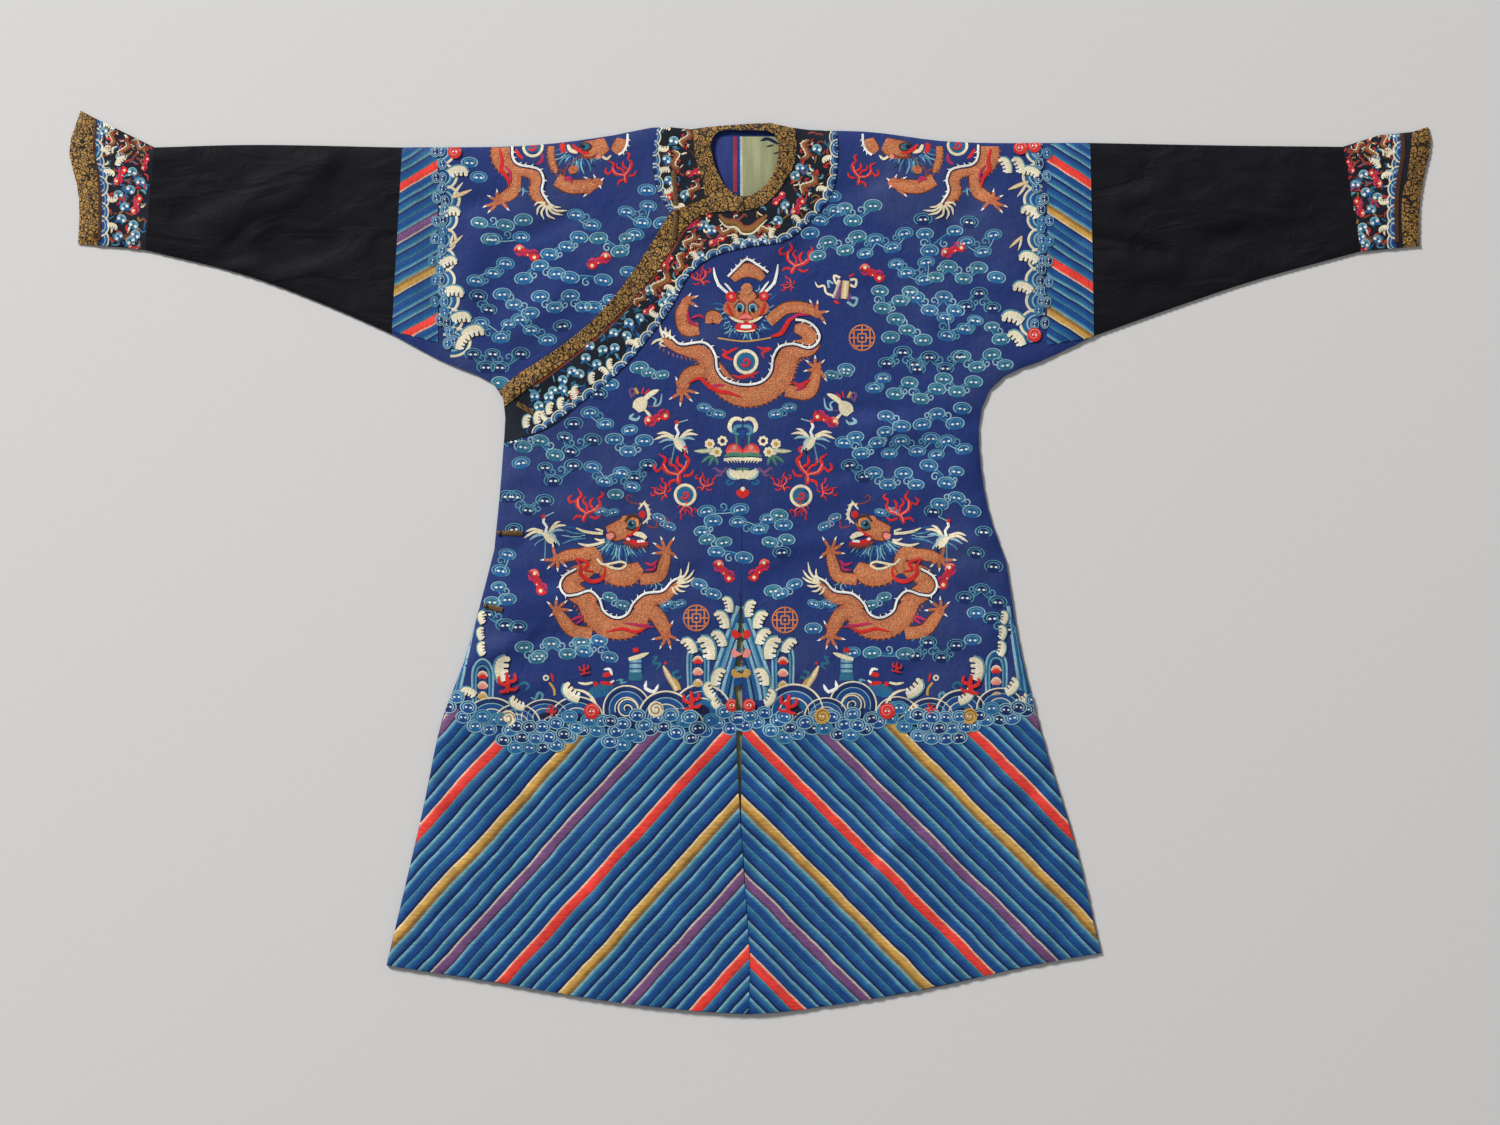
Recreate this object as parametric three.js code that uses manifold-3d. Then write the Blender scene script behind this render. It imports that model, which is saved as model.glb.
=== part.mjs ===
// A dragon robe laid flat on its back: two back panels, the right front, the two halves of the left front
// that laps over it, black sleeves, flared cuffs, curved facings, brocade bands, linings and fastenings.
// Millimetres. +X is the wearer's left, +Y points to the neck, and the robe lies on the plane Z = 0.
import * as THREE from "three";
import { mergeVertices } from "three/addons/utils/BufferGeometryUtils.js";
import Module from "manifold-3d";

const wasm = await Module();
wasm.setup();

// Thickness of each layer of cloth, and the gap between pieces that are sewn or laid together.
const PANEL = 1.5;
const FACING = 1.2;
const BAND = 1.2;
const LINING = 1;
const STRAP = 1.6;
const SEAM = 0.3;

// The upper layers swell off the lower ones by LIFT, in a rounded edge as wide as EDGE_ROUND.
const LIFT = 3.5;
const EDGE_ROUND = 34;

// Spacing of the points of the panels: on an edge, inside, and the row that follows close behind each edge.
const EDGE_STEP = 30;
const GRID_STEP = 38;
const EDGE_ROW = 12;
const BAND_STEP = 16;
const SLEEVE_PARTS = 11;
const TUBE_PARTS = 9;
const NECK_PARTS = 28;

// What each layer adds to the level of the next one.
const ON_PANEL = PANEL + SEAM;
const ON_FACING = FACING + SEAM;
const ON_BAND = BAND + SEAM;

// The left front rises over the right front between these lines.
const LAP = { from: 100, to: 36, top: 660, bottom: 622 };

// Edges of the body, each from the neck outwards or downwards.
const BACK_NECK = [
  { x: -62, y: 675 },
  { x: -9, y: 679 },
  { x: 31, y: 681 },
  { x: 62, y: 674 },
];
const SHOULDER = {
  left: [
    { x: 62, y: 674 },
    { x: 93, y: 670 },
    { x: 186, y: 667 },
    { x: 310, y: 652 },
    { x: 527, y: 650 },
  ],
  right: [
    { x: -62, y: 675 },
    { x: -92, y: 671 },
    { x: -140, y: 675 },
    { x: -217, y: 661 },
    { x: -341, y: 646 },
    { x: -539, y: 643 },
  ],
};
const UNDERARM = {
  left: [
    { x: 533, y: 351 },
    { x: 456, y: 314 },
    { x: 398, y: 291 },
    { x: 368, y: 262 },
    { x: 355, y: 215 },
    { x: 356, y: 165 },
    { x: 369, y: 81 },
    { x: 397, y: 0 },
  ],
  right: [
    { x: -555, y: 354 },
    { x: -481, y: 314 },
    { x: -395, y: 275 },
    { x: -381, y: 250 },
    { x: -384, y: 151 },
    { x: -396, y: 20 },
  ],
};
const SIDE = {
  left: [
    { x: 397, y: 0 },
    { x: 420, y: -140 },
    { x: 459, y: -291 },
    { x: 502, y: -430 },
    { x: 544, y: -605 },
  ],
  right: [
    { x: -396, y: 20 },
    { x: -414, y: -50 },
    { x: -442, y: -151 },
    { x: -477, y: -244 },
    { x: -507, y: -384 },
    { x: -563, y: -624 },
  ],
};
const HEM = {
  left: [
    { x: 544, y: -605 },
    { x: 434, y: -625 },
    { x: 248, y: -666 },
    { x: 62, y: -695 },
    { x: -3, y: -700 },
  ],
  right: [
    { x: -563, y: -624 },
    { x: -403, y: -649 },
    { x: -217, y: -680 },
    { x: -93, y: -694 },
    { x: -3, y: -700 },
  ],
};

// Sleeve edges, from the body to the cuff.
const SLEEVE = {
  left: {
    upper: [
      { x: 527, y: 650 },
      { x: 744, y: 646 },
      { x: 918, y: 644 },
    ],
    lower: [
      { x: 533, y: 351 },
      { x: 651, y: 393 },
      { x: 775, y: 435 },
      { x: 946, y: 482 },
    ],
  },
  right: {
    upper: [
      { x: -539, y: 643 },
      { x: -775, y: 647 },
      { x: -922, y: 643 },
    ],
    lower: [
      { x: -555, y: 354 },
      { x: -651, y: 396 },
      { x: -775, y: 443 },
      { x: -936, y: 484 },
    ],
  },
};

// Lines across each cuff, from its upper to its lower edge: seam with the sleeve, middle, band seam, mouth.
const CUFF = {
  left: {
    seam: [
      { x: 918, y: 644 },
      { x: 946, y: 482 },
    ],
    middle: [
      { x: 975, y: 662 },
      { x: 981, y: 485 },
    ],
    band: [
      { x: 1026, y: 667 },
      { x: 1019, y: 607 },
      { x: 1009, y: 559 },
      { x: 1011, y: 488 },
    ],
    mouth: [
      { x: 1050, y: 675 },
      { x: 1055, y: 652 },
      { x: 1043, y: 594 },
      { x: 1037, y: 550 },
      { x: 1037, y: 490 },
    ],
  },
  right: {
    seam: [
      { x: -922, y: 643 },
      { x: -936, y: 484 },
    ],
    middle: [
      { x: -967, y: 665 },
      { x: -971, y: 488 },
    ],
    band: [
      { x: -1012, y: 687 },
      { x: -1018, y: 652 },
      { x: -1010, y: 590 },
      { x: -1009, y: 491 },
    ],
    mouth: [
      { x: -1037, y: 700 },
      { x: -1055, y: 640 },
      { x: -1043, y: 587 },
      { x: -1039, y: 551 },
      { x: -1041, y: 494 },
    ],
  },
};

// The middle of the front, from above the neck to below the hem: a seam, then a slit whose edges part.
const CENTRE_FRONT = [
  { y: 740, x: -9, gap: SEAM },
  { y: 300, x: -9, gap: SEAM },
  { y: -50, x: -13.5, gap: SEAM },
  { y: -120, x: -15, gap: 9 },
  { y: -195, x: -19, gap: 13 },
  { y: -215, x: -17, gap: 10 },
  { y: -290, x: -17, gap: 8 },
  { y: -340, x: -16, gap: 4.5 },
  { y: -400, x: -14, gap: SEAM },
  { y: -616, x: 0, gap: SEAM },
  { y: -760, x: -3, gap: SEAM },
];
const CENTRE_BACK = -9;
const RIGHT_FRONT_EDGE = -30;

// The cut edge of the neck, and the place on it where the left front's edge starts.
const NECK_HOLE = [
  { x: -60, y: 650 },
  { x: -57, y: 624 },
  { x: -39, y: 584 },
  { x: -13, y: 566 },
  { x: 19, y: 579 },
  { x: 39, y: 609 },
  { x: 44, y: 645 },
  { x: 36, y: 665 },
  { x: -5, y: 669 },
  { x: -50, y: 667 },
];
const LAP_START = { x: -39, y: 584 };

// The front edge of the left front and its band, from the neck down to beyond the right underarm.
const LAPEL_UPPER = [
  { x: -79, y: 559 },
  { x: -121, y: 542 },
  { x: -147, y: 503 },
  { x: -174, y: 461 },
  { x: -209, y: 413 },
  { x: -256, y: 364 },
  { x: -310, y: 323 },
  { x: -364, y: 288 },
  { x: -392, y: 262 },
];
const LAPEL_LOWER = [
  { x: -78, y: 537 },
  { x: -105, y: 514 },
  { x: -127, y: 477 },
  { x: -155, y: 438 },
  { x: -194, y: 393 },
  { x: -237, y: 351 },
  { x: -291, y: 308 },
  { x: -344, y: 269 },
  { x: -400, y: 226 },
];
// The outer edges of the facings. Rows at y 700 lie beyond the robe's top, rows at x -400 beyond its side.
const FACING_OUTER = [
  { x: 132, y: 700 },
  { x: 136, y: 624 },
  { x: 126, y: 571 },
  { x: 96, y: 532 },
  { x: 54, y: 498 },
  { x: 0, y: 489 },
  { x: -56, y: 474 },
  { x: -93, y: 446 },
  { x: -118, y: 402 },
  { x: -147, y: 360 },
  { x: -200, y: 298 },
  { x: -264, y: 246 },
  { x: -310, y: 210 },
  { x: -400, y: 180 },
];
const BACK_NECK_END = -50;
const SHOULDER_FACING_OUTER = [
  { x: -138, y: 700 },
  { x: -151, y: 624 },
  { x: -141, y: 570 },
  { x: -123, y: 541 },
];
const SHOULDER_FACING_INNER = [
  { x: -79, y: 530 },
  { x: -39, y: 570 },
  { x: -44, y: 600 },
  { x: BACK_NECK_END - SEAM, y: 620 },
  { x: BACK_NECK_END - SEAM, y: 700 },
];

// The bands: the outer edges, then lines through the neck hole that close each outline.
const BAND_SEAM = -12;
const NECK_BAND_OUTER = {
  left: [
    { x: 63, y: 700 },
    { x: 72, y: 650 },
    { x: 67, y: 612 },
    { x: 54, y: 590 },
    { x: 23, y: 554 },
    { x: BAND_SEAM + SEAM, y: 543 },
  ],
  right: [
    { x: -91, y: 700 },
    { x: -87, y: 647 },
    { x: -82, y: 616 },
    { x: -73, y: 590 },
    { x: -70, y: 568 },
  ],
};
const NECK_BAND_INNER = {
  left: [
    { x: BAND_SEAM + SEAM, y: 600 },
    { x: 0, y: 640 },
    { x: BACK_NECK_END, y: 660 },
    { x: BACK_NECK_END, y: 700 },
  ],
  right: [
    { x: -39, y: 570 },
    { x: -38, y: 660 },
    { x: BACK_NECK_END - SEAM, y: 660 },
    { x: BACK_NECK_END - SEAM, y: 700 },
  ],
};
const LAPEL_AT_NECK = [{ x: -54, y: 543 }, { x: BAND_SEAM, y: 543 }, { x: BAND_SEAM, y: 580 }, LAP_START];

// Linings seen through the neck and through the slit.
const NECK_LINING = { left: -64, split: -12, right: 52, bottom: 556, top: 660 };
const SLIT_LINING = { left: -30, right: 0, bottom: -430, top: -20 };

// Creases that a hand feels: ridges by their middle, direction, length, half width and rise.
const CREASES = [
  { x: 255, y: 205, turn: -6, length: 210, width: 26, rise: 5.5 },
  { x: 300, y: 135, turn: 14, length: 150, width: 26, rise: 4 },
  { x: 285, y: 4, turn: -8, length: 200, width: 26, rise: 5 },
  { x: 320, y: -105, turn: -14, length: 170, width: 28, rise: 4 },
  { x: -285, y: 80, turn: -7, length: 180, width: 26, rise: 4.5 },
  { x: -330, y: -60, turn: 12, length: 150, width: 28, rise: 4 },
  { x: -330, y: 390, turn: 42, length: 170, width: 26, rise: 5 },
  { x: -430, y: 470, turn: 66, length: 190, width: 28, rise: 4.5 },
  { x: 400, y: 500, turn: -62, length: 190, width: 28, rise: 4.5 },
  { x: 250, y: 560, turn: -35, length: 160, width: 28, rise: 4 },
  { x: -755, y: 560, turn: 14, length: 240, width: 28, rise: 5.5 },
  { x: 700, y: 545, turn: -16, length: 230, width: 28, rise: 5.5 },
  { x: 830, y: 560, turn: 70, length: 110, width: 26, rise: 4 },
  { x: -420, y: -430, turn: 76, length: 290, width: 40, rise: 5 },
  { x: 420, y: -430, turn: -76, length: 290, width: 40, rise: 5 },
  { x: -200, y: -500, turn: 82, length: 270, width: 42, rise: 4 },
  { x: 215, y: -500, turn: -83, length: 270, width: 42, rise: 4 },
];

// Straps of the fastenings: from the knot to the far end, with the number of layers beneath.
const STRAP_WIDTH = 6;
const STRAPS = [
  { name: "strap_collar_upper", x: -114, y: 553, toX: -118, toY: 606, on: "shoulderFacing" },
  { name: "strap_collar_lower", x: -114, y: 539, toX: -117, toY: 501, on: "lapel" },
  { name: "strap_underarm", x: -361, y: 246, toX: -335, toY: 231, on: "facing" },
  { name: "strap_side_upper", x: -384, y: 46, toX: -352, toY: 45, on: "front" },
  { name: "strap_side_lower", x: -405, y: -68, toX: -383, toY: -74, on: "front" },
];
const KNOT_RADIUS = 4;
const KNOT_FLATNESS = 0.75;
const KNOTS = [
  { name: "knot_neck", x: -13, y: 558, on: "lapel" },
  { name: "knot_collar", x: -114, y: 544.5, on: "lapel" },
  { name: "knot_underarm", x: -367, y: 260, on: "lapel" },
  { name: "knot_side_upper", x: -389, y: 46, on: "front" },
  { name: "knot_side_lower", x: -409.5, y: -67, on: "front" },
];

// Reach of the blocks that cut the layers, well beyond the robe.
const FAR = 1400;
const HIGH = 80;

const corner = (x, y) => new THREE.Vector2(x, y);
const corners = (rows) => rows.map(({ x, y }) => corner(x, y));
const backwards = (points) => [...points].reverse();

function curveThrough(rows, closed = false) {
  const points = rows.map(({ x, y }) => new THREE.Vector3(x, y, 0));
  return new THREE.CatmullRomCurve3(points, closed, "centripetal");
}

// Points along a curve through the rows of a table, about one step apart.
function along(rows, step = EDGE_STEP) {
  const curve = curveThrough(rows);
  const count = Math.max(1, Math.round(curve.getLength() / step));
  return corners(curve.getSpacedPoints(count));
}

// One closed outline from stretches that meet end to end.
function loop(...stretches) {
  const points = stretches.flat();
  return points.filter((p, i) => p.distanceTo(points[(i + 1) % points.length]) > 0.01);
}

function sideOfBody(side) {
  return [...along(UNDERARM[side]), ...along(SIDE[side])];
}

const bodyOutline = loop(
  along(BACK_NECK),
  along(SHOULDER.left),
  along([SLEEVE.left.upper[0], SLEEVE.left.lower[0]]),
  sideOfBody("left"),
  along(HEM.left),
  backwards(along(HEM.right)),
  backwards(sideOfBody("right")),
  along([SLEEVE.right.lower[0], SLEEVE.right.upper[0]]),
  backwards(along(SHOULDER.right)),
);

function sleeveOutline(side) {
  const { upper, lower } = SLEEVE[side];
  const { middle, band, mouth } = CUFF[side];
  const across = (row) => [middle.at(row), band.at(row), mouth.at(row)];
  return [
    ...along(upper),
    ...along([upper.at(-1), ...across(0)]),
    ...along(mouth),
    ...backwards(along([lower.at(-1), ...across(-1)])),
    ...backwards(along(lower)),
  ];
}

const robeOutline = loop(
  along(BACK_NECK),
  along(SHOULDER.left),
  sleeveOutline("left"),
  sideOfBody("left"),
  along(HEM.left),
  backwards(along(HEM.right)),
  backwards(sideOfBody("right")),
  backwards(sleeveOutline("right")),
  backwards(along(SHOULDER.right)),
);

// Distance from a point to a closed outline.
function distanceTo(outline, p) {
  const { clamp } = THREE.MathUtils;
  return outline.reduce((least, a, i) => {
    const edge = outline[(i + 1) % outline.length].clone().sub(a);
    const share = clamp(p.clone().sub(a).dot(edge) / edge.lengthSq(), 0, 1);
    return Math.min(least, edge.multiplyScalar(share).add(a).distanceTo(p));
  }, Infinity);
}

function isInside(outline, p) {
  return outline.reduce((inside, a, i) => {
    const b = outline[(i + 1) % outline.length];
    if (a.y > p.y === b.y > p.y) return inside;
    return p.x < a.x + ((p.y - a.y) * (b.x - a.x)) / (b.y - a.y) ? !inside : inside;
  }, false);
}

// 0 at the robe's edge and 1 from EDGE_ROUND inwards, on a quarter of a circle.
function swell(p) {
  const inwards = Math.min(1, distanceTo(robeOutline, p) / EDGE_ROUND);
  return Math.sqrt(1 - (1 - inwards) ** 2);
}

function creaseAt({ x, y, turn, length, width, rise }, p) {
  const angle = THREE.MathUtils.degToRad(turn);
  const onward = (p.x - x) * Math.cos(angle) + (p.y - y) * Math.sin(angle);
  const aside = (p.y - y) * Math.cos(angle) - (p.x - x) * Math.sin(angle);
  const fade = 1 - THREE.MathUtils.smoothstep(Math.abs(onward), length / 4, length / 2);
  return rise * fade * Math.exp(-((aside / width) ** 2));
}

// How far the upper layers lie above the level that they have at the robe's edge.
function liftAt(p) {
  const creases = CREASES.reduce((sum, crease) => sum + creaseAt(crease, p), 0);
  return swell(p) * (LIFT + creases);
}

// 1 where the left front lies on the right front, 0 where it lies on the back.
function lapAt({ x, y }) {
  const { smoothstep } = THREE.MathUtils;
  return (1 - smoothstep(x, LAP.to, LAP.from)) * (1 - smoothstep(y, LAP.bottom, LAP.top));
}

// Points that a triangulation adds around the rest, and the least by which a point lies inside a circle.
const OUTER_CORNERS = [corner(-9 * FAR, -9 * FAR), corner(9 * FAR, -9 * FAR), corner(0, 9 * FAR)];
const WITHIN = 1e-7;

// A triangle of three points with the circle through them.
function circled(points, a, b, c) {
  const [p, q, r] = [points[a], points[b], points[c]];
  const u = q.clone().sub(p);
  const v = r.clone().sub(p);
  const twice = 2 * u.cross(v);
  const centre = new THREE.Vector2(
    (v.y * u.lengthSq() - u.y * v.lengthSq()) / twice,
    (u.x * v.lengthSq() - v.x * u.lengthSq()) / twice,
  );
  return {
    ends: twice > 0 ? [a, b, c] : [a, c, b],
    centre: centre.clone().add(p),
    reach: centre.lengthSq(),
  };
}

// The edges that only one of the triangles has.
function rimOf(faces) {
  const rim = new Map();
  faces.forEach((ends) => {
    ends.forEach((from, k) => {
      const to = ends[(k + 1) % ends.length];
      if (!rim.delete(`${to} ${from}`)) rim.set(`${from} ${to}`, [from, to]);
    });
  });
  return [...rim.values()];
}

// Delaunay triangles: each point clears the triangles whose circle holds it, and joins the rim of that hole.
function triangulate(places) {
  const count = places.length;
  const all = [...places, ...OUTER_CORNERS];
  let found = [circled(all, count, count + 1, count + 2)];
  places.forEach((p, i) => {
    const cleared = [];
    found = found.filter(({ ends, centre, reach }) => {
      const kept = p.distanceToSquared(centre) >= reach - WITHIN;
      if (!kept) cleared.push(ends);
      return kept;
    });
    rimOf(cleared).forEach(([from, to]) => found.push(circled(all, from, to, i)));
  });
  return found.map(({ ends }) => ends).filter((ends) => Math.max(...ends) < count);
}

// The body's points: its outline, a row close behind it, and a grid of even triangles inside.
function bodyPoints() {
  const made = [...bodyOutline];
  const addClear = (p, fromEdge, fromOthers) => {
    if (!isInside(bodyOutline, p) || distanceTo(bodyOutline, p) < fromEdge) return;
    if (made.every((other) => other.distanceTo(p) > fromOthers)) made.push(p);
  };
  bodyOutline.forEach((p, i) => {
    const before = bodyOutline.at(i - 1);
    const after = bodyOutline[(i + 1) % bodyOutline.length];
    const inwards = corner(after.y - before.y, before.x - after.x).setLength(EDGE_ROW);
    addClear(inwards.add(p), EDGE_ROW * 0.9, EDGE_ROW * 0.9);
  });
  const { min, max } = new THREE.Box2().setFromPoints(bodyOutline);
  const rowHeight = GRID_STEP * Math.sqrt(0.75);
  for (let row = 0; min.y + row * rowHeight < max.y; row += 1) {
    const start = min.x + (row % 2) * (GRID_STEP / 2);
    for (let x = start; x < max.x; x += GRID_STEP) {
      addClear(corner(x, min.y + row * rowHeight), EDGE_ROW * 2, GRID_STEP / 2);
    }
  }
  return made;
}

const points = bodyPoints();
const lifts = points.map(liftAt);
const triangles = triangulate(points).filter((ends) => {
  const middle = ends.reduce((sum, i) => sum.add(points[i]), corner(0, 0)).divideScalar(3);
  return isInside(bodyOutline, middle);
});

// The lift of the body's surface at any place, flat across each triangle.
function liftOn({ x, y }) {
  const at = new THREE.Vector3(x, y, 0);
  const flat = (i) => new THREE.Vector3(points[i].x, points[i].y, 0);
  const weights = new THREE.Vector3();
  const found = triangles.find((ends) => {
    THREE.Triangle.getBarycoord(at, ...ends.map(flat), weights);
    return Math.min(...weights.toArray()) >= 0;
  });
  return weights.dot(new THREE.Vector3(...found.map((i) => lifts[i])));
}

function toManifold(geometry) {
  const bare = new THREE.BufferGeometry().setAttribute("position", geometry.getAttribute("position"));
  if (geometry.index) bare.setIndex(geometry.index);
  const merged = mergeVertices(bare, 1e-4);
  return new wasm.Manifold(
    new wasm.Mesh({
      numProp: 3,
      vertProperties: new Float32Array(merged.getAttribute("position").array),
      triVerts: new Uint32Array(merged.index.array),
    }),
  );
}

function toGeometry(manifold) {
  const { vertProperties, triVerts } = manifold.getMesh();
  return new THREE.BufferGeometry()
    .setAttribute("position", new THREE.BufferAttribute(vertProperties, 3))
    .setIndex(new THREE.BufferAttribute(triVerts, 1));
}

// A straight-sided block of a plan outline, from one height to another.
function prism(outline, low = -HIGH, high = HIGH) {
  const geometry = new THREE.ExtrudeGeometry(new THREE.Shape(outline), {
    depth: high - low,
    bevelEnabled: false,
  });
  return toManifold(geometry.translate(0, 0, low));
}

function meshed(vertices, faces) {
  return toManifold(
    new THREE.BufferGeometry()
      .setAttribute("position", new THREE.Float32BufferAttribute(vertices, 3))
      .setIndex(faces),
  );
}

// The whole body as one wall whose underside lies the lift above `level`, a function of the place.
function layer(level, thickness) {
  const bottoms = points.map((p, i) => lifts[i] + level(p));
  const wall = (up) => points.flatMap(({ x, y }, i) => [x, y, bottoms[i] + up]);
  const up = points.length;
  const faces = triangles.flatMap(([a, b, c]) => [a + up, b + up, c + up, a, c, b]);
  rimOf(triangles).forEach(([from, to]) => faces.push(from, to, to + up, from, to + up, from + up));
  return meshed([...wall(0), ...wall(thickness)], faces);
}

// A flattened tube through lines that cross it from its upper to its lower edge, each line further along +X.
// Its lower wall lies flat, and its upper wall swells like the body's.
function tube(lines) {
  const stations = lines.map((line) => {
    const curve = curveThrough(line);
    const width = curve.getLength();
    const even = Array.from({ length: TUBE_PARTS - 1 }, (_, k) => (k + 1) / TUBE_PARTS);
    const shares = [0, EDGE_ROW / width, ...even, 1 - EDGE_ROW / width, 1];
    const inset = (share) => THREE.MathUtils.clamp(share, PANEL / width, 1 - PANEL / width);
    const outer = corners(shares.map((share) => curve.getPointAt(share)));
    const inner = corners(shares.map((share) => curve.getPointAt(inset(share))));
    return outer.map((p, k) => ({ p, inner: inner[k], top: ON_PANEL + PANEL + liftAt(p) }));
  });
  const outside = (station) => [
    ...station.map(({ p, top }) => [p.x, p.y, top]),
    ...backwards(station).map(({ p }) => [p.x, p.y, 0]),
  ];
  const inside = (station) => [
    ...station.map(({ inner, top }) => [inner.x, inner.y, top - PANEL]),
    ...backwards(station).map(({ inner }) => [inner.x, inner.y, PANEL]),
  ];
  const rings = [...stations.map(outside), ...backwards(stations).map(inside)];
  const around = rings[0].length;
  const faces = rings.flatMap((_, r) =>
    rings[r].flatMap((__, k) => {
      const [near, far] = [r * around, ((r + 1) % rings.length) * around];
      const next = (k + 1) % around;
      return [near + k, near + next, far + next, near + k, far + next, far + k];
    }),
  );
  return meshed(rings.flat(2), faces);
}

const cloth = (color, roughness = 0.75) => new THREE.MeshStandardMaterial({ color, roughness, metalness: 0 });
const SILK = cloth(0x30377a, 0.6);
const BLACK_SILK = cloth(0x1a1a20, 0.7);
const EMBROIDERED = cloth(0x22252c, 0.65);
const BROCADE = cloth(0x96733c, 0.5);
const LINING_GREEN = cloth(0xafb48c, 0.8);
const LINING_BLUE = cloth(0x2b3a78, 0.7);

const robe = new THREE.Group();

function add(name, material, manifold) {
  const mesh = new THREE.Mesh(toGeometry(manifold), material);
  mesh.name = name;
  robe.add(mesh);
}

// One side of the centre front, out to beyond the robe's edge.
function halfOfFront(sign) {
  const edge = CENTRE_FRONT.map(({ y, x, gap }) => corner(x + (sign * gap) / 2, y));
  const outside = [corner(sign * FAR, edge.at(-1).y), corner(sign * FAR, edge[0].y)];
  return prism(loop(edge, outside));
}

// Everything on one side of a line along the robe, a seam's half gap from it.
function besides(x, sign) {
  const inner = x + (sign * SEAM) / 2;
  return prism([corner(inner, -FAR), corner(sign * FAR, -FAR), corner(sign * FAR, FAR), corner(inner, FAR)]);
}

const neckHole = prism(loop(corners(curveThrough(NECK_HOLE, true).getSpacedPoints(NECK_PARTS))));

// The front edge of the left front: everything below it, and everything a seam's gap above it.
const frontEdge = [corner(LAP_START.x, LAP_START.y), ...along(LAPEL_UPPER)];
const lapEnd = frontEdge.at(-1).y;
const belowLapel = prism(
  loop([corner(FAR, -FAR), corner(FAR, LAP_START.y)], frontEdge, [corner(-FAR, lapEnd), corner(-FAR, -FAR)]),
);
const aboveLapel = prism(
  loop(
    [corner(-FAR, FAR), corner(-FAR, lapEnd)],
    backwards(frontEdge).map(({ x, y }) => corner(x - SEAM, y + SEAM)),
    [corner(FAR, LAP_START.y + SEAM), corner(FAR, FAR)],
  ),
);

// Levels of the undersides at the robe's edge: on the back, on the right front, and of the left front.
const onBack = () => ON_PANEL;
const onRightFront = () => 2 * ON_PANEL;
const leftFrontLevel = (p) => ON_PANEL * (1 + lapAt(p));

function addBack() {
  const whole = prism(bodyOutline, 0, PANEL);
  add("back_left", SILK, whole.intersect(besides(CENTRE_BACK, 1)));
  add("back_right", SILK, whole.intersect(besides(CENTRE_BACK, -1)));
}

function addLinings() {
  const rectangle = (left, right, bottom, top) =>
    prism(
      [corner(left, bottom), corner(right, bottom), corner(right, top), corner(left, top)],
      ON_PANEL,
      ON_PANEL + LINING,
    );
  const { left, split, right, bottom, top } = NECK_LINING;
  add("lining_neck_right", LINING_BLUE, rectangle(left, split - SEAM, bottom, top));
  add("lining_neck_left", LINING_GREEN, rectangle(split, right, bottom, top));
  const slit = SLIT_LINING;
  add("lining_slit", LINING_GREEN, rectangle(slit.left, slit.right, slit.bottom, slit.top));
}

function addFronts() {
  const rightFront = layer(onBack, PANEL).intersect(besides(RIGHT_FRONT_EDGE, -1));
  add("front_right", SILK, rightFront.subtract(neckHole));
  const leftFront = layer(leftFrontLevel, PANEL).subtract(neckHole);
  add("front_left", SILK, leftFront.intersect(halfOfFront(1)));
  add("front_left_lap", SILK, leftFront.intersect(halfOfFront(-1)).intersect(belowLapel));
}

function addFacings() {
  const outline = loop(
    backwards(along(FACING_OUTER, BAND_STEP)),
    [corner(BACK_NECK_END, FACING_OUTER[0].y), corner(LAP_START.x, LAP_START.y)],
    along(LAPEL_UPPER),
  );
  const onFront = layer((p) => leftFrontLevel(p) + ON_PANEL, FACING).subtract(neckHole);
  add("facing_front", EMBROIDERED, onFront.intersect(prism(outline)));
  const shoulder = prism(loop(along(SHOULDER_FACING_OUTER, BAND_STEP), corners(SHOULDER_FACING_INNER)));
  const onShoulder = layer(onRightFront, FACING).subtract(neckHole).intersect(aboveLapel);
  add("facing_shoulder", EMBROIDERED, onShoulder.intersect(shoulder));
}

function addBands() {
  const onFront = layer((p) => leftFrontLevel(p) + ON_PANEL + ON_FACING, BAND).subtract(neckHole);
  const neckBand = (side) =>
    prism(loop(along(NECK_BAND_OUTER[side], BAND_STEP), corners(NECK_BAND_INNER[side])));
  add("neck_band_left", BROCADE, onFront.intersect(neckBand("left")));
  const onShoulder = layer((p) => onRightFront(p) + ON_FACING, BAND).subtract(neckHole);
  add("neck_band_right", BROCADE, onShoulder.intersect(neckBand("right")).intersect(aboveLapel));
  const lapel = loop(
    corners(LAPEL_AT_NECK),
    along(LAPEL_UPPER, BAND_STEP),
    backwards(along(LAPEL_LOWER, BAND_STEP)),
  );
  add("lapel_band", BROCADE, onFront.intersect(prism(lapel)));
}

function addSleeves() {
  ["left", "right"].forEach((side) => {
    const outwards = side === "left" ? 1 : -1;
    const [upper, lower] = [curveThrough(SLEEVE[side].upper), curveThrough(SLEEVE[side].lower)];
    const across = Array.from({ length: SLEEVE_PARTS + 1 }, (_, k) =>
      [upper, lower].map((edge) => edge.getPointAt(k / SLEEVE_PARTS)),
    );
    // The first line lies a seam's gap beyond the piece before.
    const clothTube = ([first, ...others]) => {
      const lines = [first.map(({ x, y }) => corner(x + outwards * SEAM, y)), ...others];
      return tube(outwards > 0 ? lines : backwards(lines));
    };
    const { seam, middle, band, mouth } = CUFF[side];
    add(`sleeve_${side}`, BLACK_SILK, clothTube(across));
    add(`cuff_${side}`, EMBROIDERED, clothTube([seam, middle, band]));
    add(`cuff_band_${side}`, BROCADE, clothTube([band, mouth]));
  });
}

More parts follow.
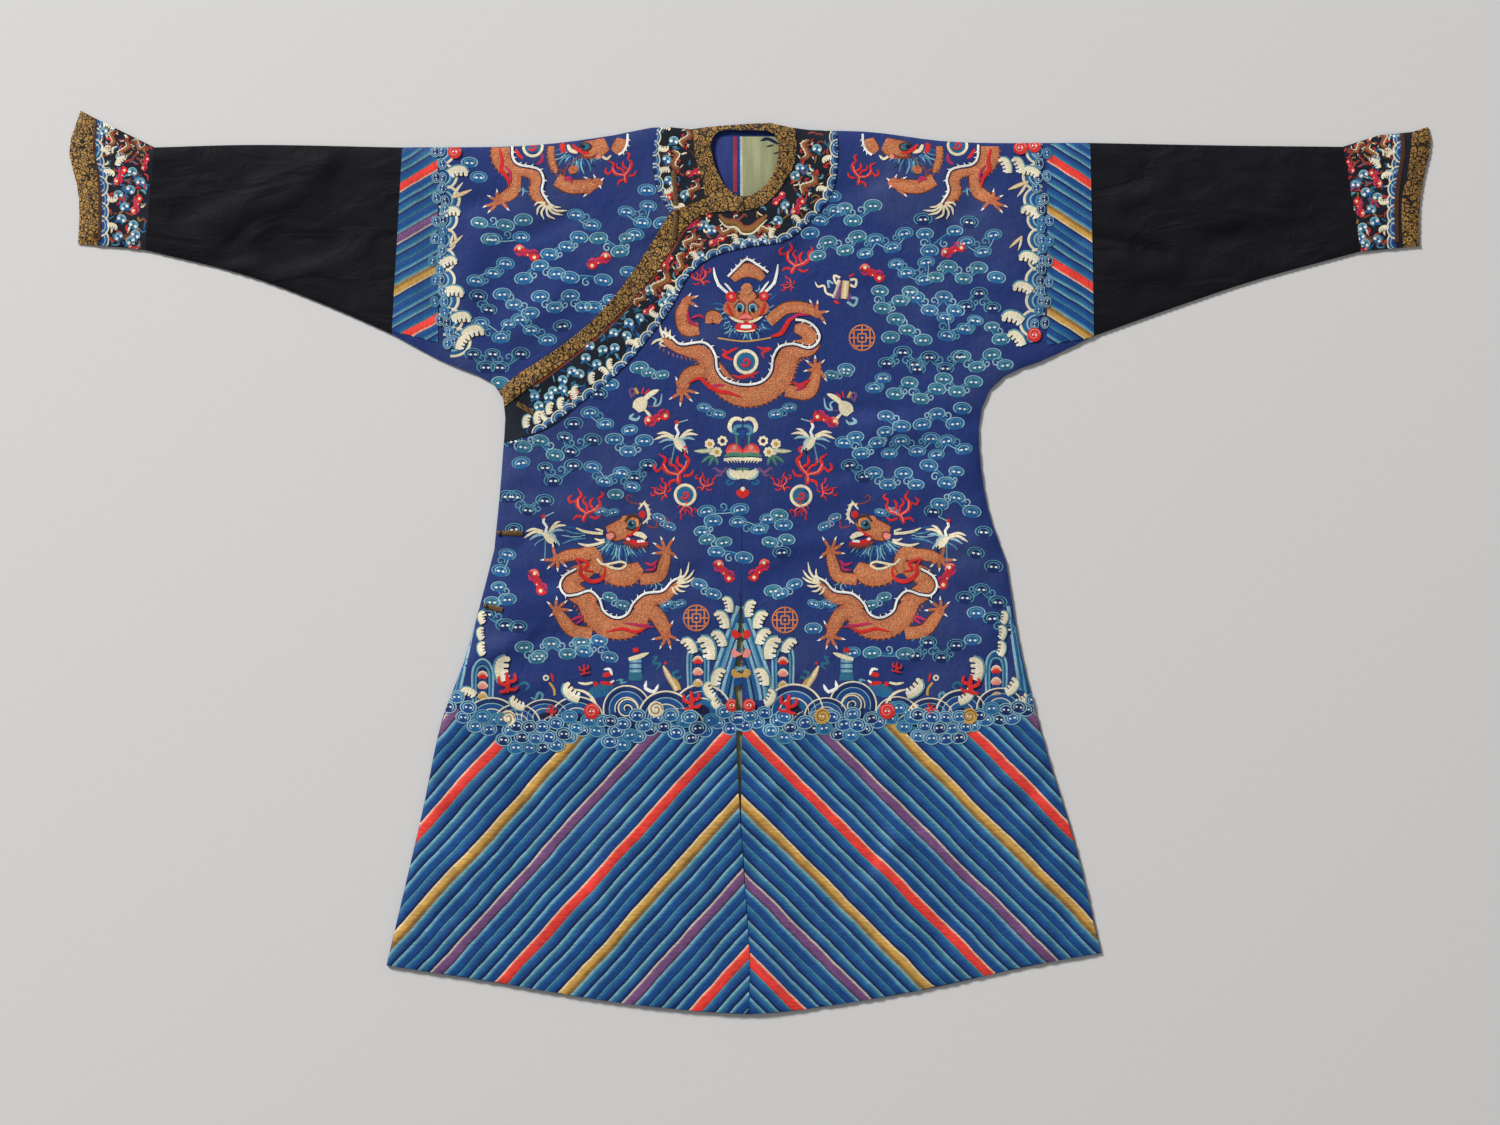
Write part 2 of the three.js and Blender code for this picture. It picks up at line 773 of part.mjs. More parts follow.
// Levels of the undersides of what lies on each surface.
const LEVEL_ON = {
  shoulderFacing: (p) => onRightFront(p) + ON_FACING,
  front: (p) => leftFrontLevel(p) + ON_PANEL,
  facing: (p) => leftFrontLevel(p) + ON_PANEL + ON_FACING,
  lapel: (p) => leftFrontLevel(p) + ON_PANEL + ON_FACING + ON_BAND,
};

function addFastenings() {
  STRAPS.forEach(({ name, x, y, toX, toY, on }) => {
    const aside = corner(y - toY, toX - x).setLength(STRAP_WIDTH / 2);
    const outline = [
      corner(x, y).add(aside),
      corner(x, y).sub(aside),
      corner(toX, toY).sub(aside),
      corner(toX, toY).add(aside),
    ];
    add(name, BROCADE, layer(LEVEL_ON[on], STRAP).intersect(prism(outline)));
  });
  KNOTS.forEach(({ name, x, y, on }) => {
    const height = KNOT_RADIUS * KNOT_FLATNESS;
    const ball = new THREE.SphereGeometry(KNOT_RADIUS, 12, 8).rotateX(Math.PI / 2);
    ball.scale(1, 1, KNOT_FLATNESS).translate(x, y, liftOn({ x, y }) + LEVEL_ON[on]({ x, y }) + height);
    add(name, BROCADE, toManifold(ball));
  });
}

addBack();
addLinings();
addFronts();
addFacings();
addBands();
addSleeves();
addFastenings();

export default robe;
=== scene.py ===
import math
import random
from typing import NamedTuple

import bmesh
import bpy
from bpy.props import FloatProperty, FloatVectorProperty, PointerProperty
from bpy.types import Operator, Panel, PropertyGroup
from mathutils import Matrix, Vector, noise
from mathutils.bvhtree import BVHTree
from mathutils.kdtree import KDTree


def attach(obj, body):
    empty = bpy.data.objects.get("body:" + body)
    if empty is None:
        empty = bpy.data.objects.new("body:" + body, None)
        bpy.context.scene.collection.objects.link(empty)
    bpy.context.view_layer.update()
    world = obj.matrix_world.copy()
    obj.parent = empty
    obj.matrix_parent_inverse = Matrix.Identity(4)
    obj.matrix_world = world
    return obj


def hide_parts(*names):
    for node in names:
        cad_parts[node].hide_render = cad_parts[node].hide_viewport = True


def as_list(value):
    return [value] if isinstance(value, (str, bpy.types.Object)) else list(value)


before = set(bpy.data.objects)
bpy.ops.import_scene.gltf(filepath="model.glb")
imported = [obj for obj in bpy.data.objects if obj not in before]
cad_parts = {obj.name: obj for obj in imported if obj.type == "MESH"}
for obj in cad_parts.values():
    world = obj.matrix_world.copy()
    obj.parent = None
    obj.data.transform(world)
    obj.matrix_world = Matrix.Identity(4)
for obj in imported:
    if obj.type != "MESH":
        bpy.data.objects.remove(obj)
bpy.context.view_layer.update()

bl_info = {
    "name": "Dragon Robe",
    "version": (1, 0, 0),
    "blender": (4, 5, 0),
    "location": "3D View > Sidebar > Robe",
    "description": "Dresses the packed robe in silk, brocade and embroidery",
    "category": "Object",
}

# Sizes are in metres. MM turns millimetres into metres.
MM = 0.001
BODY = "root"

# Places of motifs are read off the photograph, in its own columns and rows.
PIXEL = 1.55 * MM
PHOTO_WIDE = 1500
PHOTO_HIGH = 1125

# Walls of the cloth and the gap between layers that lie on each other.
PANEL_WALL = 1.5 * MM
FACING_WALL = 1.2 * MM
BAND_WALL = 1.2 * MM
STRAP_WALL = 1.6 * MM
SEAM = 0.3 * MM
ON_PANEL = PANEL_WALL + SEAM
ON_FACING = FACING_WALL + SEAM
BAND_WIDE = 35 * MM

# How the upper layers swell off the lower ones, and where the left front climbs onto the right one.
EDGE_ROUND = 34 * MM
LAP_FROM = 100 * MM
LAP_TO = 36 * MM
LAP_TOP = 660 * MM
LAP_BOTTOM = 622 * MM
# Troughs flatten out near the layer below, and ridges well above it.
TROUGH = 1.6 * MM
RIDGE = 12 * MM


def spot(across, down):
    """A place on the robe, in metres, from the photograph's column and row."""
    return Vector((PIXEL * (across - PHOTO_WIDE / 2), PIXEL * (PHOTO_HIGH / 2 - down)))


def spots(*places):
    """Several places on the robe, from pairs of column and row."""
    return [spot(across, down) for across, down in places]


def linear(colour):
    """A colour as shaders read it, from the sRGB values that a screen shows."""
    steps = [c / 12.92 if c <= 0.04045 else ((c + 0.055) / 1.055) ** 2.4 for c in colour]
    return (*steps, 1.0)


def toned(colour, factor):
    """A linear colour made darker or lighter."""
    return (*(factor * part for part in colour[:3]), 1.0)


def smooth_step(value, low, high):
    """0 below low, 1 above high, and a smooth rise between them."""
    share = min(1.0, max(0.0, (value - low) / (high - low)))
    return share * share * (3 - 2 * share)


def length_property(name, description, default):
    return FloatProperty(name=name, description=description, default=default, unit="LENGTH", precision=4)


def colour_property(name, description, default):
    return FloatVectorProperty(
        name=name, description=description, default=default, subtype="COLOR_GAMMA", min=0, max=1
    )


# Threads of the embroidery, by the colour that they show.
THREADS = {
    "white": (0.95, 0.95, 0.92),
    "cream": (0.93, 0.88, 0.74),
    "gold": (0.80, 0.62, 0.30),
    "ochre": (0.58, 0.42, 0.20),
    "amber": (0.87, 0.58, 0.38),
    "orange": (0.82, 0.48, 0.30),
    "rust": (0.55, 0.24, 0.18),
    "red": (0.84, 0.16, 0.15),
    "scarlet": (0.92, 0.25, 0.21),
    "pink": (0.92, 0.55, 0.50),
    "magenta": (0.74, 0.16, 0.34),
    "purple": (0.46, 0.30, 0.48),
    "plum": (0.24, 0.14, 0.28),
    "mist": (0.56, 0.72, 0.76),
    "aqua": (0.35, 0.58, 0.65),
    "teal": (0.16, 0.41, 0.52),
    "azure": (0.12, 0.37, 0.58),
    "blue": (0.07, 0.28, 0.53),
    "deep": (0.05, 0.16, 0.37),
    "navy": (0.05, 0.09, 0.25),
    "black": (0.06, 0.06, 0.08),
    "green": (0.30, 0.50, 0.42),
    "brown": (0.30, 0.17, 0.11),
}


class RobeThreads(PropertyGroup):
    """Colours of the embroidery threads."""

    __annotations__ = {
        name: colour_property(name.title(), f"Colour of the {name} thread", colour)
        for name, colour in THREADS.items()
    }


class RobeCloth(PropertyGroup):
    """Sizes and colours of the cloth."""

    lift: length_property("Lift", "How far the fronts lie off the back", 3.5 * MM)
    unevenness: length_property("Unevenness", "Height of the soft waves between the creases", 0.9 * MM)
    step: length_property("Step", "Longest edge in a finished cloth", 9 * MM)
    ground: colour_property("Ground", "Colour of the blue silk", (0.115, 0.195, 0.43))
    ground_faded: colour_property("Faded ground", "Colour where the blue silk has faded", (0.20, 0.25, 0.43))
    sleeve: colour_property("Sleeve", "Colour of the black sleeves", (0.062, 0.060, 0.080))
    border: colour_property("Border", "Ground colour of the facings and cuffs", (0.085, 0.10, 0.13))
    brocade_gold: colour_property("Brocade gold", "Gold of the bands", (0.66, 0.50, 0.25))
    brocade_ink: colour_property("Brocade ink", "Dark scrolls of the bands", (0.11, 0.08, 0.05))
    lining_green: colour_property("Green lining", "Colour of the green lining", (0.63, 0.64, 0.485))
    lining_blue: colour_property("Blue lining", "Colour of the blue lining", (0.18, 0.24, 0.50))


class RobeStage(PropertyGroup):
    """Sizes and colours of the stage."""

    camera_height: length_property("Camera height", "Height of the camera above the robe", 8.0)
    floor: colour_property("Floor", "Colour of the floor", (0.80, 0.795, 0.79))
    key_power: FloatProperty(
        name="Key light", description="Power of the large lamp", default=3850.0, unit="POWER"
    )
    sky: FloatProperty(name="Sky", description="Strength of the even light", default=0.32, min=0)


def cloth():
    return bpy.context.scene.robe_cloth


def thread(name):
    """A thread's colour, as shaders read it."""
    return linear(getattr(bpy.context.scene.robe_threads, name))


class Finish:
    """A procedural material, built node by node around one shader."""

    def __init__(self, name, roughness, sheen=0.0, shine=0.5):
        self.material = bpy.data.materials.new(name)
        self.material.use_nodes = True
        self.tree = self.material.node_tree
        self.shader = self.tree.nodes["Principled BSDF"]
        self.shader.inputs["Roughness"].default_value = roughness
        self.shader.inputs["Sheen Weight"].default_value = sheen
        self.shader.inputs["Sheen Roughness"].default_value = 0.4
        self.shader.inputs["Specular IOR Level"].default_value = shine
        self.place = self.add("TexCoord").outputs["Object"]
        self.normal = None

    def add(self, kind, inputs=None, **settings):
        """A node of that kind; inputs are values or the outputs of other nodes, by socket."""
        node = self.tree.nodes.new(f"ShaderNode{kind}")
        for name, value in settings.items():
            setattr(node, name, value)
        for socket, value in (inputs or {}).items():
            if isinstance(value, bpy.types.NodeSocket):
                self.tree.links.new(value, node.inputs[socket])
            else:
                node.inputs[socket].default_value = value
        return node

    def noise(self, scale, detail=3.0, place=None, distortion=0.0):
        inputs = {"Vector": place or self.place, "Scale": scale, "Detail": detail, "Distortion": distortion}
        return self.add("TexNoise", inputs).outputs["Fac"]

    def scaled(self, place, factors):
        return self.add("Mapping", {"Vector": place, "Scale": factors}).outputs["Vector"]

    def waves(self, scale, direction, distortion=0.0, detail=2.0):
        inputs = {"Vector": self.place, "Scale": scale, "Distortion": distortion, "Detail": detail}
        return self.add("TexWave", inputs, bands_direction=direction).outputs["Fac"]

    def math(self, operation, first, second=0.0):
        return self.add("Math", {0: first, 1: second}, operation=operation).outputs[0]

    def ramp(self, value, *stops):
        """A colour by value; stops are pairs of position and linear colour."""
        node = self.add("ValToRGB", {"Fac": value})
        for _ in stops[2:]:
            node.color_ramp.elements.new(0.5)
        for element, (position, colour) in zip(node.color_ramp.elements, stops):
            element.position = position
            element.color = colour
        return node.outputs["Color"]

    def fade(self, value, low, high):
        """0 below low and 1 above high."""
        inputs = {"Value": value, "From Min": low, "From Max": high}
        return self.add("MapRange", inputs).outputs["Result"]

    def mix(self, share, first, second, blend="MIX"):
        node = self.add("Mix", {0: share, 6: first, 7: second}, data_type="RGBA", blend_type=blend)
        return node.outputs[2]

    def colour(self, socket):
        self.tree.links.new(socket, self.shader.inputs["Base Color"])

    def bump(self, height, depth):
        """Raises the surface by depth metres where height is 1."""
        inputs = {"Height": height, "Distance": depth}
        if self.normal:
            inputs["Normal"] = self.normal
        self.normal = self.add("Bump", inputs).outputs["Normal"]
        self.tree.links.new(self.normal, self.shader.inputs["Normal"])


def weave(finish, pitch, depth):
    """Bump of crossing threads that lie a pitch apart."""
    heights = [finish.waves(0.314 / pitch, direction, 0.6, 1.0) for direction in ("X", "Y")]
    finish.bump(finish.math("MULTIPLY", *heights), depth)


def blue_silk():
    """Blue gauze with a fine weave, slubs, and places that the light has faded."""
    finish = Finish("blue silk", roughness=0.62, sheen=0.04, shine=0.2)
    worn = finish.fade(finish.noise(5.5, detail=5.0, distortion=0.8), 0.48, 0.78)
    slubs = finish.noise(1.0, detail=2.0, place=finish.scaled(finish.place, (900.0, 60.0, 60.0)))
    base = finish.mix(worn, linear(cloth().ground), linear(cloth().ground_faded))
    threads = finish.ramp(slubs, (0.3, (0.80, 0.80, 0.84, 1)), (0.75, (1.12, 1.10, 1.08, 1)))
    finish.colour(finish.mix(1.0, base, threads, "MULTIPLY"))
    weave(finish, 1.1 * MM, 0.12 * MM)
    finish.bump(finish.noise(38.0, detail=4.0, distortion=1.2), 1.4 * MM)
    return finish.material


def black_silk():
    """Black silk of the sleeves, matt, with slack small creases across the sleeve."""
    finish = Finish("black silk", roughness=0.6, shine=0.1)
    dust = finish.noise(14.0, detail=6.0)
    dark = linear(cloth().sleeve)
    finish.colour(finish.ramp(dust, (0.35, dark), (0.8, toned(dark, 1.5))))
    weave(finish, 1.0 * MM, 0.10 * MM)
    place = finish.scaled(finish.place, (9.0, 20.0, 9.0))
    finish.bump(finish.noise(1.0, detail=4.0, place=place, distortion=1.4), 5.0 * MM)
    return finish.material


def black_satin():
    """Near-black satin under the embroidery of the facings and cuffs."""
    finish = Finish("black satin", roughness=0.5, shine=0.12)
    tone = finish.noise(22.0, detail=5.0)
    dark = linear(cloth().border)
    finish.colour(finish.ramp(tone, (0.3, dark), (0.8, toned(dark, 1.9))))
    weave(finish, 0.9 * MM, 0.08 * MM)
    finish.bump(finish.noise(60.0, detail=3.0), 0.7 * MM)
    return finish.material


def brocade():
    """Gold brocade: coiled gold scrolls with dark lines between them, and a ribbed metal thread."""
    finish = Finish("gold brocade", roughness=0.45, shine=0.3)
    cells = {"Vector": finish.place, "Scale": 118.0, "Randomness": 0.9}
    reach = finish.add("TexVoronoi", cells).outputs["Distance"]
    edges = finish.add("TexVoronoi", cells, feature="DISTANCE_TO_EDGE").outputs["Distance"]
    bend = finish.math("MULTIPLY", finish.noise(95.0, detail=1.0), 14.0)
    rings = finish.math("SINE", finish.math("ADD", finish.math("MULTIPLY", reach, 13.0), bend))
    scroll = finish.fade(rings, -0.8, -0.35)
    pattern = finish.math("MULTIPLY", scroll, finish.fade(edges, 0.03, 0.11))
    tarnish = finish.fade(finish.noise(9.0, detail=4.0), 0.35, 0.7)
    gold = finish.mix(tarnish, linear(cloth().brocade_gold), linear((0.55, 0.40, 0.19)))
    finish.colour(finish.mix(pattern, linear(cloth().brocade_ink), gold))
    finish.bump(pattern, 0.35 * MM)
    finish.bump(finish.waves(280.0, "DIAGONAL"), 0.08 * MM)
    return finish.material


def lining(name, colour):
    """Thin plain silk that has gone soft and streaky."""
    finish = Finish(name, roughness=0.7, shine=0.2)
    streaks = finish.noise(1.0, detail=5.0, place=finish.scaled(finish.place, (70.0, 9.0, 30.0)))
    base = linear(colour)
    finish.colour(finish.ramp(streaks, (0.3, toned(base, 0.62)), (0.7, base)))
    finish.bump(streaks, 2.2 * MM)
    weave(finish, 1.0 * MM, 0.08 * MM)
    return finish.material


def floss():
    """Satin-stitched floss: each strip's own colour, streaked along its stitches, with patches of painted
    sheen over it.
    """
    finish = Finish("embroidery floss", roughness=0.55, shine=0.25)
    tint = finish.add("Attribute", attribute_name="thread").outputs["Color"]
    stitch = finish.add("Attribute", attribute_name="stitch").outputs["Vector"]
    lay = finish.noise(1.0, detail=2.0, place=finish.scaled(stitch, (1300.0, 120.0, 1.0)))
    worn = finish.noise(30.0, detail=5.0)
    # Painted sheen: short patches of the floss are made lighter and warmer, or darker and cooler, as light
    # would catch the silk.
    sheen_flecks = finish.noise(1.0, detail=2.0, place=finish.scaled(stitch, (230.0, 420.0, 1.0)))
    streak = finish.ramp(lay, (0.25, (0.72, 0.72, 0.74, 1)), (0.75, (1.14, 1.14, 1.12, 1)))
    wear = finish.ramp(worn, (0.3, (0.76, 0.76, 0.79, 1)), (0.7, (1.08, 1.08, 1.06, 1)))
    painted_sheen = finish.ramp(sheen_flecks, (0.35, (0.80, 0.82, 0.86, 1)), (0.7, (1.24, 1.22, 1.18, 1)))
    silk = finish.mix(1.0, tint, streak, "MULTIPLY")
    finish.colour(finish.mix(1.0, finish.mix(1.0, silk, wear, "MULTIPLY"), painted_sheen, "MULTIPLY"))
    finish.bump(lay, 0.25 * MM)
    return finish.material


def couched():
    """Couched cord: rows of small rounded scales in the thread's own colour, with brown lines between."""
    finish = Finish("couched cord", roughness=0.5, shine=0.3)
    tint = finish.add("Attribute", attribute_name="thread").outputs["Color"]
    cells = {"Vector": finish.place, "Scale": 410.0, "Randomness": 0.75}
    edges = finish.add("TexVoronoi", cells, feature="DISTANCE_TO_EDGE").outputs["Distance"]
    shade = finish.add("TexVoronoi", cells, feature="F1").outputs["Color"]
    line = finish.fade(edges, 0.03, 0.2)
    cell = finish.ramp(shade, (0.1, (0.84, 0.74, 0.74, 1)), (0.9, (1.25, 1.16, 1.08, 1)))
    tinted = finish.mix(1.0, tint, cell, "MULTIPLY")
    finish.colour(finish.mix(line, finish.mix(0.62, tinted, linear((0.32, 0.14, 0.10))), tinted))
    finish.bump(line, 0.3 * MM)
    return finish.material


def cord():
    """Plaited brown and ochre cord of the fastenings."""
    finish = Finish("plaited cord", roughness=0.6, shine=0.25)
    plait = finish.waves(150.0, "DIAGONAL", 1.5)
    brown = linear((0.17, 0.11, 0.08))
    ochre = linear((0.50, 0.38, 0.22))
    finish.colour(finish.ramp(plait, (0.25, brown), (0.8, ochre)))
    finish.bump(plait, 0.2 * MM)
    return finish.material


def floor_paper():
    """Seamless pale paper under the robe."""
    finish = Finish("pale paper", roughness=0.95)
    fibre = finish.noise(90.0, detail=4.0)
    base = linear(bpy.context.scene.robe_stage.floor)
    finish.colour(finish.ramp(fibre, (0.3, toned(base, 0.985)), (0.7, base)))
    return finish.material


FINISHES = {}


def finish_named(name):
    """A material by name, made the first time that a piece asks for it."""
    makers = {
        "blue_silk": blue_silk,
        "black_silk": black_silk,
        "black_satin": black_satin,
        "brocade": brocade,
        "green_lining": lambda: lining("green lining", cloth().lining_green),
        "blue_lining": lambda: lining("blue lining", cloth().lining_blue),
        "floss": floss,
        "couched": couched,
        "cord": cord,
        "paper": floor_paper,
    }
    if name not in FINISHES:
        FINISHES[name] = makers[name]()
    return FINISHES[name]


class Crease(NamedTuple):
    """A soft ridge, or a trough where rise is negative, in millimetres and degrees."""

    x: float
    y: float
    turn: float
    length: float
    width: float
    rise: float


CREASES = [
    Crease(255, 205, -6, 210, 26, 7), Crease(300, 135, 14, 150, 26, 5), Crease(285, 4, -8, 200, 26, 6.5),
    Crease(320, -105, -14, 170, 28, 5), Crease(-285, 80, -7, 180, 26, 6), Crease(-330, -60, 12, 150, 28, 5),
    Crease(-330, 390, 42, 170, 26, 6.5), Crease(-430, 470, 66, 190, 28, 6),
    Crease(400, 500, -62, 190, 28, 6), Crease(250, 560, -35, 160, 28, 5), Crease(-755, 560, 14, 240, 28, 7),
    Crease(700, 545, -16, 230, 28, 7), Crease(830, 560, 70, 110, 26, 5),
    Crease(-420, -430, 76, 290, 40, 6.5), Crease(420, -430, -76, 290, 40, 6.5),
    Crease(-200, -500, 82, 270, 42, 5), Crease(215, -500, -83, 270, 42, 5),
]
# Narrow wrinkles on and between the large ones.
WRINKLES = [
    Crease(340, 236, -20, 120, 14, 2.2), Crease(300, 262, -32, 110, 13, 1.8),
    Crease(262, 178, 4, 150, 15, -1.8), Crease(331, 92, -10, 90, 13, 1.8),
    Crease(240, 48, 12, 130, 14, -1.6), Crease(350, -42, -22, 110, 14, 2),
    Crease(282, -160, 6, 120, 15, -1.5), Crease(-322, 206, 28, 110, 14, 2),
    Crease(-350, 128, -4, 90, 13, 1.6), Crease(-262, 30, 8, 130, 14, -1.6),
    Crease(-368, -118, 20, 100, 15, 1.8), Crease(-250, 455, 38, 90, 14, 1.6),
    Crease(-470, 372, 30, 120, 14, 2), Crease(455, 372, -36, 130, 14, 2.2),
    Crease(400, 328, -24, 110, 14, 1.8), Crease(330, 420, -48, 130, 15, -1.6),
    Crease(-640, 470, 22, 150, 15, 2.2), Crease(-850, 545, 8, 120, 15, -2),
    Crease(-690, 610, -8, 130, 14, 1.6), Crease(610, 470, -20, 150, 15, 2.2),
    Crease(790, 500, -28, 130, 14, -2), Crease(620, 610, 6, 120, 14, 1.6),
    Crease(-190, -390, 28, 170, 15, 2.4), Crease(-120, -345, 34, 120, 14, -1.8),
    Crease(-430, -520, -30, 120, 15, 2), Crease(-300, -575, 8, 130, 17, -1.8),
    Crease(190, -420, -30, 150, 15, 2), Crease(400, -380, -62, 140, 16, 2.2),
    Crease(470, -300, 24, 90, 14, 2), Crease(330, -560, -18, 140, 16, -1.8),
    Crease(120, -585, 20, 120, 16, 1.8),
]


def strewn_wrinkles(count=64, seed=21):
    """Soft wrinkles strewn over the robe: level near its sides, steep in the skirt."""
    draw = random.Random(seed)
    made = []
    for _ in range(count):
        y = draw.uniform(-660, 640)
        half = 430 if y > -300 else 520
        x = draw.uniform(-half, half)
        turn = draw.gauss(90, 28) if y < -250 else draw.gauss(-12 if x > 0 else 14, 24)
        rise = draw.choice((-1, 1)) * draw.uniform(2.2, 4.4)
        made.append(Crease(x, y, turn, draw.uniform(70, 190), draw.uniform(13, 20), rise))
    for _ in range(count // 3):
        x = draw.choice((-1, 1)) * draw.uniform(560, 900)
        turn = draw.gauss(15 if x < 0 else -15, 22)
        rise = draw.choice((-1, 1)) * draw.uniform(2.6, 4.8)
        made.append(
            Crease(x, draw.uniform(440, 650), turn, draw.uniform(80, 200), draw.uniform(13, 20), rise)
        )
    return made


WRINKLES += strewn_wrinkles()

# The lowest pieces, which draw the robe's outline between them.
OUTLINE_NODES = (
    "back_left", "back_right", "sleeve_left", "sleeve_right", "cuff_left", "cuff_right", "cuff_band_left",
    "cuff_band_right",
)
EDGE_SAMPLE = 2 * MM
SEAM_REACH = 2.2 * MM
OUTLINE = {}


def merged_copy(node):
    """A bmesh of a node's own form, its loose triangles joined."""
    bm = bmesh.new()
    bm.from_mesh(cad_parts[node].data)
    bmesh.ops.remove_doubles(bm, verts=bm.verts, dist=0.01 * MM)
    return bm


def rim_points(node):
    """Points close together along the rim of a node's underside."""
    bm = merged_copy(node)
    below = {f for f in bm.faces if f.normal.z < -0.9 and max(v.co.z for v in f.verts) < 0.2 * MM}
    points = []
    for edge in bm.edges:
        if len(below.intersection(edge.link_faces)) != 1:
            continue
        count = max(1, round(edge.calc_length() / EDGE_SAMPLE))
        start, end = (v.co.copy() for v in edge.verts)
        points += [start.lerp(end, k / count) for k in range(count)]
    bm.free()
    return points


def search_tree(points):
    tree = KDTree(len(points))
    for i, point in enumerate(points):
        tree.insert((point.x, point.y, 0), i)
    tree.balance()
    return tree


def outline_tree():
    """A search tree of the robe's outer edge: rim points that lie at no seam."""
    if "tree" not in OUTLINE:
        rims = {node: rim_points(node) for node in OUTLINE_NODES}
        trees = {node: search_tree(points) for node, points in rims.items()}
        kept = []
        for node, points in rims.items():
            others = [tree for other, tree in trees.items() if other != node]
            for point in points:
                if all(tree.find((point.x, point.y, 0))[2] > SEAM_REACH for tree in others):
                    kept.append(point)
        OUTLINE["tree"] = search_tree(kept)
    return OUTLINE["tree"]


def crease_height(crease, x, y):
    from_x = x - crease.x * MM
    from_y = y - crease.y * MM
    reach = (crease.length / 2 + 3 * crease.width) * MM
    if abs(from_x) > reach or abs(from_y) > reach:
        return 0.0
    onward = math.cos(math.radians(crease.turn))
    upward = math.sin(math.radians(crease.turn))
    along = abs(from_x * onward + from_y * upward) / MM
    if along > crease.length / 2:
        return 0.0
    aside = (from_y * onward - from_x * upward) / (crease.width * MM)
    if abs(aside) > 3:
        return 0.0
    fade = 1 - smooth_step(along, crease.length / 4, crease.length / 2)
    return crease.rise * MM * fade * math.exp(-aside * aside)


def lift(x, y):
    """How far the upper layers lie above the level that they have at the robe's edge."""
    edge = outline_tree().find((x, y, 0))[2]
    inwards = min(1.0, edge / EDGE_ROUND)
    swell = math.sqrt(max(0.0, 1 - (1 - inwards) ** 2))
    height = cloth().lift + sum(crease_height(crease, x, y) for crease in CREASES + WRINKLES)
    waves = noise.noise((11 * x, 11 * y, 0.3)) + 0.45 * noise.noise((27 * x, 27 * y, 4.1))
    height += cloth().unevenness * waves
    height = (height + math.sqrt(height * height + TROUGH * TROUGH)) / 2
    return swell * RIDGE * math.tanh(height / RIDGE)


def lap(x, y):
    """1 where the left front lies on the right front, 0 where it lies on the back."""
    on_right = 1 - smooth_step(x, LAP_TO, LAP_FROM)
    below_neck = 1 - smooth_step(y, LAP_BOTTOM, LAP_TOP)
    return on_right * below_neck


def refine(bm, longest):
    """Halves the long edges until none is longer."""
    for _ in range(6):
        edges = [edge for edge in bm.edges if edge.calc_length() > longest]
        if not edges:
            return
        bmesh.ops.subdivide_edges(bm, edges=edges, cuts=1, use_grid_fill=True, use_single_edge=True)


def piece_from(bm, name, finish, slot, nodes=()):
    """A finished piece of the robe from a bmesh, riding on the robe's one body."""
    mesh = bpy.data.meshes.new(name)
    bm.to_mesh(mesh)
    bm.free()
    for polygon in mesh.polygons:
        polygon.use_smooth = True
    mesh.set_sharp_from_angle(angle=math.radians(42))
    mesh.materials.append(finish_named(finish))
    piece = bpy.data.objects.new(name, mesh)
    bpy.context.scene.collection.objects.link(piece)
    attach(piece, BODY)
    if nodes:
        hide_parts(*nodes)
    return piece


def declare_sheet(rests_on, turn=0, strip=0.0):
    """Makes a list of what a cloth rests on and keeps nothing. The turn of the rectangle that the cloth was
    cut as, and the width of its strip, are not used.
    """
    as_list(rests_on)


def cut_to_step(node):
    """A merged copy of a node, its cut edges in quads and nothing longer than the cloth's step."""
    bm = merged_copy(node)
    walls = [f for f in bm.faces if abs(f.normal.z) < 0.1]
    bmesh.ops.join_triangles(bm, faces=walls, angle_face_threshold=0.3, angle_shape_threshold=3.1)
    refine(bm, cloth().step)
    return bm


def lay_cloth(node, name, finish, slot, level, wall, laps=False, rests_on=(), turn=0, strip=0.0):
    """A panel of one wall whose form is its node's, cut fine and laid over the creases."""
    bm = cut_to_step(node)
    above = {v for f in bm.faces if f.normal.z > 0.5 for v in f.verts}
    for v in bm.verts:
        x, y = v.co.x, v.co.y
        v.co.z = level + (ON_PANEL * lap(x, y) if laps else 0) + lift(x, y) + (wall if v in above else 0)
    piece = piece_from(bm, name, finish, slot, [node])
    declare_sheet(rests_on, turn=turn, strip=strip)
    return piece


def lay_tube(node, name, finish, slot, rests_on=()):
    """A flattened tube whose lower wall lies flat and whose upper wall takes the creases."""
    bm = cut_to_step(node)
    outside = {v for f in bm.faces if f.normal.z > 0.5 for v in f.verts}
    for v in bm.verts:
        if v.co.z > PANEL_WALL + SEAM / 2:
            v.co.z = ON_PANEL + lift(v.co.x, v.co.y) + (PANEL_WALL if v in outside else 0)
    piece = piece_from(bm, name, finish, slot, [node])
    declare_sheet(rests_on)
    return piece


def lay_flat(node, name, finish, slot, rests_on=()):
    """A panel that lies flat, with its cut edges rounded."""
    bm = merged_copy(node)
    sharp = [edge for edge in bm.edges if edge.is_manifold and edge.calc_face_angle() > math.radians(60)]
    rim = [edge for edge in sharp if abs(edge.verts[0].co.z - edge.verts[1].co.z) < 0.1 * MM]
    bmesh.ops.bevel(bm, geom=rim, affect="EDGES", offset=0.4 * MM, segments=2, profile=0.5, material=-1)
    piece = piece_from(bm, name, finish, slot, [node])
    declare_sheet(rests_on)
    return piece


def ground_of(*names):
    """The upper surface of some finished pieces, as a tree that rays can meet."""
    bm = bmesh.new()
    for name in names:
        bm.from_mesh(bpy.data.objects[name].data)
    tree = BVHTree.FromBMesh(bm)
    bm.free()
    return tree


DOWN = Vector((0, 0, -1))
ABOVE = 0.1


def height_on(ground, x, y):
    """The height of the surface at a place, or None beside it."""
    hit = ground.ray_cast(Vector((x, y, ABOVE)), DOWN)[0]
    return None if hit is None else hit.z


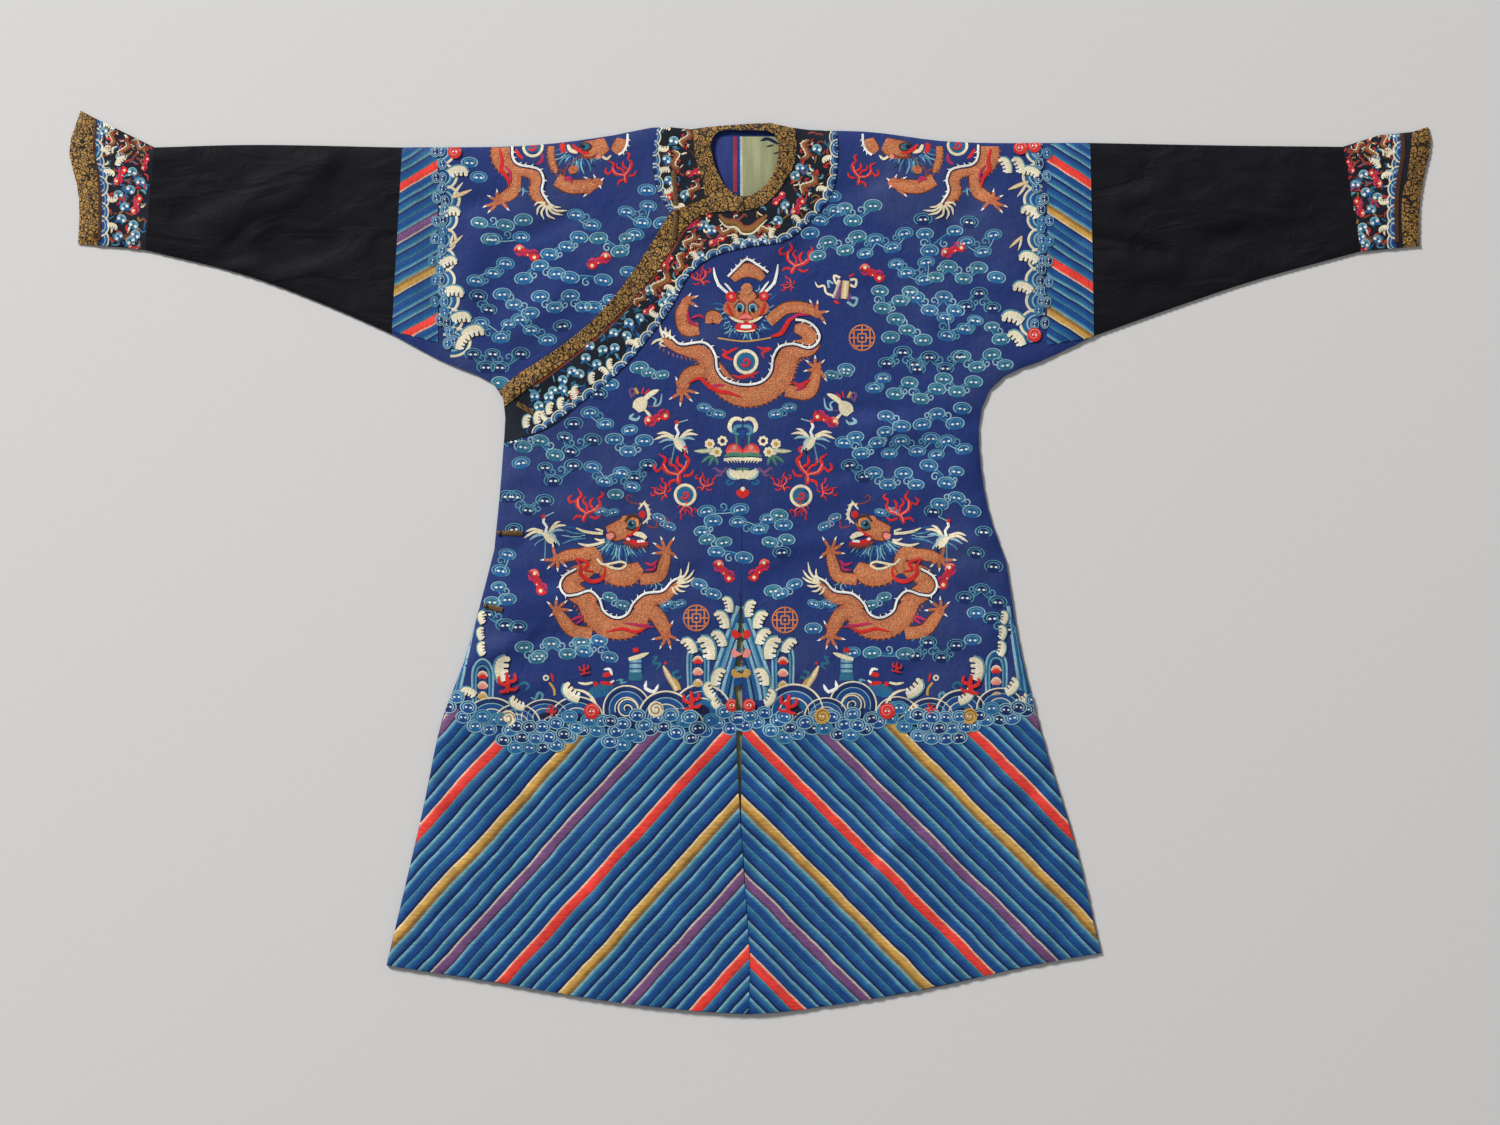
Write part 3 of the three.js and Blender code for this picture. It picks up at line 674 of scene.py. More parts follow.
def flow(places, step):
    """Points about one step apart on a smooth curve through the places."""
    if len(places) == 2:
        count = max(1, round((places[1] - places[0]).length / step))
        return [places[0].lerp(places[1], k / count) for k in range(count + 1)]
    count = len(places)
    curve = []
    for i in range(count - 1):
        b, c = places[i], places[i + 1]
        a = places[i - 1] if i else b + (b - c)
        d = places[i + 2] if i + 2 < count else c + (c - b)
        parts = max(1, round((c - b).length / step))
        for k in range(parts):
            t = k / parts
            pull = (c - a) * t + (2 * a - 5 * b + 4 * c - d) * t**2 + (3 * b - a - 3 * c + d) * t**3
            curve.append(b + 0.5 * pull)
    curve.append(places[-1].copy())
    return curve


# The height of a strip's dome, and the length of one of its steps.
RELIEF = 0.5 * MM
STITCH_RUN = 5 * MM
# The last radius of a spiral, as a share of its first.
WHORL_HEART = 0.15


class Motif:
    """Stitched shapes on a flat ground: strips, discs and rings, each with its threads."""

    def __init__(self):
        self.bm = bmesh.new()
        self.tint = self.bm.verts.layers.float_color.new("thread")
        self.stitch = self.bm.verts.layers.float_vector.new("stitch")

    def strip(self, route, width, *tints, ends=(1, 1), taper=0.35, base=0.0, rise=RELIEF, run=STITCH_RUN):
        """A ribbon of stitches along a route, domed across. The tints run from its left to its right edge."""
        line = flow(route, run)
        count = len(line) - 1
        names = tints if len(tints) > 1 else tints * 3
        shades = [thread(name) for name in names]
        lanes = max(2, len(shades) - 1)
        if len(shades) == 2:
            shades = [shades[0], tuple(sum(pair) / 2 for pair in zip(*shades)), shades[1]]
        sides = []
        for i in range(count + 1):
            ahead = line[min(count, i + 1)] - line[max(0, i - 1)]
            sides.append(Vector((-ahead.y, ahead.x)).normalized())
        made = bmesh.ops.create_grid(self.bm, x_segments=count, y_segments=lanes, size=1)["verts"]
        for v in made:
            share = (v.co.x + 1) / 2
            aside = v.co.y
            i = round(share * count)
            opening = ends[0] + (1 - ends[0]) * math.sin(math.pi / 2 * min(1, share / taper))
            closing = ends[1] + (1 - ends[1]) * math.sin(math.pi / 2 * min(1, (1 - share) / taper))
            half = width / 2 * opening * closing
            place = line[i] + sides[i] * (half * aside)
            v.co = (place.x, place.y, base + rise * (0.2 + (1 - aside * aside) * opening * closing))
            v[self.tint] = shades[round((1 - aside) / 2 * lanes)]
            v[self.stitch] = (share * count * run, half * aside, 0)
        return self

    def disc(self, centre, radius, tint, base=0.0, rise=RELIEF, sides=12):
        """A round of satin stitch, higher in the middle."""
        made = bmesh.ops.create_circle(self.bm, cap_ends=True, cap_tris=True, segments=sides, radius=radius)
        shade = thread(tint)
        for v in made["verts"]:
            inside = v.co.length < radius / 2
            v[self.stitch] = (v.co.x, v.co.y, 0)
            v[self.tint] = shade
            v.co = (centre.x + v.co.x, centre.y + v.co.y, base + rise * (1.2 if inside else 0.3))
        return self

    def ring(self, centre, radius, width, *tints, start=0, end=360, base=0.0, rise=RELIEF, run=4 * MM):
        """A ring, or an arc of it, of narrow stitches."""
        count = max(5, round(radius * math.radians(end - start) / run))
        turns = [math.radians(start + (end - start) * k / count) for k in range(count + 1)]
        line = [centre + radius * Vector((math.cos(turn), math.sin(turn))) for turn in turns]
        length = (line[1] - line[0]).length
        return self.strip(line, width, *tints, base=base, rise=rise, run=length * 1.01)

    def whorl(self, centre, radius, width, tint, turns, start=0, base=0.0):
        """A spiral from its rim to its middle."""
        count = round(turns * 14)
        line = []
        for k in range(count + 1):
            share = k / count
            angle = math.radians(start) + share * turns * 2 * math.pi
            reach = radius * (1 - share * (1 - WHORL_HEART))
            line.append(centre + reach * Vector((math.cos(angle), math.sin(angle))))
        return self.strip(line, width, tint, ends=(1, 0.5), base=base, run=radius)

    def mesh(self):
        mesh = bpy.data.meshes.new("motif")
        self.bm.to_mesh(mesh)
        self.bm.free()
        return mesh


class Needlework:
    """A piece of embroidery: motifs are stamped on it flat, and settle() lays it on the cloth."""

    def __init__(self):
        self.bm = bmesh.new()
        self.bm.verts.layers.float_color.new("thread")
        self.bm.verts.layers.float_vector.new("stitch")

    def stamp(self, mesh, at=Vector((0, 0)), turn=0.0, size=1.0, mirror=False, base=0.0):
        """Adds a copy of a motif's mesh, turned, sized and mirrored about its own middle, at a height."""
        copy = mesh.copy()
        turned = Matrix.Rotation(math.radians(turn), 4, "Z")
        sized = Matrix.Diagonal((-size if mirror else size, size, 1, 1))
        copy.transform(Matrix.Translation((at.x, at.y, base)) @ turned @ sized)
        if mirror:
            copy.flip_normals()
        self.bm.from_mesh(copy)
        bpy.data.meshes.remove(copy)

    def stamp_pair(self, mesh, column, base=0.0, lift=0.0):
        """Adds a mesh, and its reflection about a column of the photograph, higher by a lift."""
        self.stamp(mesh, base=base)
        self.stamp(mesh, at=Vector((2 * spot(column, 0).x, 0)), mirror=True, base=base + lift)

    def reflect(self, column, drop):
        """Reflects the whole piece about a column of the photograph and lowers it by some rows."""
        over = Matrix.Translation((2 * spot(column, 0).x, -drop * PIXEL, 0)) @ Matrix.Diagonal((-1, 1, 1, 1))
        bmesh.ops.transform(self.bm, matrix=over, verts=self.bm.verts)
        bmesh.ops.reverse_faces(self.bm, faces=self.bm.faces)

    def settle(self, ground, name, slot="robe_silk", finish="floss"):
        """Lays the motifs on the cloth and makes the piece."""
        lost = []
        for v in self.bm.verts:
            height = height_on(ground, v.co.x, v.co.y)
            if height is None:
                lost.append(v)
            else:
                v.co.z += height
        for v in lost:
            near = ground.find_nearest(Vector((v.co.x, v.co.y, 0.01)))[0]
            v.co = Vector((near.x, near.y, near.z + v.co.z))
        for mesh in [mesh for mesh in bpy.data.meshes if mesh.name.startswith("motif") and not mesh.users]:
            bpy.data.meshes.remove(mesh)
        return piece_from(self.bm, name, finish, slot)


def settled(motif, ground, name, slot="robe_silk"):
    """A piece of embroidery from one motif."""
    work = Needlework()
    work.stamp(motif.mesh())
    return work.settle(ground, name, slot)


FRONTS = ("left_front", "left_front_lap", "right_front")
FACINGS = ("front_facing", "shoulder_facing")
BANDS = ("front_edge_band", "left_neck_band", "right_neck_band")
GROUNDS = {}


def body_ground():
    """The blue silk of the fronts."""
    if "body" not in GROUNDS:
        GROUNDS["body"] = ground_of(*FRONTS)
    return GROUNDS["body"]


# The stage: half the floor's side and its drop under the robe, the lamp, and the camera's sensor.
FLOOR_HALF = 9
FLOOR_DROP = 0.2 * MM
LAMP_SIZE = 4.0
LAMP_PLACE = (-9.8, 10.9, 9.6)
SENSOR = 36.0


class ROBE_OT_stage(Operator):
    """Makes the floor, the soft lights and the camera straight above the robe"""

    bl_idname = "robe.stage"
    bl_label = "Stage"

    def execute(self, context):
        stage = context.scene.robe_stage
        bm = bmesh.new()
        bmesh.ops.create_grid(bm, x_segments=4, y_segments=4, size=FLOOR_HALF)
        bmesh.ops.translate(bm, verts=bm.verts, vec=(0, 0, -FLOOR_DROP))
        mesh = bpy.data.meshes.new("floor")
        bm.to_mesh(mesh)
        bm.free()
        mesh.materials.append(finish_named("paper"))
        floor = bpy.data.objects.new("floor", mesh)
        context.scene.collection.objects.link(floor)

        world = bpy.data.worlds.new("studio")
        world.use_nodes = True
        background = world.node_tree.nodes["Background"]
        background.inputs["Color"].default_value = (1, 1, 1, 1)
        background.inputs["Strength"].default_value = stage.sky
        context.scene.world = world

        lamp = bpy.data.lights.new("key", "AREA")
        lamp.size = LAMP_SIZE
        lamp.energy = stage.key_power
        key = bpy.data.objects.new("key", lamp)
        key.location = LAMP_PLACE
        key.rotation_euler = (-key.location).to_track_quat("-Z", "Y").to_euler()
        context.scene.collection.objects.link(key)

        lens = bpy.data.cameras.new("camera")
        lens.sensor_width = SENSOR
        lens.lens = lens.sensor_width * stage.camera_height / (PHOTO_WIDE * PIXEL)
        camera = bpy.data.objects.new("camera", lens)
        camera.location = (0, 0, stage.camera_height)
        context.scene.collection.objects.link(camera)
        context.scene.camera = camera
        context.scene.view_settings.view_transform = "Standard"
        return {"FINISHED"}


class ROBE_OT_panels(Operator):
    """Lays the back panels, the right front and the two halves of the left front"""

    bl_idname = "robe.panels"
    bl_label = "Panels"

    def execute(self, context):
        for side in ("left", "right"):
            lay_flat(f"back_{side}", f"back_{side}_silk", "blue_silk", "robe_silk", ["floor"])
        silk = {"finish": "blue_silk", "slot": "robe_silk", "wall": PANEL_WALL, "level": ON_PANEL}
        lay_cloth("front_right", "right_front", rests_on=["back_right"], **silk)
        lay_cloth("front_left", "left_front", laps=True, rests_on=["back_left"], **silk)
        lay_cloth("front_left_lap", "left_front_lap", laps=True, rests_on=["front_right"], **silk)
        return {"FINISHED"}


class ROBE_OT_sleeves(Operator):
    """Lays the black sleeves, the cuffs and their brocade bands"""

    bl_idname = "robe.sleeves"
    bl_label = "Sleeves and cuffs"

    def execute(self, context):
        for side in ("left", "right"):
            lay_tube(f"sleeve_{side}", f"{side}_sleeve", "black_silk", "sleeve_silk", ["floor"])
            lay_tube(f"cuff_{side}", f"{side}_cuff", "black_satin", "embroidered_black", ["floor"])
            lay_tube(f"cuff_band_{side}", f"{side}_cuff_band", "brocade", "gold_brocade", ["floor"])
        return {"FINISHED"}


class ROBE_OT_facings(Operator):
    """Lays the curved facings of the neck and the front edge"""

    bl_idname = "robe.facings"
    bl_label = "Facings"

    def execute(self, context):
        satin = {
            "finish": "black_satin",
            "slot": "embroidered_black",
            "wall": FACING_WALL,
            "level": 2 * ON_PANEL,
        }
        lay_cloth("facing_front", "front_facing", laps=True, rests_on=["front_left"], turn=50, **satin)
        lay_cloth("facing_shoulder", "shoulder_facing", rests_on=["front_right"], **satin)
        return {"FINISHED"}


class ROBE_OT_bands(Operator):
    """Lays the brocade bands of the neck and the front edge"""

    bl_idname = "robe.bands"
    bl_label = "Bands"

    def execute(self, context):
        gold = {
            "finish": "brocade",
            "slot": "gold_brocade",
            "wall": BAND_WALL,
            "level": 2 * ON_PANEL + ON_FACING,
            "strip": BAND_WIDE,
        }
        lay_cloth("neck_band_left", "left_neck_band", laps=True, rests_on=["facing_front"], **gold)
        lay_cloth("lapel_band", "front_edge_band", laps=True, rests_on=["facing_front"], **gold)
        lay_cloth("neck_band_right", "right_neck_band", rests_on=["facing_shoulder"], **gold)
        return {"FINISHED"}


class ROBE_OT_linings(Operator):
    """Lays the linings that show in the neck and in the front slit"""

    bl_idname = "robe.linings"
    bl_label = "Linings"

    def execute(self, context):
        lay_flat("lining_neck_right", "blue_neck_lining", "blue_lining", "lining_blue", ["back_right"])
        lay_flat("lining_neck_left", "green_neck_lining", "green_lining", "lining_green", ["back_left"])
        lay_flat("lining_slit", "slit_lining", "green_lining", "lining_green", ["back_left"])
        return {"FINISHED"}


class Stroke(NamedTuple):
    """A stitched line, or a round where it has one place. Widths are in columns of the photograph."""

    threads: str
    wide: float
    route: tuple
    level: float = 0
    ends: tuple = (1, 1)
    taper: float = 0.4
    thorn: float = 0
    pitch: float = 8


# Height between two levels of stitching.
LEVEL = 0.35 * MM


def enlarged(left, top, scale):
    """Places on the robe from an enlargement of the photograph that starts at a column and a row."""

    def place(across, down):
        return spot(left + across / scale, top + down / scale)

    return place


def local(across, up):
    """A place beside a small motif's own middle, in columns of the photograph."""
    return PIXEL * Vector((across, up))


# The enlargement on which the lower dragon and the objects of the border are drawn.
LOWER_VIEW = enlarged(left=470, top=490, scale=5.407)


def sew_thorns(motif, route, stroke, tint, base):
    """Short spikes along the left edge of a line, or along its right edge where the thorn is negative."""
    side = math.copysign(1, stroke.thorn)
    line = flow(route, stroke.pitch * PIXEL)
    for before, here, after in zip(line, line[1:], line[2:]):
        ahead = (after - before).normalized()
        aside = Vector((-ahead.y, ahead.x)) * side
        foot = here + aside * (stroke.wide / 2 - 0.4) * PIXEL
        tip = foot + (aside + 0.5 * ahead) * abs(stroke.thorn) * PIXEL
        motif.strip([foot, tip], 1.7 * PIXEL, tint, ends=(1, 0.15), base=base, rise=0.25 * MM)


def stitched(strokes, place=local, motif=None):
    """A motif from a table of strokes."""
    motif = motif or Motif()
    for stroke in strokes:
        base = stroke.level * LEVEL
        tints = stroke.threads.split()
        route = [place(*pair) for pair in stroke.route]
        if len(route) == 1:
            motif.disc(route[0], stroke.wide / 2 * PIXEL, tints[0], base=base, rise=0.25 * MM, sides=10)
            continue
        shape = {"ends": stroke.ends, "taper": stroke.taper, "base": base, "rise": 0.3 * MM, "run": 3.5 * MM}
        motif.strip(route, stroke.wide * PIXEL, *tints, **shape)
        if stroke.thorn:
            sew_thorns(motif, route, stroke, tints[-1] if stroke.wide > 6 else tints[0], base)
    return motif


class Limb(NamedTuple):
    """A dragon's limb from its trunk to its paw, and the tips of its toes."""

    route: tuple
    wide: float
    toes: tuple


class Mane(NamedTuple):
    """Wavy strands that fan around a middle, between two reaches and two angles in degrees."""

    middle: tuple
    inner: float
    outer: float
    start: float
    end: float
    count: int = 24


class Dragon(NamedTuple):
    """A dragon in places of one enlargement: couched trunk and limbs, then its lines and mane."""

    place: object
    trunk: tuple
    limbs: tuple
    lines: tuple
    manes: tuple


SCALES = "orange amber orange"
# How much wider than a form its dark edge is, in columns of the photograph.
SHADOW = 2.4
MANE_THREADS = ("azure", "aqua", "blue", "mist", "deep")


def sew_mane(motif, mane, place):
    middle = place(*mane.middle)
    for k in range(mane.count):
        angle = math.radians(mane.start + (mane.end - mane.start) * (k + 0.5) / mane.count)
        out = Vector((math.cos(angle), math.sin(angle)))
        side = Vector((-out.y, out.x)) * (1.6 if k % 2 else -1.6) * PIXEL
        reach = mane.outer - 3 * (k % 3)
        line = [middle + out * share * PIXEL for share in (mane.inner, (mane.inner + reach) / 2, reach)]
        line[1] += side
        tint = MANE_THREADS[k % len(MANE_THREADS)]
        motif.strip(line, 1.5 * PIXEL, tint, ends=(1, 0.3), base=0.1 * MM, rise=0.3 * MM, run=3.5 * MM)


def sew_dragon(dragon, scales, lines, mirror=None):
    """A dragon on two pieces of needlework, and its reflection about a column where mirror names one."""
    place = dragon.place
    trunk = Motif()
    detail = Motif()
    limbs = [Stroke(SCALES, limb.wide, limb.route, 1, (1, 0.6)) for limb in dragon.limbs]
    paws = [Stroke("orange", limb.wide * 0.75, (limb.route[-1],), 1.4) for limb in dragon.limbs]
    forms = [*limbs, *dragon.trunk]
    long_forms = [form for form in forms if len(form.route) > 1]
    shade = {"threads": "brown", "level": 0, "thorn": 0}
    stitched([form._replace(wide=form.wide + SHADOW, **shade) for form in long_forms], place, trunk)
    stitched([*forms, *paws], place, trunk)
    for mane in dragon.manes:
        sew_mane(detail, mane, place)
    stitched(dragon.lines, place, detail)
    for limb in dragon.limbs:
        paw = place(*limb.route[-1])
        for toe in limb.toes:
            tip = place(*toe)
            onward = (tip - paw).normalized()
            bend = paw.lerp(tip, 0.5) + 0.8 * PIXEL * Vector((-onward.y, onward.x))
            shape = {"ends": (1, 0.7), "base": 0.4 * MM, "rise": 0.3 * MM, "run": 3 * MM}
            trunk.strip([paw, bend, tip], 3.0 * PIXEL, "orange", **shape)
            claw = [tip - onward * PIXEL, tip + 2.6 * PIXEL * onward]
            detail.strip(claw, 2.0 * PIXEL, "white", ends=(1, 0.3), base=0.9 * MM, rise=0.2 * MM)
    for work, motif in ((scales, trunk), (lines, detail)):
        if mirror is None:
            work.stamp(motif.mesh())
        else:
            work.stamp_pair(motif.mesh(), mirror)


def pearl(across, down, radius):
    """A flaming pearl: a pale ring round a dark disc with a red comma."""
    middle = spot(across, down)
    motif = Motif()
    motif.disc(middle, radius * PIXEL, "teal", base=0.1 * MM, rise=0.2 * MM, sides=20)
    motif.disc(middle, 0.55 * radius * PIXEL, "azure", base=0.3 * MM, rise=0.2 * MM, sides=16)
    motif.ring(middle, 0.90 * radius * PIXEL, 0.26 * radius * PIXEL, "cream", base=0.35 * MM)
    comma = {"turns": 1.1, "start": 200, "base": 0.7 * MM}
    motif.whorl(middle, 0.42 * radius * PIXEL, 0.2 * radius * PIXEL, "red", **comma)
    return motif.mesh()


CHEST_SPINE = (
    (262, 590), (340, 640), (400, 682), (530, 668), (592, 700), (625, 765), (635, 845), (682, 908),
    (765, 940), (850, 945), (932, 922), (985, 860), (1000, 770), (1042, 700), (1130, 680), (1235, 705),
    (1292, 668), (1300, 615), (1258, 555), (1200, 528), (1145, 522),
)
CHEST_RIDGE = ((705, 240), (765, 180), (828, 128), (900, 165), (968, 212))
CHEST_DRAGON = Dragon(
    place=enlarged(left=620, top=240, scale=6.533),
    trunk=(
        Stroke(
            SCALES, 15, ((270, 640), (340, 690), (440, 722), (540, 745), (610, 830)), 1, (0.25, 1), 0.9, -3,
            4,
        ),
        Stroke(
            SCALES, 22,
            (
                (545, 745), (615, 860), (700, 965), (820, 1018), (950, 988), (1050, 900), (1085, 800),
                (1130, 728), (1230, 695),
            ),
            1.3, (0.7, 0.7), 0.3, -2.6, 4,
        ),
        Stroke(
            SCALES, 18, ((1150, 745), (1230, 700), (1252, 640), (1215, 592), (1140, 580)), 1.6, (0.5, 0.4),
        ),
        Stroke(SCALES, 13, ((735, 262), (780, 215), (835, 198), (890, 215), (935, 255)), 1, (0.5, 0.5)),
        Stroke(SCALES, 13, ((560, 545), (605, 505), (660, 530)), 1, (0.1, 0.5), 0.5),
        Stroke(SCALES, 34, ((822, 335), (822, 440), (822, 555)), 1.6, (0.4, 0.4), 0.5),
        Stroke("amber", 12, ((828, 322),), 3),
        Stroke("orange", 15, ((722, 445),), 1.8),
        Stroke("orange", 15, ((926, 445),), 1.8),
    ),
    limbs=(
        Limb(((515, 580), (430, 585), (402, 490), (430, 405)), 12, ((455, 362), (497, 372), (495, 432))),
        Limb(
            ((970, 535), (1080, 450), (1200, 445), (1290, 485)), 11,
            ((1245, 405), (1290, 410), (1350, 470), (1335, 540)),
        ),
        Limb(
            ((590, 850), (455, 880), (400, 985)), 13,
            ((370, 910), (335, 1035), (395, 1072), (462, 1045), (500, 1000)),
        ),
        Limb(
            ((1080, 985), (1225, 1000), (1275, 900), (1285, 835)), 12,
            ((1225, 795), (1275, 770), (1325, 795), (1342, 910), (1215, 855)),
        ),
    ),
    lines=(
        # The navy strips under the white spine and ridge are painted shadow: a dark edge on both sides of
        # each.
        Stroke("navy", 5, CHEST_SPINE, 2.6),
        Stroke("white", 2.3, CHEST_SPINE, 3.2, thorn=3, pitch=9),
        Stroke("navy", 4, CHEST_RIDGE, 2.6),
        Stroke("white", 2.3, CHEST_RIDGE, 3.2, thorn=2.6, pitch=6),
        Stroke("cream", 2.2, ((285, 640), (268, 600), (262, 555)), 3.4, (1, 0.2)),
        Stroke("cream", 2.2, ((305, 640), (298, 610), (298, 570)), 3.4, (1, 0.2)),
        Stroke("cream", 2.2, ((330, 650), (325, 620), (330, 585)), 3.4, (1, 0.2)),
        Stroke("cream", 2.4, ((275, 650), (235, 660), (205, 685)), 3.4, (1, 0.2)),
        Stroke("cream", 2.2, ((285, 660), (260, 680), (300, 700)), 3.4, (1, 0.2)),
        Stroke("white", 2.8, ((708, 352), (650, 300), (622, 240), (612, 182)), 3.4, (1, 0.4)),
        Stroke("white", 2.2, ((738, 348), (700, 300), (682, 285)), 3.4, (1, 0.4)),
        Stroke("white", 2.0, ((660, 310), (640, 300), (632, 285)), 3.4, (1, 0.3)),
        Stroke("white", 2.8, ((940, 350), (1000, 290), (1022, 230), (1032, 160)), 3.4, (1, 0.4)),
        Stroke("white", 2.2, ((918, 345), (950, 300), (972, 272)), 3.4, (1, 0.4)),
        Stroke("white", 2.0, ((985, 305), (1010, 285), (1020, 262)), 3.4, (1, 0.3)),
        Stroke("red", 11, ((726, 372),), 4.2),
        Stroke("red", 10, ((940, 368),), 4.2),
        Stroke("pink", 4, ((726, 372),), 5),
        Stroke("pink", 4, ((940, 368),), 5),
        Stroke("brown", 1.6, ((780, 345), (760, 365), (778, 385)), 4),
        Stroke("brown", 1.6, ((880, 345), (905, 360), (885, 382)), 4),
        Stroke("rust", 2.2, ((748, 440), (780, 400), (815, 425)), 4.2),
        Stroke("rust", 2.2, ((838, 425), (868, 402), (905, 440)), 4.2),
        Stroke("brown", 1.4, ((815, 425), (812, 470), (800, 495)), 4),
        Stroke("brown", 1.4, ((838, 425), (842, 470), (855, 495)), 4),
        Stroke("mist", 9, ((784, 442),), 4.2),
        Stroke("mist", 9, ((866, 446),), 4.2),
        Stroke("teal", 6, ((782, 440),), 4.8),
        Stroke("teal", 6, ((866, 444),), 4.8),
        Stroke("black", 4.6, ((780, 457),), 5.4),
        Stroke("black", 4.6, ((868, 460),), 5.4),
        Stroke("red", 2.8, ((700, 410), (715, 460), (745, 500)), 4, (0.4, 0.4)),
        Stroke("red", 2.8, ((948, 410), (932, 460), (905, 500)), 4, (0.4, 0.4)),
        Stroke("red pink red", 6.4, ((782, 512), (822, 498), (862, 514)), 4.4, (0.5, 0.5)),
        Stroke("cream", 2.4, ((712, 500), (760, 528), (805, 538)), 4.4, (0.3, 1)),
        Stroke("cream", 2.4, ((932, 500), (885, 528), (842, 538)), 4.4, (0.3, 1)),
        Stroke("red", 8.4, ((752, 578), (822, 562), (890, 578)), 4, (0.5, 0.5), thorn=-2, pitch=3),
        Stroke("white", 3.6, ((790, 568), (858, 568)), 5, (0.8, 0.8)),
        Stroke("cream", 1.4, ((762, 592), (822, 600), (882, 592)), 5),
        Stroke("gold", 1.5, ((640, 642), (740, 658), (820, 664), (900, 655), (985, 640)), 1),
        Stroke(
            "red", 4.6, ((985, 632), (1050, 612), (1085, 560), (1108, 525), (1160, 495)), 3.4, (0.3, 0.3),
        ),
        Stroke("magenta", 3.0, ((1085, 545), (1160, 492), (1238, 490)), 3.4, (0.4, 0.3)),
        Stroke("magenta", 3.0, ((440, 455), (450, 520), (485, 552), (515, 560)), 3.4, (0.3, 0.4)),
        Stroke("magenta", 2.6, ((462, 512), (520, 495), (552, 515)), 3.4, (0.4, 0.3)),
        Stroke(
            "red", 4.2, ((450, 935), (520, 905), (580, 955), (650, 988), (720, 1002), (798, 1030)), 3.4,
            (0.3, 0.2),
        ),
        Stroke("magenta", 2.8, ((575, 975), (625, 950), (692, 950)), 3.4, (0.4, 0.2)),
        Stroke("red", 3.6, ((1128, 925), (1175, 950), (1245, 912)), 3.4, (0.3, 0.2)),
        Stroke("magenta", 2.6, ((1145, 985), (1195, 960), (1215, 940)), 3.4, (0.3, 0.2)),
        Stroke("red", 3.0, ((668, 715), (700, 740), (672, 755), (735, 785)), 0.5, (0.3, 0.6)),
        Stroke("red", 2.6, ((700, 740), (740, 718), (772, 706)), 0.5, (0.8, 0.2)),
        Stroke("red", 3.0, ((895, 695), (925, 712), (980, 712), (930, 740), (945, 775)), 0.5, (0.4, 0.2)),
        Stroke("red", 3.0, ((730, 882), (790, 900), (850, 885), (910, 862)), 0.5, (0.2, 0.2)),
        Stroke("red", 2.4, ((760, 905), (820, 885), (880, 900)), 0.7, (0.2, 0.2)),
    ),
    manes=(
        Mane((822, 450), 20, 33, 22, 62, 9),
        Mane((822, 450), 21, 34, -42, 10, 9),
        Mane((822, 450), 21, 34, 170, 222, 9),
        Mane((822, 470), 20, 31, 212, 328, 30),
        Mane((520, 640), 4, 12, 200, 330, 8),
    ),
)

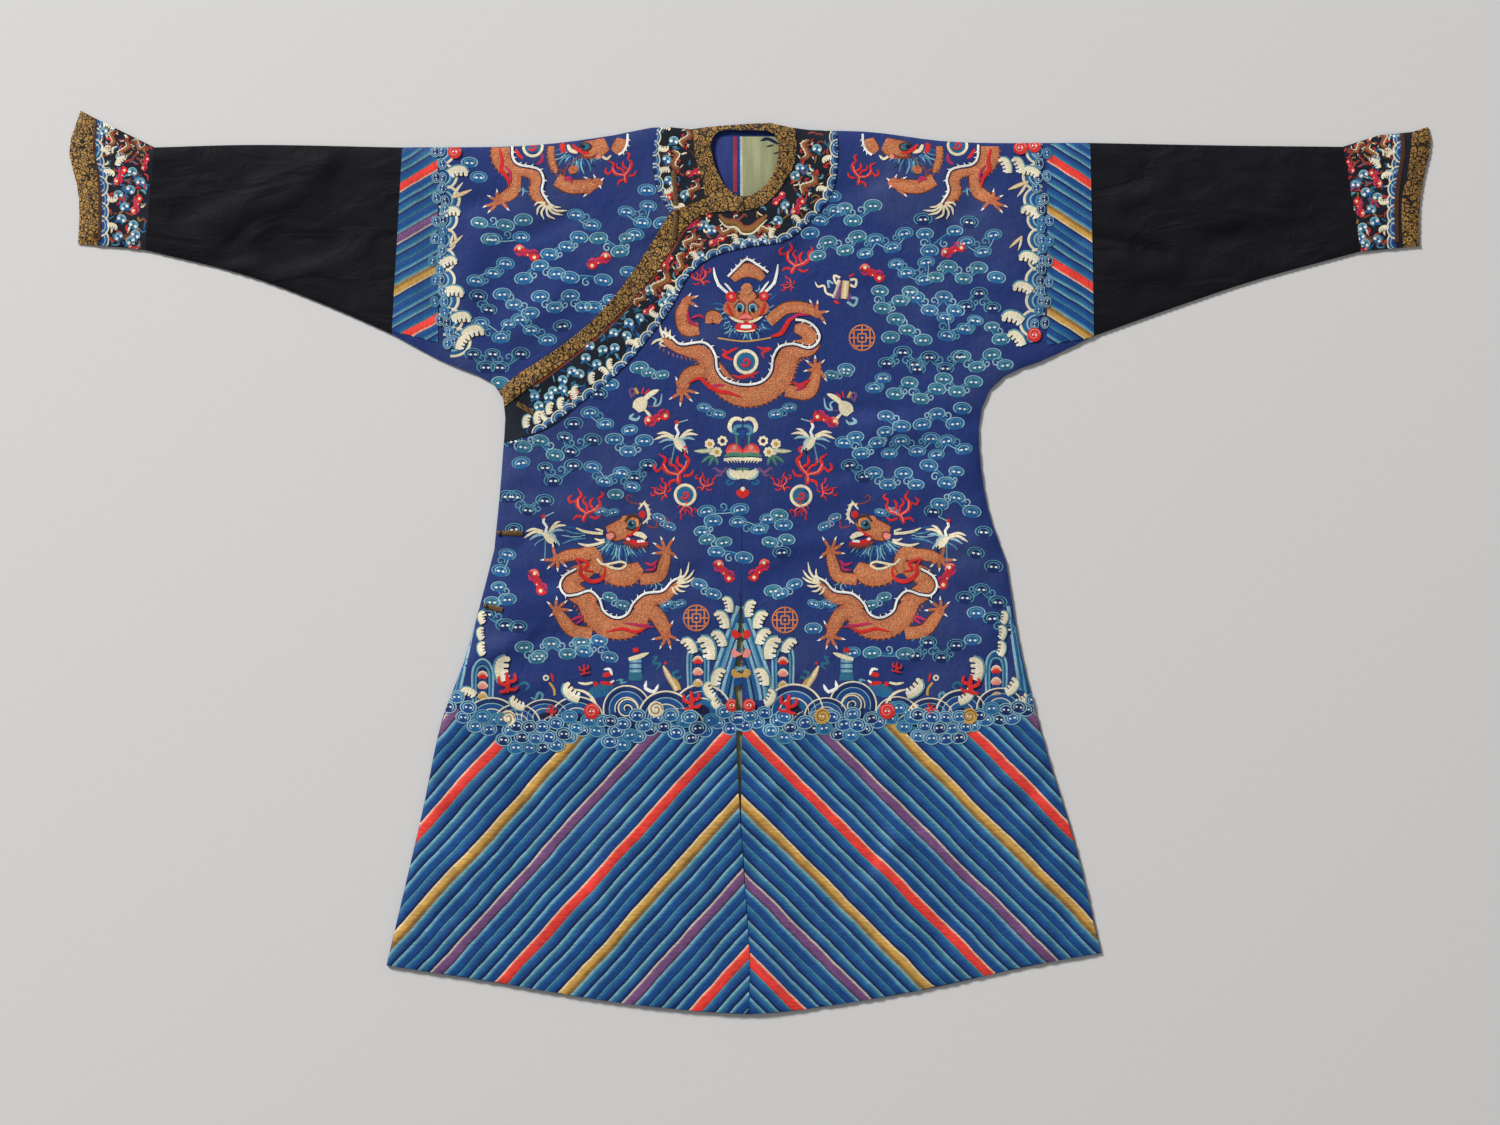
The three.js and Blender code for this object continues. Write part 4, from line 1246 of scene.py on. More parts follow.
LOWER_LOOP = ((575, 425), (510, 465), (488, 520), (520, 568), (580, 565))
LOWER_SPINE = (
    (580, 565), (650, 545), (700, 590), (725, 655), (790, 690), (850, 670), (885, 610), (945, 560),
    (1040, 545), (1090, 495), (1150, 465),
)
LOWER_DRAGON = Dragon(
    place=LOWER_VIEW,
    trunk=(
        Stroke(
            SCALES, 18, ((690, 400), (620, 440), (560, 470), (548, 530), (600, 575), (670, 620)), 1,
            (0.5, 0.9),
        ),
        Stroke(
            SCALES, 21, ((605, 575), (680, 690), (760, 742), (850, 742), (915, 690), (960, 600)), 1.3,
            (0.6, 0.5), 0.3, -2.6, 4,
        ),
        Stroke(SCALES, 12, ((905, 650), (960, 592), (1050, 580), (1135, 495)), 1.3, (1, 0.4), 0.7),
        Stroke(SCALES, 21, ((715, 425), (780, 455), (855, 458), (925, 415)), 1.6, (0.6, 0.5), 0.4, -2.6, 4),
        Stroke(SCALES, 11, ((600, 335), (660, 335), (690, 390), (680, 450)), 1.6, (0.6, 0.6)),
        Stroke(SCALES, 19, ((745, 235), (810, 218), (880, 178), (912, 158)), 1.6, (0.7, 0.6)),
        Stroke("amber", 8, ((838, 160),), 3),
    ),
    limbs=(
        Limb(
            ((650, 350), (560, 350), (470, 370)), 11,
            ((450, 302), (396, 378), (428, 418), (475, 428), (515, 408)),
        ),
        Limb(
            ((920, 485), (1020, 468), (1050, 400), (1066, 330)), 11,
            ((1036, 264), (1100, 266), (1002, 292), (1112, 362), (997, 342)),
        ),
        Limb(
            ((660, 775), (560, 760), (500, 695), (472, 650)), 12,
            ((470, 588), (518, 605), (428, 612), (442, 675), (542, 650)),
        ),
        Limb(
            ((895, 655), (990, 660), (1042, 730), (1060, 785)), 14,
            ((1093, 718), (1122, 810), (1083, 848), (1032, 848), (995, 805)),
        ),
    ),
    lines=(
        # The navy strips under the white loop and spine are painted shadow: a dark edge on both sides of
        # each.
        Stroke("navy", 4.6, LOWER_LOOP, 2.6),
        Stroke("navy", 4.6, LOWER_SPINE, 2.6),
        Stroke("white", 2.2, LOWER_LOOP, 3.2, thorn=-2.8, pitch=8),
        Stroke("white", 2.2, LOWER_SPINE, 3.2, thorn=2.8, pitch=9),
        Stroke("cream", 2.2, ((1120, 505), (1170, 450), (1185, 390)), 3.4, (1, 0.2)),
        Stroke("cream", 2.2, ((1130, 500), (1185, 470), (1212, 432)), 3.4, (1, 0.2)),
        Stroke("cream", 2.2, ((1130, 505), (1180, 495), (1215, 472)), 3.4, (1, 0.2)),
        Stroke("cream", 2.2, ((1120, 515), (1160, 522), (1190, 515)), 3.4, (1, 0.2)),
        Stroke("cream", 2.2, ((1110, 520), (1135, 545), (1165, 548)), 3.4, (1, 0.2)),
        Stroke("cream", 2.0, ((1095, 525), (1105, 552), (1125, 565)), 3.4, (1, 0.2)),
        Stroke("cream", 2.0, ((1125, 490), (1140, 455), (1140, 425)), 3.4, (1, 0.2)),
        Stroke(
            "cream", 2.2,
            (
                (688, 372), (720, 402), (775, 395), (820, 388), (846, 404), (815, 426), (765, 420),
                (735, 404),
            ),
            3.8,
        ),
        Stroke("deep", 3.4, ((775, 408), (822, 408)), 3.6, (0.5, 0.5)),
        Stroke(
            "red", 4.2,
            ((570, 368), (598, 410), (600, 455), (650, 492), (705, 485), (730, 445), (726, 415)), 3.6,
            (0.3, 0.4),
        ),
        Stroke("red", 3.2, ((575, 370), (640, 395), (620, 430), (670, 440)), 3.6, (0.3, 0.3)),
        Stroke("cream", 2.8, ((575, 205), (612, 222), (660, 232), (720, 236)), 3.6, (0.4, 1)),
        Stroke("cream", 2.2, ((678, 210), (700, 216), (720, 224)), 3.6, (0.4, 1)),
        Stroke("cream", 2.8, ((585, 288), (635, 300), (690, 292), (728, 278)), 3.6, (0.4, 1)),
        Stroke("cream", 2.2, ((675, 262), (700, 272), (728, 270)), 3.6, (0.4, 1)),
        Stroke("pink", 8.5, ((760, 248),), 4),
        Stroke("rust", 1.6, ((742, 235), (770, 225), (785, 250), (765, 270)), 4.4),
        Stroke("brown", 2.4, ((838, 172), (868, 140), (912, 150), (912, 195), (885, 215), (845, 205)), 3.8),
        Stroke("teal", 9.5, ((874, 186),), 4.2),
        Stroke("black", 5, ((872, 184),), 4.8),
        Stroke("mist", 1.8, ((880, 178),), 5.4),
        Stroke("amber", 4, ((905, 158), (912, 185), (905, 205)), 3.8, (0.6, 0.6)),
        Stroke("red", 3, ((842, 250), (880, 238), (915, 205)), 4.2, (0.3, 0.6)),
        Stroke("red", 5, ((838, 262), (895, 285), (962, 286)), 3.8, (0.4, 0.5)),
        Stroke("cream", 5.2, ((885, 236), (925, 242), (955, 262)), 4.6, (0.5, 0.6)),
        Stroke("white", 2.6, ((848, 262), (865, 268)), 5),
        Stroke("white", 2.6, ((905, 278), (945, 276)), 5),
        Stroke("rust", 2.4, ((830, 280), (895, 303), (965, 296)), 3.8, thorn=-3, pitch=2.6),
        Stroke("rust", 1.4, ((955, 70), (905, 76), (862, 62), (846, 42), (862, 28), (876, 42)), 0.4),
        Stroke(
            "rust", 1.4,
            ((955, 192), (1005, 205), (1015, 162), (1045, 145), (1076, 166), (1062, 198), (1042, 188)), 0.4,
        ),
        Stroke("red", 7.6, ((932, 132),), 1),
        Stroke(
            "cream", 3, ((912, 105), (942, 72), (962, 108), (966, 150), (935, 182)), 1, (0.4, 0.4),
            thorn=2,
            pitch=4,
        ),
        Stroke("magenta", 3, ((945, 392), (985, 405), (1015, 378)), 3.4, (0.3, 0.3)),
        Stroke("magenta", 2.6, ((950, 432), (990, 430), (1005, 405)), 3.4, (0.3, 0.3)),
        Stroke("magenta", 2.8, ((545, 705), (580, 690), (615, 680)), 3.4, (0.3, 0.3)),
        Stroke("magenta", 2.4, ((575, 725), (600, 705), (618, 700)), 3.4, (0.3, 0.3)),
        Stroke("red", 3.4, ((738, 766), (820, 750), (900, 766), (965, 738)), 3.6, (0.2, 0.3)),
        Stroke("magenta", 3, ((838, 720), (920, 730), (1000, 742)), 3.6, (0.3, 0.2)),
    ),
    manes=(
        Mane((815, 225), 14, 33, 208, 322, 34),
        Mane((700, 245), 14, 38, 165, 195, 7),
        Mane((590, 740), 6, 16, 200, 330, 9),
        Mane((985, 470), 6, 14, 240, 330, 7),
        Mane((1010, 625), 4, 13, -30, 60, 7),
    ),
)

FOLD_SPINE = ((195, 150), (200, 230), (235, 270), (310, 285), (362, 305), (385, 365), (375, 430), (415, 500))
FOLD_RIDGE = ((892, 85), (886, 150), (862, 195), (835, 212))
SHOULDER_DRAGON = Dragon(
    place=enlarged(left=480, top=120, scale=6.03),
    trunk=(
        Stroke(SCALES, 19, ((128, 160), (132, 235), (190, 305)), 1, (1, 0.8), 0.3, -2.6, 4),
        Stroke(
            SCALES, 11, ((185, 305), (290, 310), (345, 360), (335, 440), (400, 520)), 1.3, (1, 0.4), 0.3,
            -2, 4,
        ),
        Stroke(SCALES, 6.5, ((430, 160), (432, 240), (462, 320)), 1, (1, 0.5), 0.3, -2, 3),
        Stroke(SCALES, 18, ((612, 170), (690, 178), (765, 145)), 1.3, (0.6, 0.7)),
        Stroke(SCALES, 13, ((858, 115), (845, 155), (808, 195)), 1, (0.8, 0.5), 0.4),
        Stroke("orange", 8, ((535, 312), (590, 290)), 1.2, (0.5, 0.5)),
    ),
    limbs=(
        Limb(
            ((215, 330), (200, 430), (112, 485)), 12,
            ((104, 432), (58, 462), (32, 522), (58, 552), (168, 538)),
        ),
        Limb(
            ((462, 360), (540, 402), (640, 400), (712, 382)), 13,
            ((640, 352), (692, 344), (736, 362), (724, 402), (636, 455)),
        ),
    ),
    lines=(
        # The navy strip under the white spine is painted shadow: a dark edge on both sides of it.
        Stroke("navy", 4.6, FOLD_SPINE, 2.6),
        Stroke("white", 2.3, FOLD_SPINE, 3.2, thorn=2.8, pitch=8),
        Stroke("white", 2.3, FOLD_RIDGE, 3.2, thorn=2.4, pitch=5),
        Stroke("cream", 2.2, ((395, 505), (350, 500), (330, 520)), 3.4, (1, 0.3)),
        Stroke("cream", 2.2, ((395, 510), (355, 530), (345, 575)), 3.4, (1, 0.2)),
        Stroke("cream", 2.2, ((398, 515), (372, 560), (388, 602)), 3.4, (1, 0.2)),
        Stroke("cream", 2.2, ((402, 520), (410, 575), (455, 600)), 3.4, (1, 0.2)),
        Stroke("cream", 2.2, ((408, 520), (440, 560), (500, 575)), 3.4, (1, 0.2)),
        Stroke("cream", 2.2, ((412, 512), (460, 548), (528, 548)), 3.4, (1, 0.2)),
        Stroke("cream", 2.0, ((412, 498), (450, 525), (490, 528)), 3.4, (1, 0.2)),
        Stroke("brown", 2, ((600, 150), (640, 140), (672, 160), (650, 185), (612, 180)), 3.4),
        Stroke("teal", 8, ((635, 162),), 3.8),
        Stroke("black", 4.4, ((622, 162),), 4.4),
        Stroke("red", 5, ((505, 140), (500, 170), (512, 200)), 1, (0.6, 0.6), thorn=-2, pitch=3),
        Stroke("cream", 4, ((530, 150), (548, 185), (590, 198)), 1.6, (0.6, 0.5)),
        Stroke("red", 4.2, ((560, 150), (592, 182), (660, 205)), 2.6, (0.6, 0.4)),
        Stroke("rust", 2, ((600, 220), (660, 228), (710, 210)), 2.6, thorn=-2.4, pitch=3),
        Stroke("pink", 5, ((716, 224),), 3.6),
        Stroke("cream", 2.6, ((738, 222), (765, 238), (792, 215)), 3.4, (1, 0.4)),
        Stroke("red", 4, ((118, 175), (135, 250), (128, 300), (165, 352), (178, 410)), 3, (0.6, 0.3)),
        Stroke("magenta", 2.6, ((150, 275), (182, 315), (188, 380)), 3.4, (0.4, 0.3)),
        Stroke("rust", 1.5, ((590, 228), (545, 262), (515, 300), (508, 340)), 0.6),
        Stroke("rust", 1.5, ((505, 335), (470, 342), (462, 315), (485, 300), (500, 318)), 0.6),
        Stroke("magenta", 4, ((505, 360), (540, 352), (555, 380)), 3.4, (0.4, 0.4)),
        Stroke("red", 3.4, ((215, 175), (238, 215), (262, 235)), 0.6, (0.4, 0.3)),
        Stroke("magenta", 3.4, ((345, 268), (372, 250), (380, 205)), 0.6, (0.4, 0.3)),
    ),
    manes=(Mane((600, 150), 14, 30, 196, 340, 32), Mane((250, 400), 2, 10, 220, 330, 7)),
)
# The columns about which the lower and the shoulder dragons are reflected.
LOWER_AXIS = 748.5
SHOULDER_AXIS = 745.2
PEARLS = ((746, 362, 12.2), (685.3, 495, 11), (801, 496, 11), (533, 147, 10.5), (957.4, 145.5, 10.5))

FLAME = (
    Stroke("red", 3.2, ((0, -12), (2, -4), (-6, 0), (-10, 6), (-14, 3)), 0, (1, 0.4)),
    Stroke("red", 3.0, ((2, -4), (9, 0), (14, 6), (11, 12)), 0.4, (1, 0.4)),
    Stroke("red", 2.8, ((-6, 0), (-8, 8), (-5, 12), (-10, 18)), 0.8, (1, 0.2)),
    Stroke("red", 2.6, ((9, 0), (4, 6), (6, 12)), 0.8, (1, 0.3)),
    Stroke("red", 2.6, ((1, -8), (-6, -8), (-9, -12)), 0.4, (1, 0.3)),
    Stroke("red", 2.4, ((-14, 3), (-17, 7), (-14, 11)), 0.8, (1, 0.3)),
    Stroke("red", 2.4, ((11, 12), (15, 16), (12, 19)), 1, (1, 0.2)),
    Stroke("red", 2.2, ((3, -2), (1, 4), (-3, 7), (-1, 12)), 0.8, (1, 0.3)),
    Stroke("red", 2.2, ((6, -6), (12, -7), (16, -3)), 0.4, (1, 0.3)),
    Stroke("pink", 1.0, ((0, -10), (2, -4), (9, 1), (12, 6)), 1.8),
    Stroke("pink", 1.0, ((2, -4), (-6, 1), (-8, 8)), 1.8),
)
BAT = (
    Stroke("red", 8.5, ((-8, 2.5),), 0.2),
    Stroke("red", 8.5, ((8, -2.5),), 0.2),
    Stroke("magenta", 3.2, ((-11, -3), (-6, -4), (-3, -1)), 0.3, (0.3, 1)),
    Stroke("magenta", 3.2, ((11, 3), (6, 4), (3, 1)), 0.3, (0.3, 1)),
    Stroke("red", 8, ((-4, -1), (4, 1)), 0, (0.4, 0.4), 0.5),
    Stroke("red", 5.4, ((-3, 1), (-9, 4), (-13, -2)), 0.4, (0.7, 0.2)),
    Stroke("red", 5.4, ((3, -1), (9, -4), (13, 2)), 0.4, (0.7, 0.2)),
    Stroke("cream", 3.6, ((-8.5, 2.5),), 1.6),
    Stroke("cream", 3.6, ((8.5, -2.5),), 1.6),
    Stroke("magenta", 1.6, ((-3, 0), (0, 2), (3, 0)), 1.4),
    Stroke("white", 1.4, ((1.4, -2),), 1.8),
    Stroke("pink", 1.2, ((-4, 4), (-10, 5), (-13, 0)), 1.4),
)
CRANE = (
    Stroke("mist cream cream", 11, ((-2, 3), (3, -3), (7, -10)), 1, (0.5, 0.4), 0.6),
    Stroke("cream", 2.6, ((-3, 2), (-12, 5), (-23, 1)), 0.5, (0.8, 0.2)),
    Stroke("cream", 2.6, ((-3, 4), (-12, 8), (-20, 7)), 0.8, (0.8, 0.2)),
    Stroke("mist", 2.4, ((-3, 1), (-11, 1), (-18, -2)), 0.3, (0.8, 0.2)),
    Stroke("cream", 2.6, ((3, 3), (12, 7), (21, 6)), 0.5, (0.8, 0.2)),
    Stroke("cream", 2.6, ((4, 4), (11, 10), (16, 11)), 0.8, (0.8, 0.2)),
    Stroke("mist", 2.4, ((4, 2), (12, 3), (18, 1)), 0.3, (0.8, 0.2)),
    Stroke("white", 2.6, ((-1, 3), (1.5, 8), (-1, 13), (0.5, 17)), 1.4),
    Stroke("red", 4.4, ((0, 18.5),), 1.8),
    Stroke("mist", 1.1, ((1, 18), (11, 21)), 1.6),
    Stroke("black", 1.8, ((6, -8), (6, -14)), 1.6, (1, 0.3)),
    Stroke("mist", 1.8, ((9, -7), (11, -13)), 1.4, (1, 0.3)),
    Stroke("aqua", 1.4, ((-2, -4), (-4, -14), (-6, -23)), 0.4),
    Stroke("aqua", 1.3, ((-3, -3), (-11, -6), (-14, -9)), 0.4),
)
GOURD = (
    Stroke("cream", 14, ((-6, -8), (-2, -3), (3, 3)), 1, (0.6, 0.5), 0.5),
    Stroke("cream", 5, ((2, 2), (9, 8), (17, 12)), 1.3, (1, 0.2)),
    Stroke("purple", 2.4, ((-9, 6), (-6, 12), (-12, 12), (-10, 4)), 0.4),
    Stroke("mist", 2.2, ((8, 6), (14, 2), (12, -4), (18, -2), (20, 8)), 0.4, (0.4, 0.4)),
    Stroke("mist", 3.0, ((-8, -12), (-12, -16), (-5, -18), (-2, -14)), 0.4, (0.5, 0.4)),
    Stroke("cream", 3.0, ((3, -8), (8, -14), (6, -18)), 0.8, (0.6, 0.5)),
    Stroke("purple", 1.2, ((2, -4), (12, -5), (16, -5)), 0.4),
    Stroke("gold", 3.0, ((-4, 8), (-7, 14)), 0.8),
    Stroke("red", 1.6, ((0, 8), (2, 15)), 0.8, (1, 0.3)),
    Stroke("red", 1.6, ((3, 8), (8, 13)), 0.8, (1, 0.3)),
)
BOOKS = (
    Stroke("cream purple purple", 7, ((-7, -9), (-3, 1), (-1, 9)), 0.6, (1, 0.3)),
    Stroke("purple", 5, ((5, -9), (9, -5)), 0.6),
    Stroke("gold cream gold", 7, ((2, -9), (4, 9)), 1),
    Stroke("cream", 2.4, ((-2, 12), (-8, 14), (-6, 6), (-3, 10)), 0.6),
    Stroke("cream", 2.2, ((-9, -6), (-16, -3), (-18, 4), (-24, 3), (-27, 8)), 0.6, (1, 0.3)),
    Stroke("cream", 2.4, ((8, 10), (14, 10), (13, 3), (8, 5)), 0.6),
    Stroke("mist", 2.0, ((-9, 6), (-14, 9), (-13, 2)), 0.6),
    Stroke("mist", 2.6, ((5, -12), (12, -16), (15, -9), (9, -8)), 0.6),
    Stroke("red", 3, ((-8, -11), (-3, -14)), 0.6, (0.5, 0.5)),
    Stroke("red", 2, ((7, 13), (12, 16)), 0.6, (1, 0.3)),
)


def square_of(half):
    """The four sides of a square of the fret, with the upright ones on top."""
    level = [Stroke("orange", 1.5, ((-half, side), (half, side)), 0) for side in (half, -half)]
    upright = [Stroke("orange", 1.5, ((side, -half), (side, half)), 0.5) for side in (-half, half)]
    return level + upright


FRET = (
    *square_of(8), *square_of(4),
    Stroke("orange", 1.5, ((-12, 0), (-4, 0)), 1),
    Stroke("orange", 1.5, ((4, 0), (12, 0)), 1),
    Stroke("orange", 1.5, ((0, 4), (0, 12)), 1),
    Stroke("orange", 1.5, ((0, -12), (0, -4)), 1),
    Stroke("orange", 1.4, ((-11, 5), (-8, 5)), 1),
    Stroke("orange", 1.4, ((8, -5), (11, -5)), 1),
    Stroke("orange", 1.4, ((-5, -11), (-5, -8)), 1),
    Stroke("orange", 1.4, ((5, 8), (5, 11)), 1),
    Stroke("amber", 2.6, ((0, 0),), 1),
)
CORAL = (
    Stroke("red", 3.6, ((0, -8), (1, -2), (0, 8)), 0, (1, 0.5)),
    Stroke("red", 3.0, ((1, -3), (-6, 0), (-6, 5)), 0.4, (1, 0.5)),
    Stroke("red", 3.0, ((1, 0), (7, 2), (6, 7)), 0.4, (1, 0.5)),
    Stroke("red", 2.6, ((0, -5), (6, -6), (9, -3)), 0.4, (1, 0.4)),
    Stroke("red", 2.6, ((0, -7), (-6, -8)), 0.4, (1, 0.4)),
)
# The group in the middle, whose left half is drawn and reflected about this column.
CENTRE_AXIS = 742.8
CENTRE_GROUP = (
    Stroke(
        "cream", 4.2, ((1440, 432), (1410, 418), (1370, 430), (1350, 480), (1372, 510), (1400, 495)), 0.6,
        (0.6, 0.6),
    ),
    Stroke("azure aqua azure", 5, ((1440, 470), (1395, 480), (1385, 520), (1420, 530)), 1, (0.6, 0.5)),
    Stroke("blue", 5, ((1445, 500), (1445, 560)), 0.8, (0.6, 0.4)),
    Stroke("green", 2, ((1400, 540), (1405, 660)), 0.6),
    Stroke("red pink", 13, ((1330, 665), (1375, 640), (1440, 665)), 1, (0.3, 0.4), 0.5),
    Stroke("pink", 5, ((1385, 625),), 2.4),
    Stroke("green", 4, ((1310, 685), (1380, 672), (1445, 680)), 1.8, (0.4, 1)),
    Stroke("cream", 3, ((1310, 712), (1380, 705), (1445, 708)), 1, thorn=-3, pitch=3),
    Stroke("cream", 9, ((1345, 790), (1385, 820), (1445, 812)), 0.8, (0.5, 1)),
    Stroke("mist", 2.2, ((1360, 770), (1335, 800), (1360, 840), (1400, 850)), 1.8, (0.5, 1)),
    Stroke("green", 2.2, ((1400, 780), (1445, 775)), 2.2),
    Stroke("purple", 3, ((1335, 770), (1300, 800), (1270, 790), (1250, 770), (1230, 780)), 0.6, (1, 0.4)),
    Stroke("purple", 2.4, ((1300, 800), (1285, 825), (1250, 820)), 0.6, (1, 0.4)),
    Stroke("azure", 2.6, ((1385, 872), (1345, 890), (1330, 865), (1355, 862)), 0.6),
    Stroke("cream", 5, ((1445, 905), (1445, 935)), 0.6, (0.5, 0.8)),
    Stroke("red", 7, ((1400, 940), (1445, 955)), 0.8, (0.4, 1)),
    Stroke("red", 4, ((1425, 955), (1445, 985)), 1, (1, 0.4)),
    Stroke("green cream green", 5, ((1260, 640), (1170, 650), (1100, 650)), 0.4, (0.6, 0.2)),
    Stroke("green", 3, ((1240, 680), (1190, 700), (1150, 735)), 0.4, (0.7, 0.2)),
    Stroke("green", 3, ((1245, 690), (1220, 720), (1205, 755)), 0.6, (0.7, 0.2)),
    Stroke("green", 3, ((1250, 690), (1262, 720), (1268, 750)), 0.4, (0.7, 0.2)),
    Stroke("cream", 4, ((1290, 640), (1250, 662), (1205, 668)), 0.8, (0.8, 0.3)),
)
FLOWERS = ((709.8, 444, "gold"), (722.5, 441, "plum"), (717, 452, "gold"))
BORDER_OBJECTS = (
    Stroke("aqua mist aqua", 12, ((895, 905), (895, 985)), 1),
    Stroke("teal", 14, ((895, 985), (895, 1030)), 0.6, (0.8, 1)),
    Stroke("blue", 1.2, ((862, 935), (928, 935)), 2.4),
    Stroke("blue", 1.2, ((862, 965), (928, 965)), 2.4),
    Stroke("cream", 4.4, ((858, 915), (915, 900), (968, 880)), 2.4, (0.7, 0.2)),
    Stroke("red", 4.4, ((882, 868), (912, 862)), 2),
    Stroke("red", 10, ((740, 985), (745, 1010)), 1, (0.6, 0.6)),
    Stroke("white", 3, ((725, 970), (755, 968), (770, 1000)), 2, (0.4, 0.4)),
    Stroke("red", 4, ((705, 1040), (745, 1045), (775, 1045)), 1, (0.4, 0.5)),
    Stroke("white", 2, ((760, 1040), (780, 1030)), 2),
    Stroke("teal azure", 13, ((640, 1110), (700, 1085), (775, 1065)), 0.4, (0.3, 0.4)),
    Stroke("cream", 2.6, ((585, 1040), (625, 1048), (665, 1040)), 1.4, (0.3, 0.8)),
    Stroke("cream", 2.4, ((560, 1075), (620, 1090), (650, 1110), (660, 1140)), 1.4, (0.3, 0.5)),
    Stroke("cream", 2.4, ((620, 1090), (660, 1120), (690, 1170)), 1.4, (1, 0.4)),
    Stroke("red", 5, ((680, 1048),), 2),
    Stroke("gold cream ochre", 6, ((1045, 950), (1075, 1010), (1100, 1050), (1118, 1085)), 0.8, (0.3, 0.9)),
    Stroke("gold", 3, ((1100, 1010), (1125, 1050), (1135, 1080)), 0.8, (0.3, 0.8)),
    Stroke("red", 3, ((1058, 935),), 1),
    Stroke("white", 3.4, ((955, 1030), (950, 1070), (985, 1090)), 1, (0.2, 1)),
    Stroke("white", 3, ((1020, 1050), (1005, 1080), (985, 1095)), 1, (0.2, 1)),
    Stroke("teal", 3, ((985, 905), (1015, 900), (990, 935), (1030, 940), (1005, 975)), 0.4, (0.4, 0.3)),
    Stroke("teal", 3, ((1145, 1010), (1110, 1020), (1100, 990), (1130, 980)), 0.4),
    Stroke("aqua", 2.6, ((790, 1030), (825, 1025), (815, 1045), (850, 1035)), 0.4, (0.4, 0.4)),
    Stroke("cream", 6.4, ((412, 1015),), 1),
    Stroke("azure", 3, ((412, 1015),), 1.8),
    Stroke("red", 2.4, ((440, 990), (452, 1035)), 1, (0.5, 0.5)),
    Stroke("gold", 2.4, ((430, 1040), (455, 1075), (458, 1110)), 0.8),
    Stroke("aqua", 3, ((330, 1120), (355, 1130), (372, 1095), (395, 1110), (380, 1145)), 0.4, (0.4, 0.4)),
    Stroke("teal", 3, ((265, 1060), (295, 1040), (320, 1060), (300, 1085)), 0.4, (0.4, 0.4)),
)


class Foot(NamedTuple):
    """A point of the wavy line where the curls of the border end, in columns and rows of the photograph."""

    across: float
    down: float


CURL_FOOT = [
    Foot(436, 700), Foot(446, 710), Foot(460, 722), Foot(477, 733), Foot(492, 736), Foot(506, 749),
    Foot(520, 754), Foot(550, 753), Foot(564, 746), Foot(591, 732), Foot(613, 750), Foot(626, 751),
    Foot(644, 736), Foot(662, 731), Foot(691, 744), Foot(719, 727), Foot(734, 736), Foot(755, 727),
    Foot(786, 744), Foot(818, 730), Foot(846, 744), Foot(871, 731), Foot(890, 723), Foot(919, 742),
    Foot(934, 744), Foot(958, 743), Foot(980, 725), Foot(1008, 726), Foot(1021, 720), Foot(1036, 704),
]
# Where the foot lies below this row there are three rows of curls, and else two.
DEEP_FOOT = 740
CURL_PITCH = 13.4
CURL_ROW = 10.4
CURL_BASE = 1.5 * MM
CURL_STEP = 0.27 * MM
# The stripes start this many rows above the foot, under the curls.
STRIPES_HIDDEN = 12


def foot_row(across):
    """The row of the photograph at which the curls end, at a column."""
    rows = [foot for foot in CURL_FOOT if foot.across <= across] or CURL_FOOT[:1]
    before = rows[-1]
    after = next((foot for foot in CURL_FOOT if foot.across > across), before)
    if after is before or before.across > across:
        return before.down
    gone = (after.down - before.down) * (across - before.across)
    return before.down + gone / (after.across - before.across)


class Skirt(NamedTuple):
    """One half of the skirt: its piece, the column of its first red stripe, and how its stripes run."""

    piece: str
    first: float
    pitch: float
    slope: float


SKIRTS = (
    Skirt(piece="left_front_lap", first=731, pitch=-73, slope=-0.9065),
    Skirt(piece="left_front", first=745, pitch=75, slope=1.0),
)
# The row on which the stripes are numbered, and how far a stripe can run from it, in columns.
STRIPE_ROW = 737
STRIPE_REACH = 528
# Threads of each coloured stripe and of the four blue ones that follow it, from its upper to its lower edge.
COLOURED = (
    ("cream", "scarlet", "scarlet", "scarlet", "red"), ("cream", "purple", "purple", "purple", "plum"),
    ("cream", "gold", "gold", "ochre", "ochre"),
)
BLUES = (
    ("mist", "aqua", "azure", "blue", "blue", "blue", "deep"),
    ("mist", "aqua", "teal", "azure", "blue", "deep", "deep"),
    ("aqua", "teal", "azure", "blue", "blue", "deep", "navy"),
)
COLOURED_SHARE = 0.2
BLUE_STRIPES = 4
STRIPE_RUN = 8 * MM
STRIPE_BASE = 0.5 * MM
STRIPE_SWAY = 2.2 * MM
# The upper edge of a stripe tucks this far under the stripe above it.
STRIPE_OVERLAP = 0.9 * MM
STRIPE_TUCK = 0.3 * MM


def inside_stretch(start, heading, inside, reach, step=4 * MM):
    """The first and last distance along a line at which a test of places holds."""
    places = [k * step for k in range(-round(reach / step), round(reach / step) + 1)]
    held = [place for place in places if inside(start + heading * place)]
    if not held:
        return None

    def edge(good, bad):
        for _ in range(7):
            middle = (good + bad) / 2
            if inside(start + heading * middle):
                good = middle
            else:
                bad = middle
        return good

    return edge(held[0], held[0] - step), edge(held[-1], held[-1] + step)


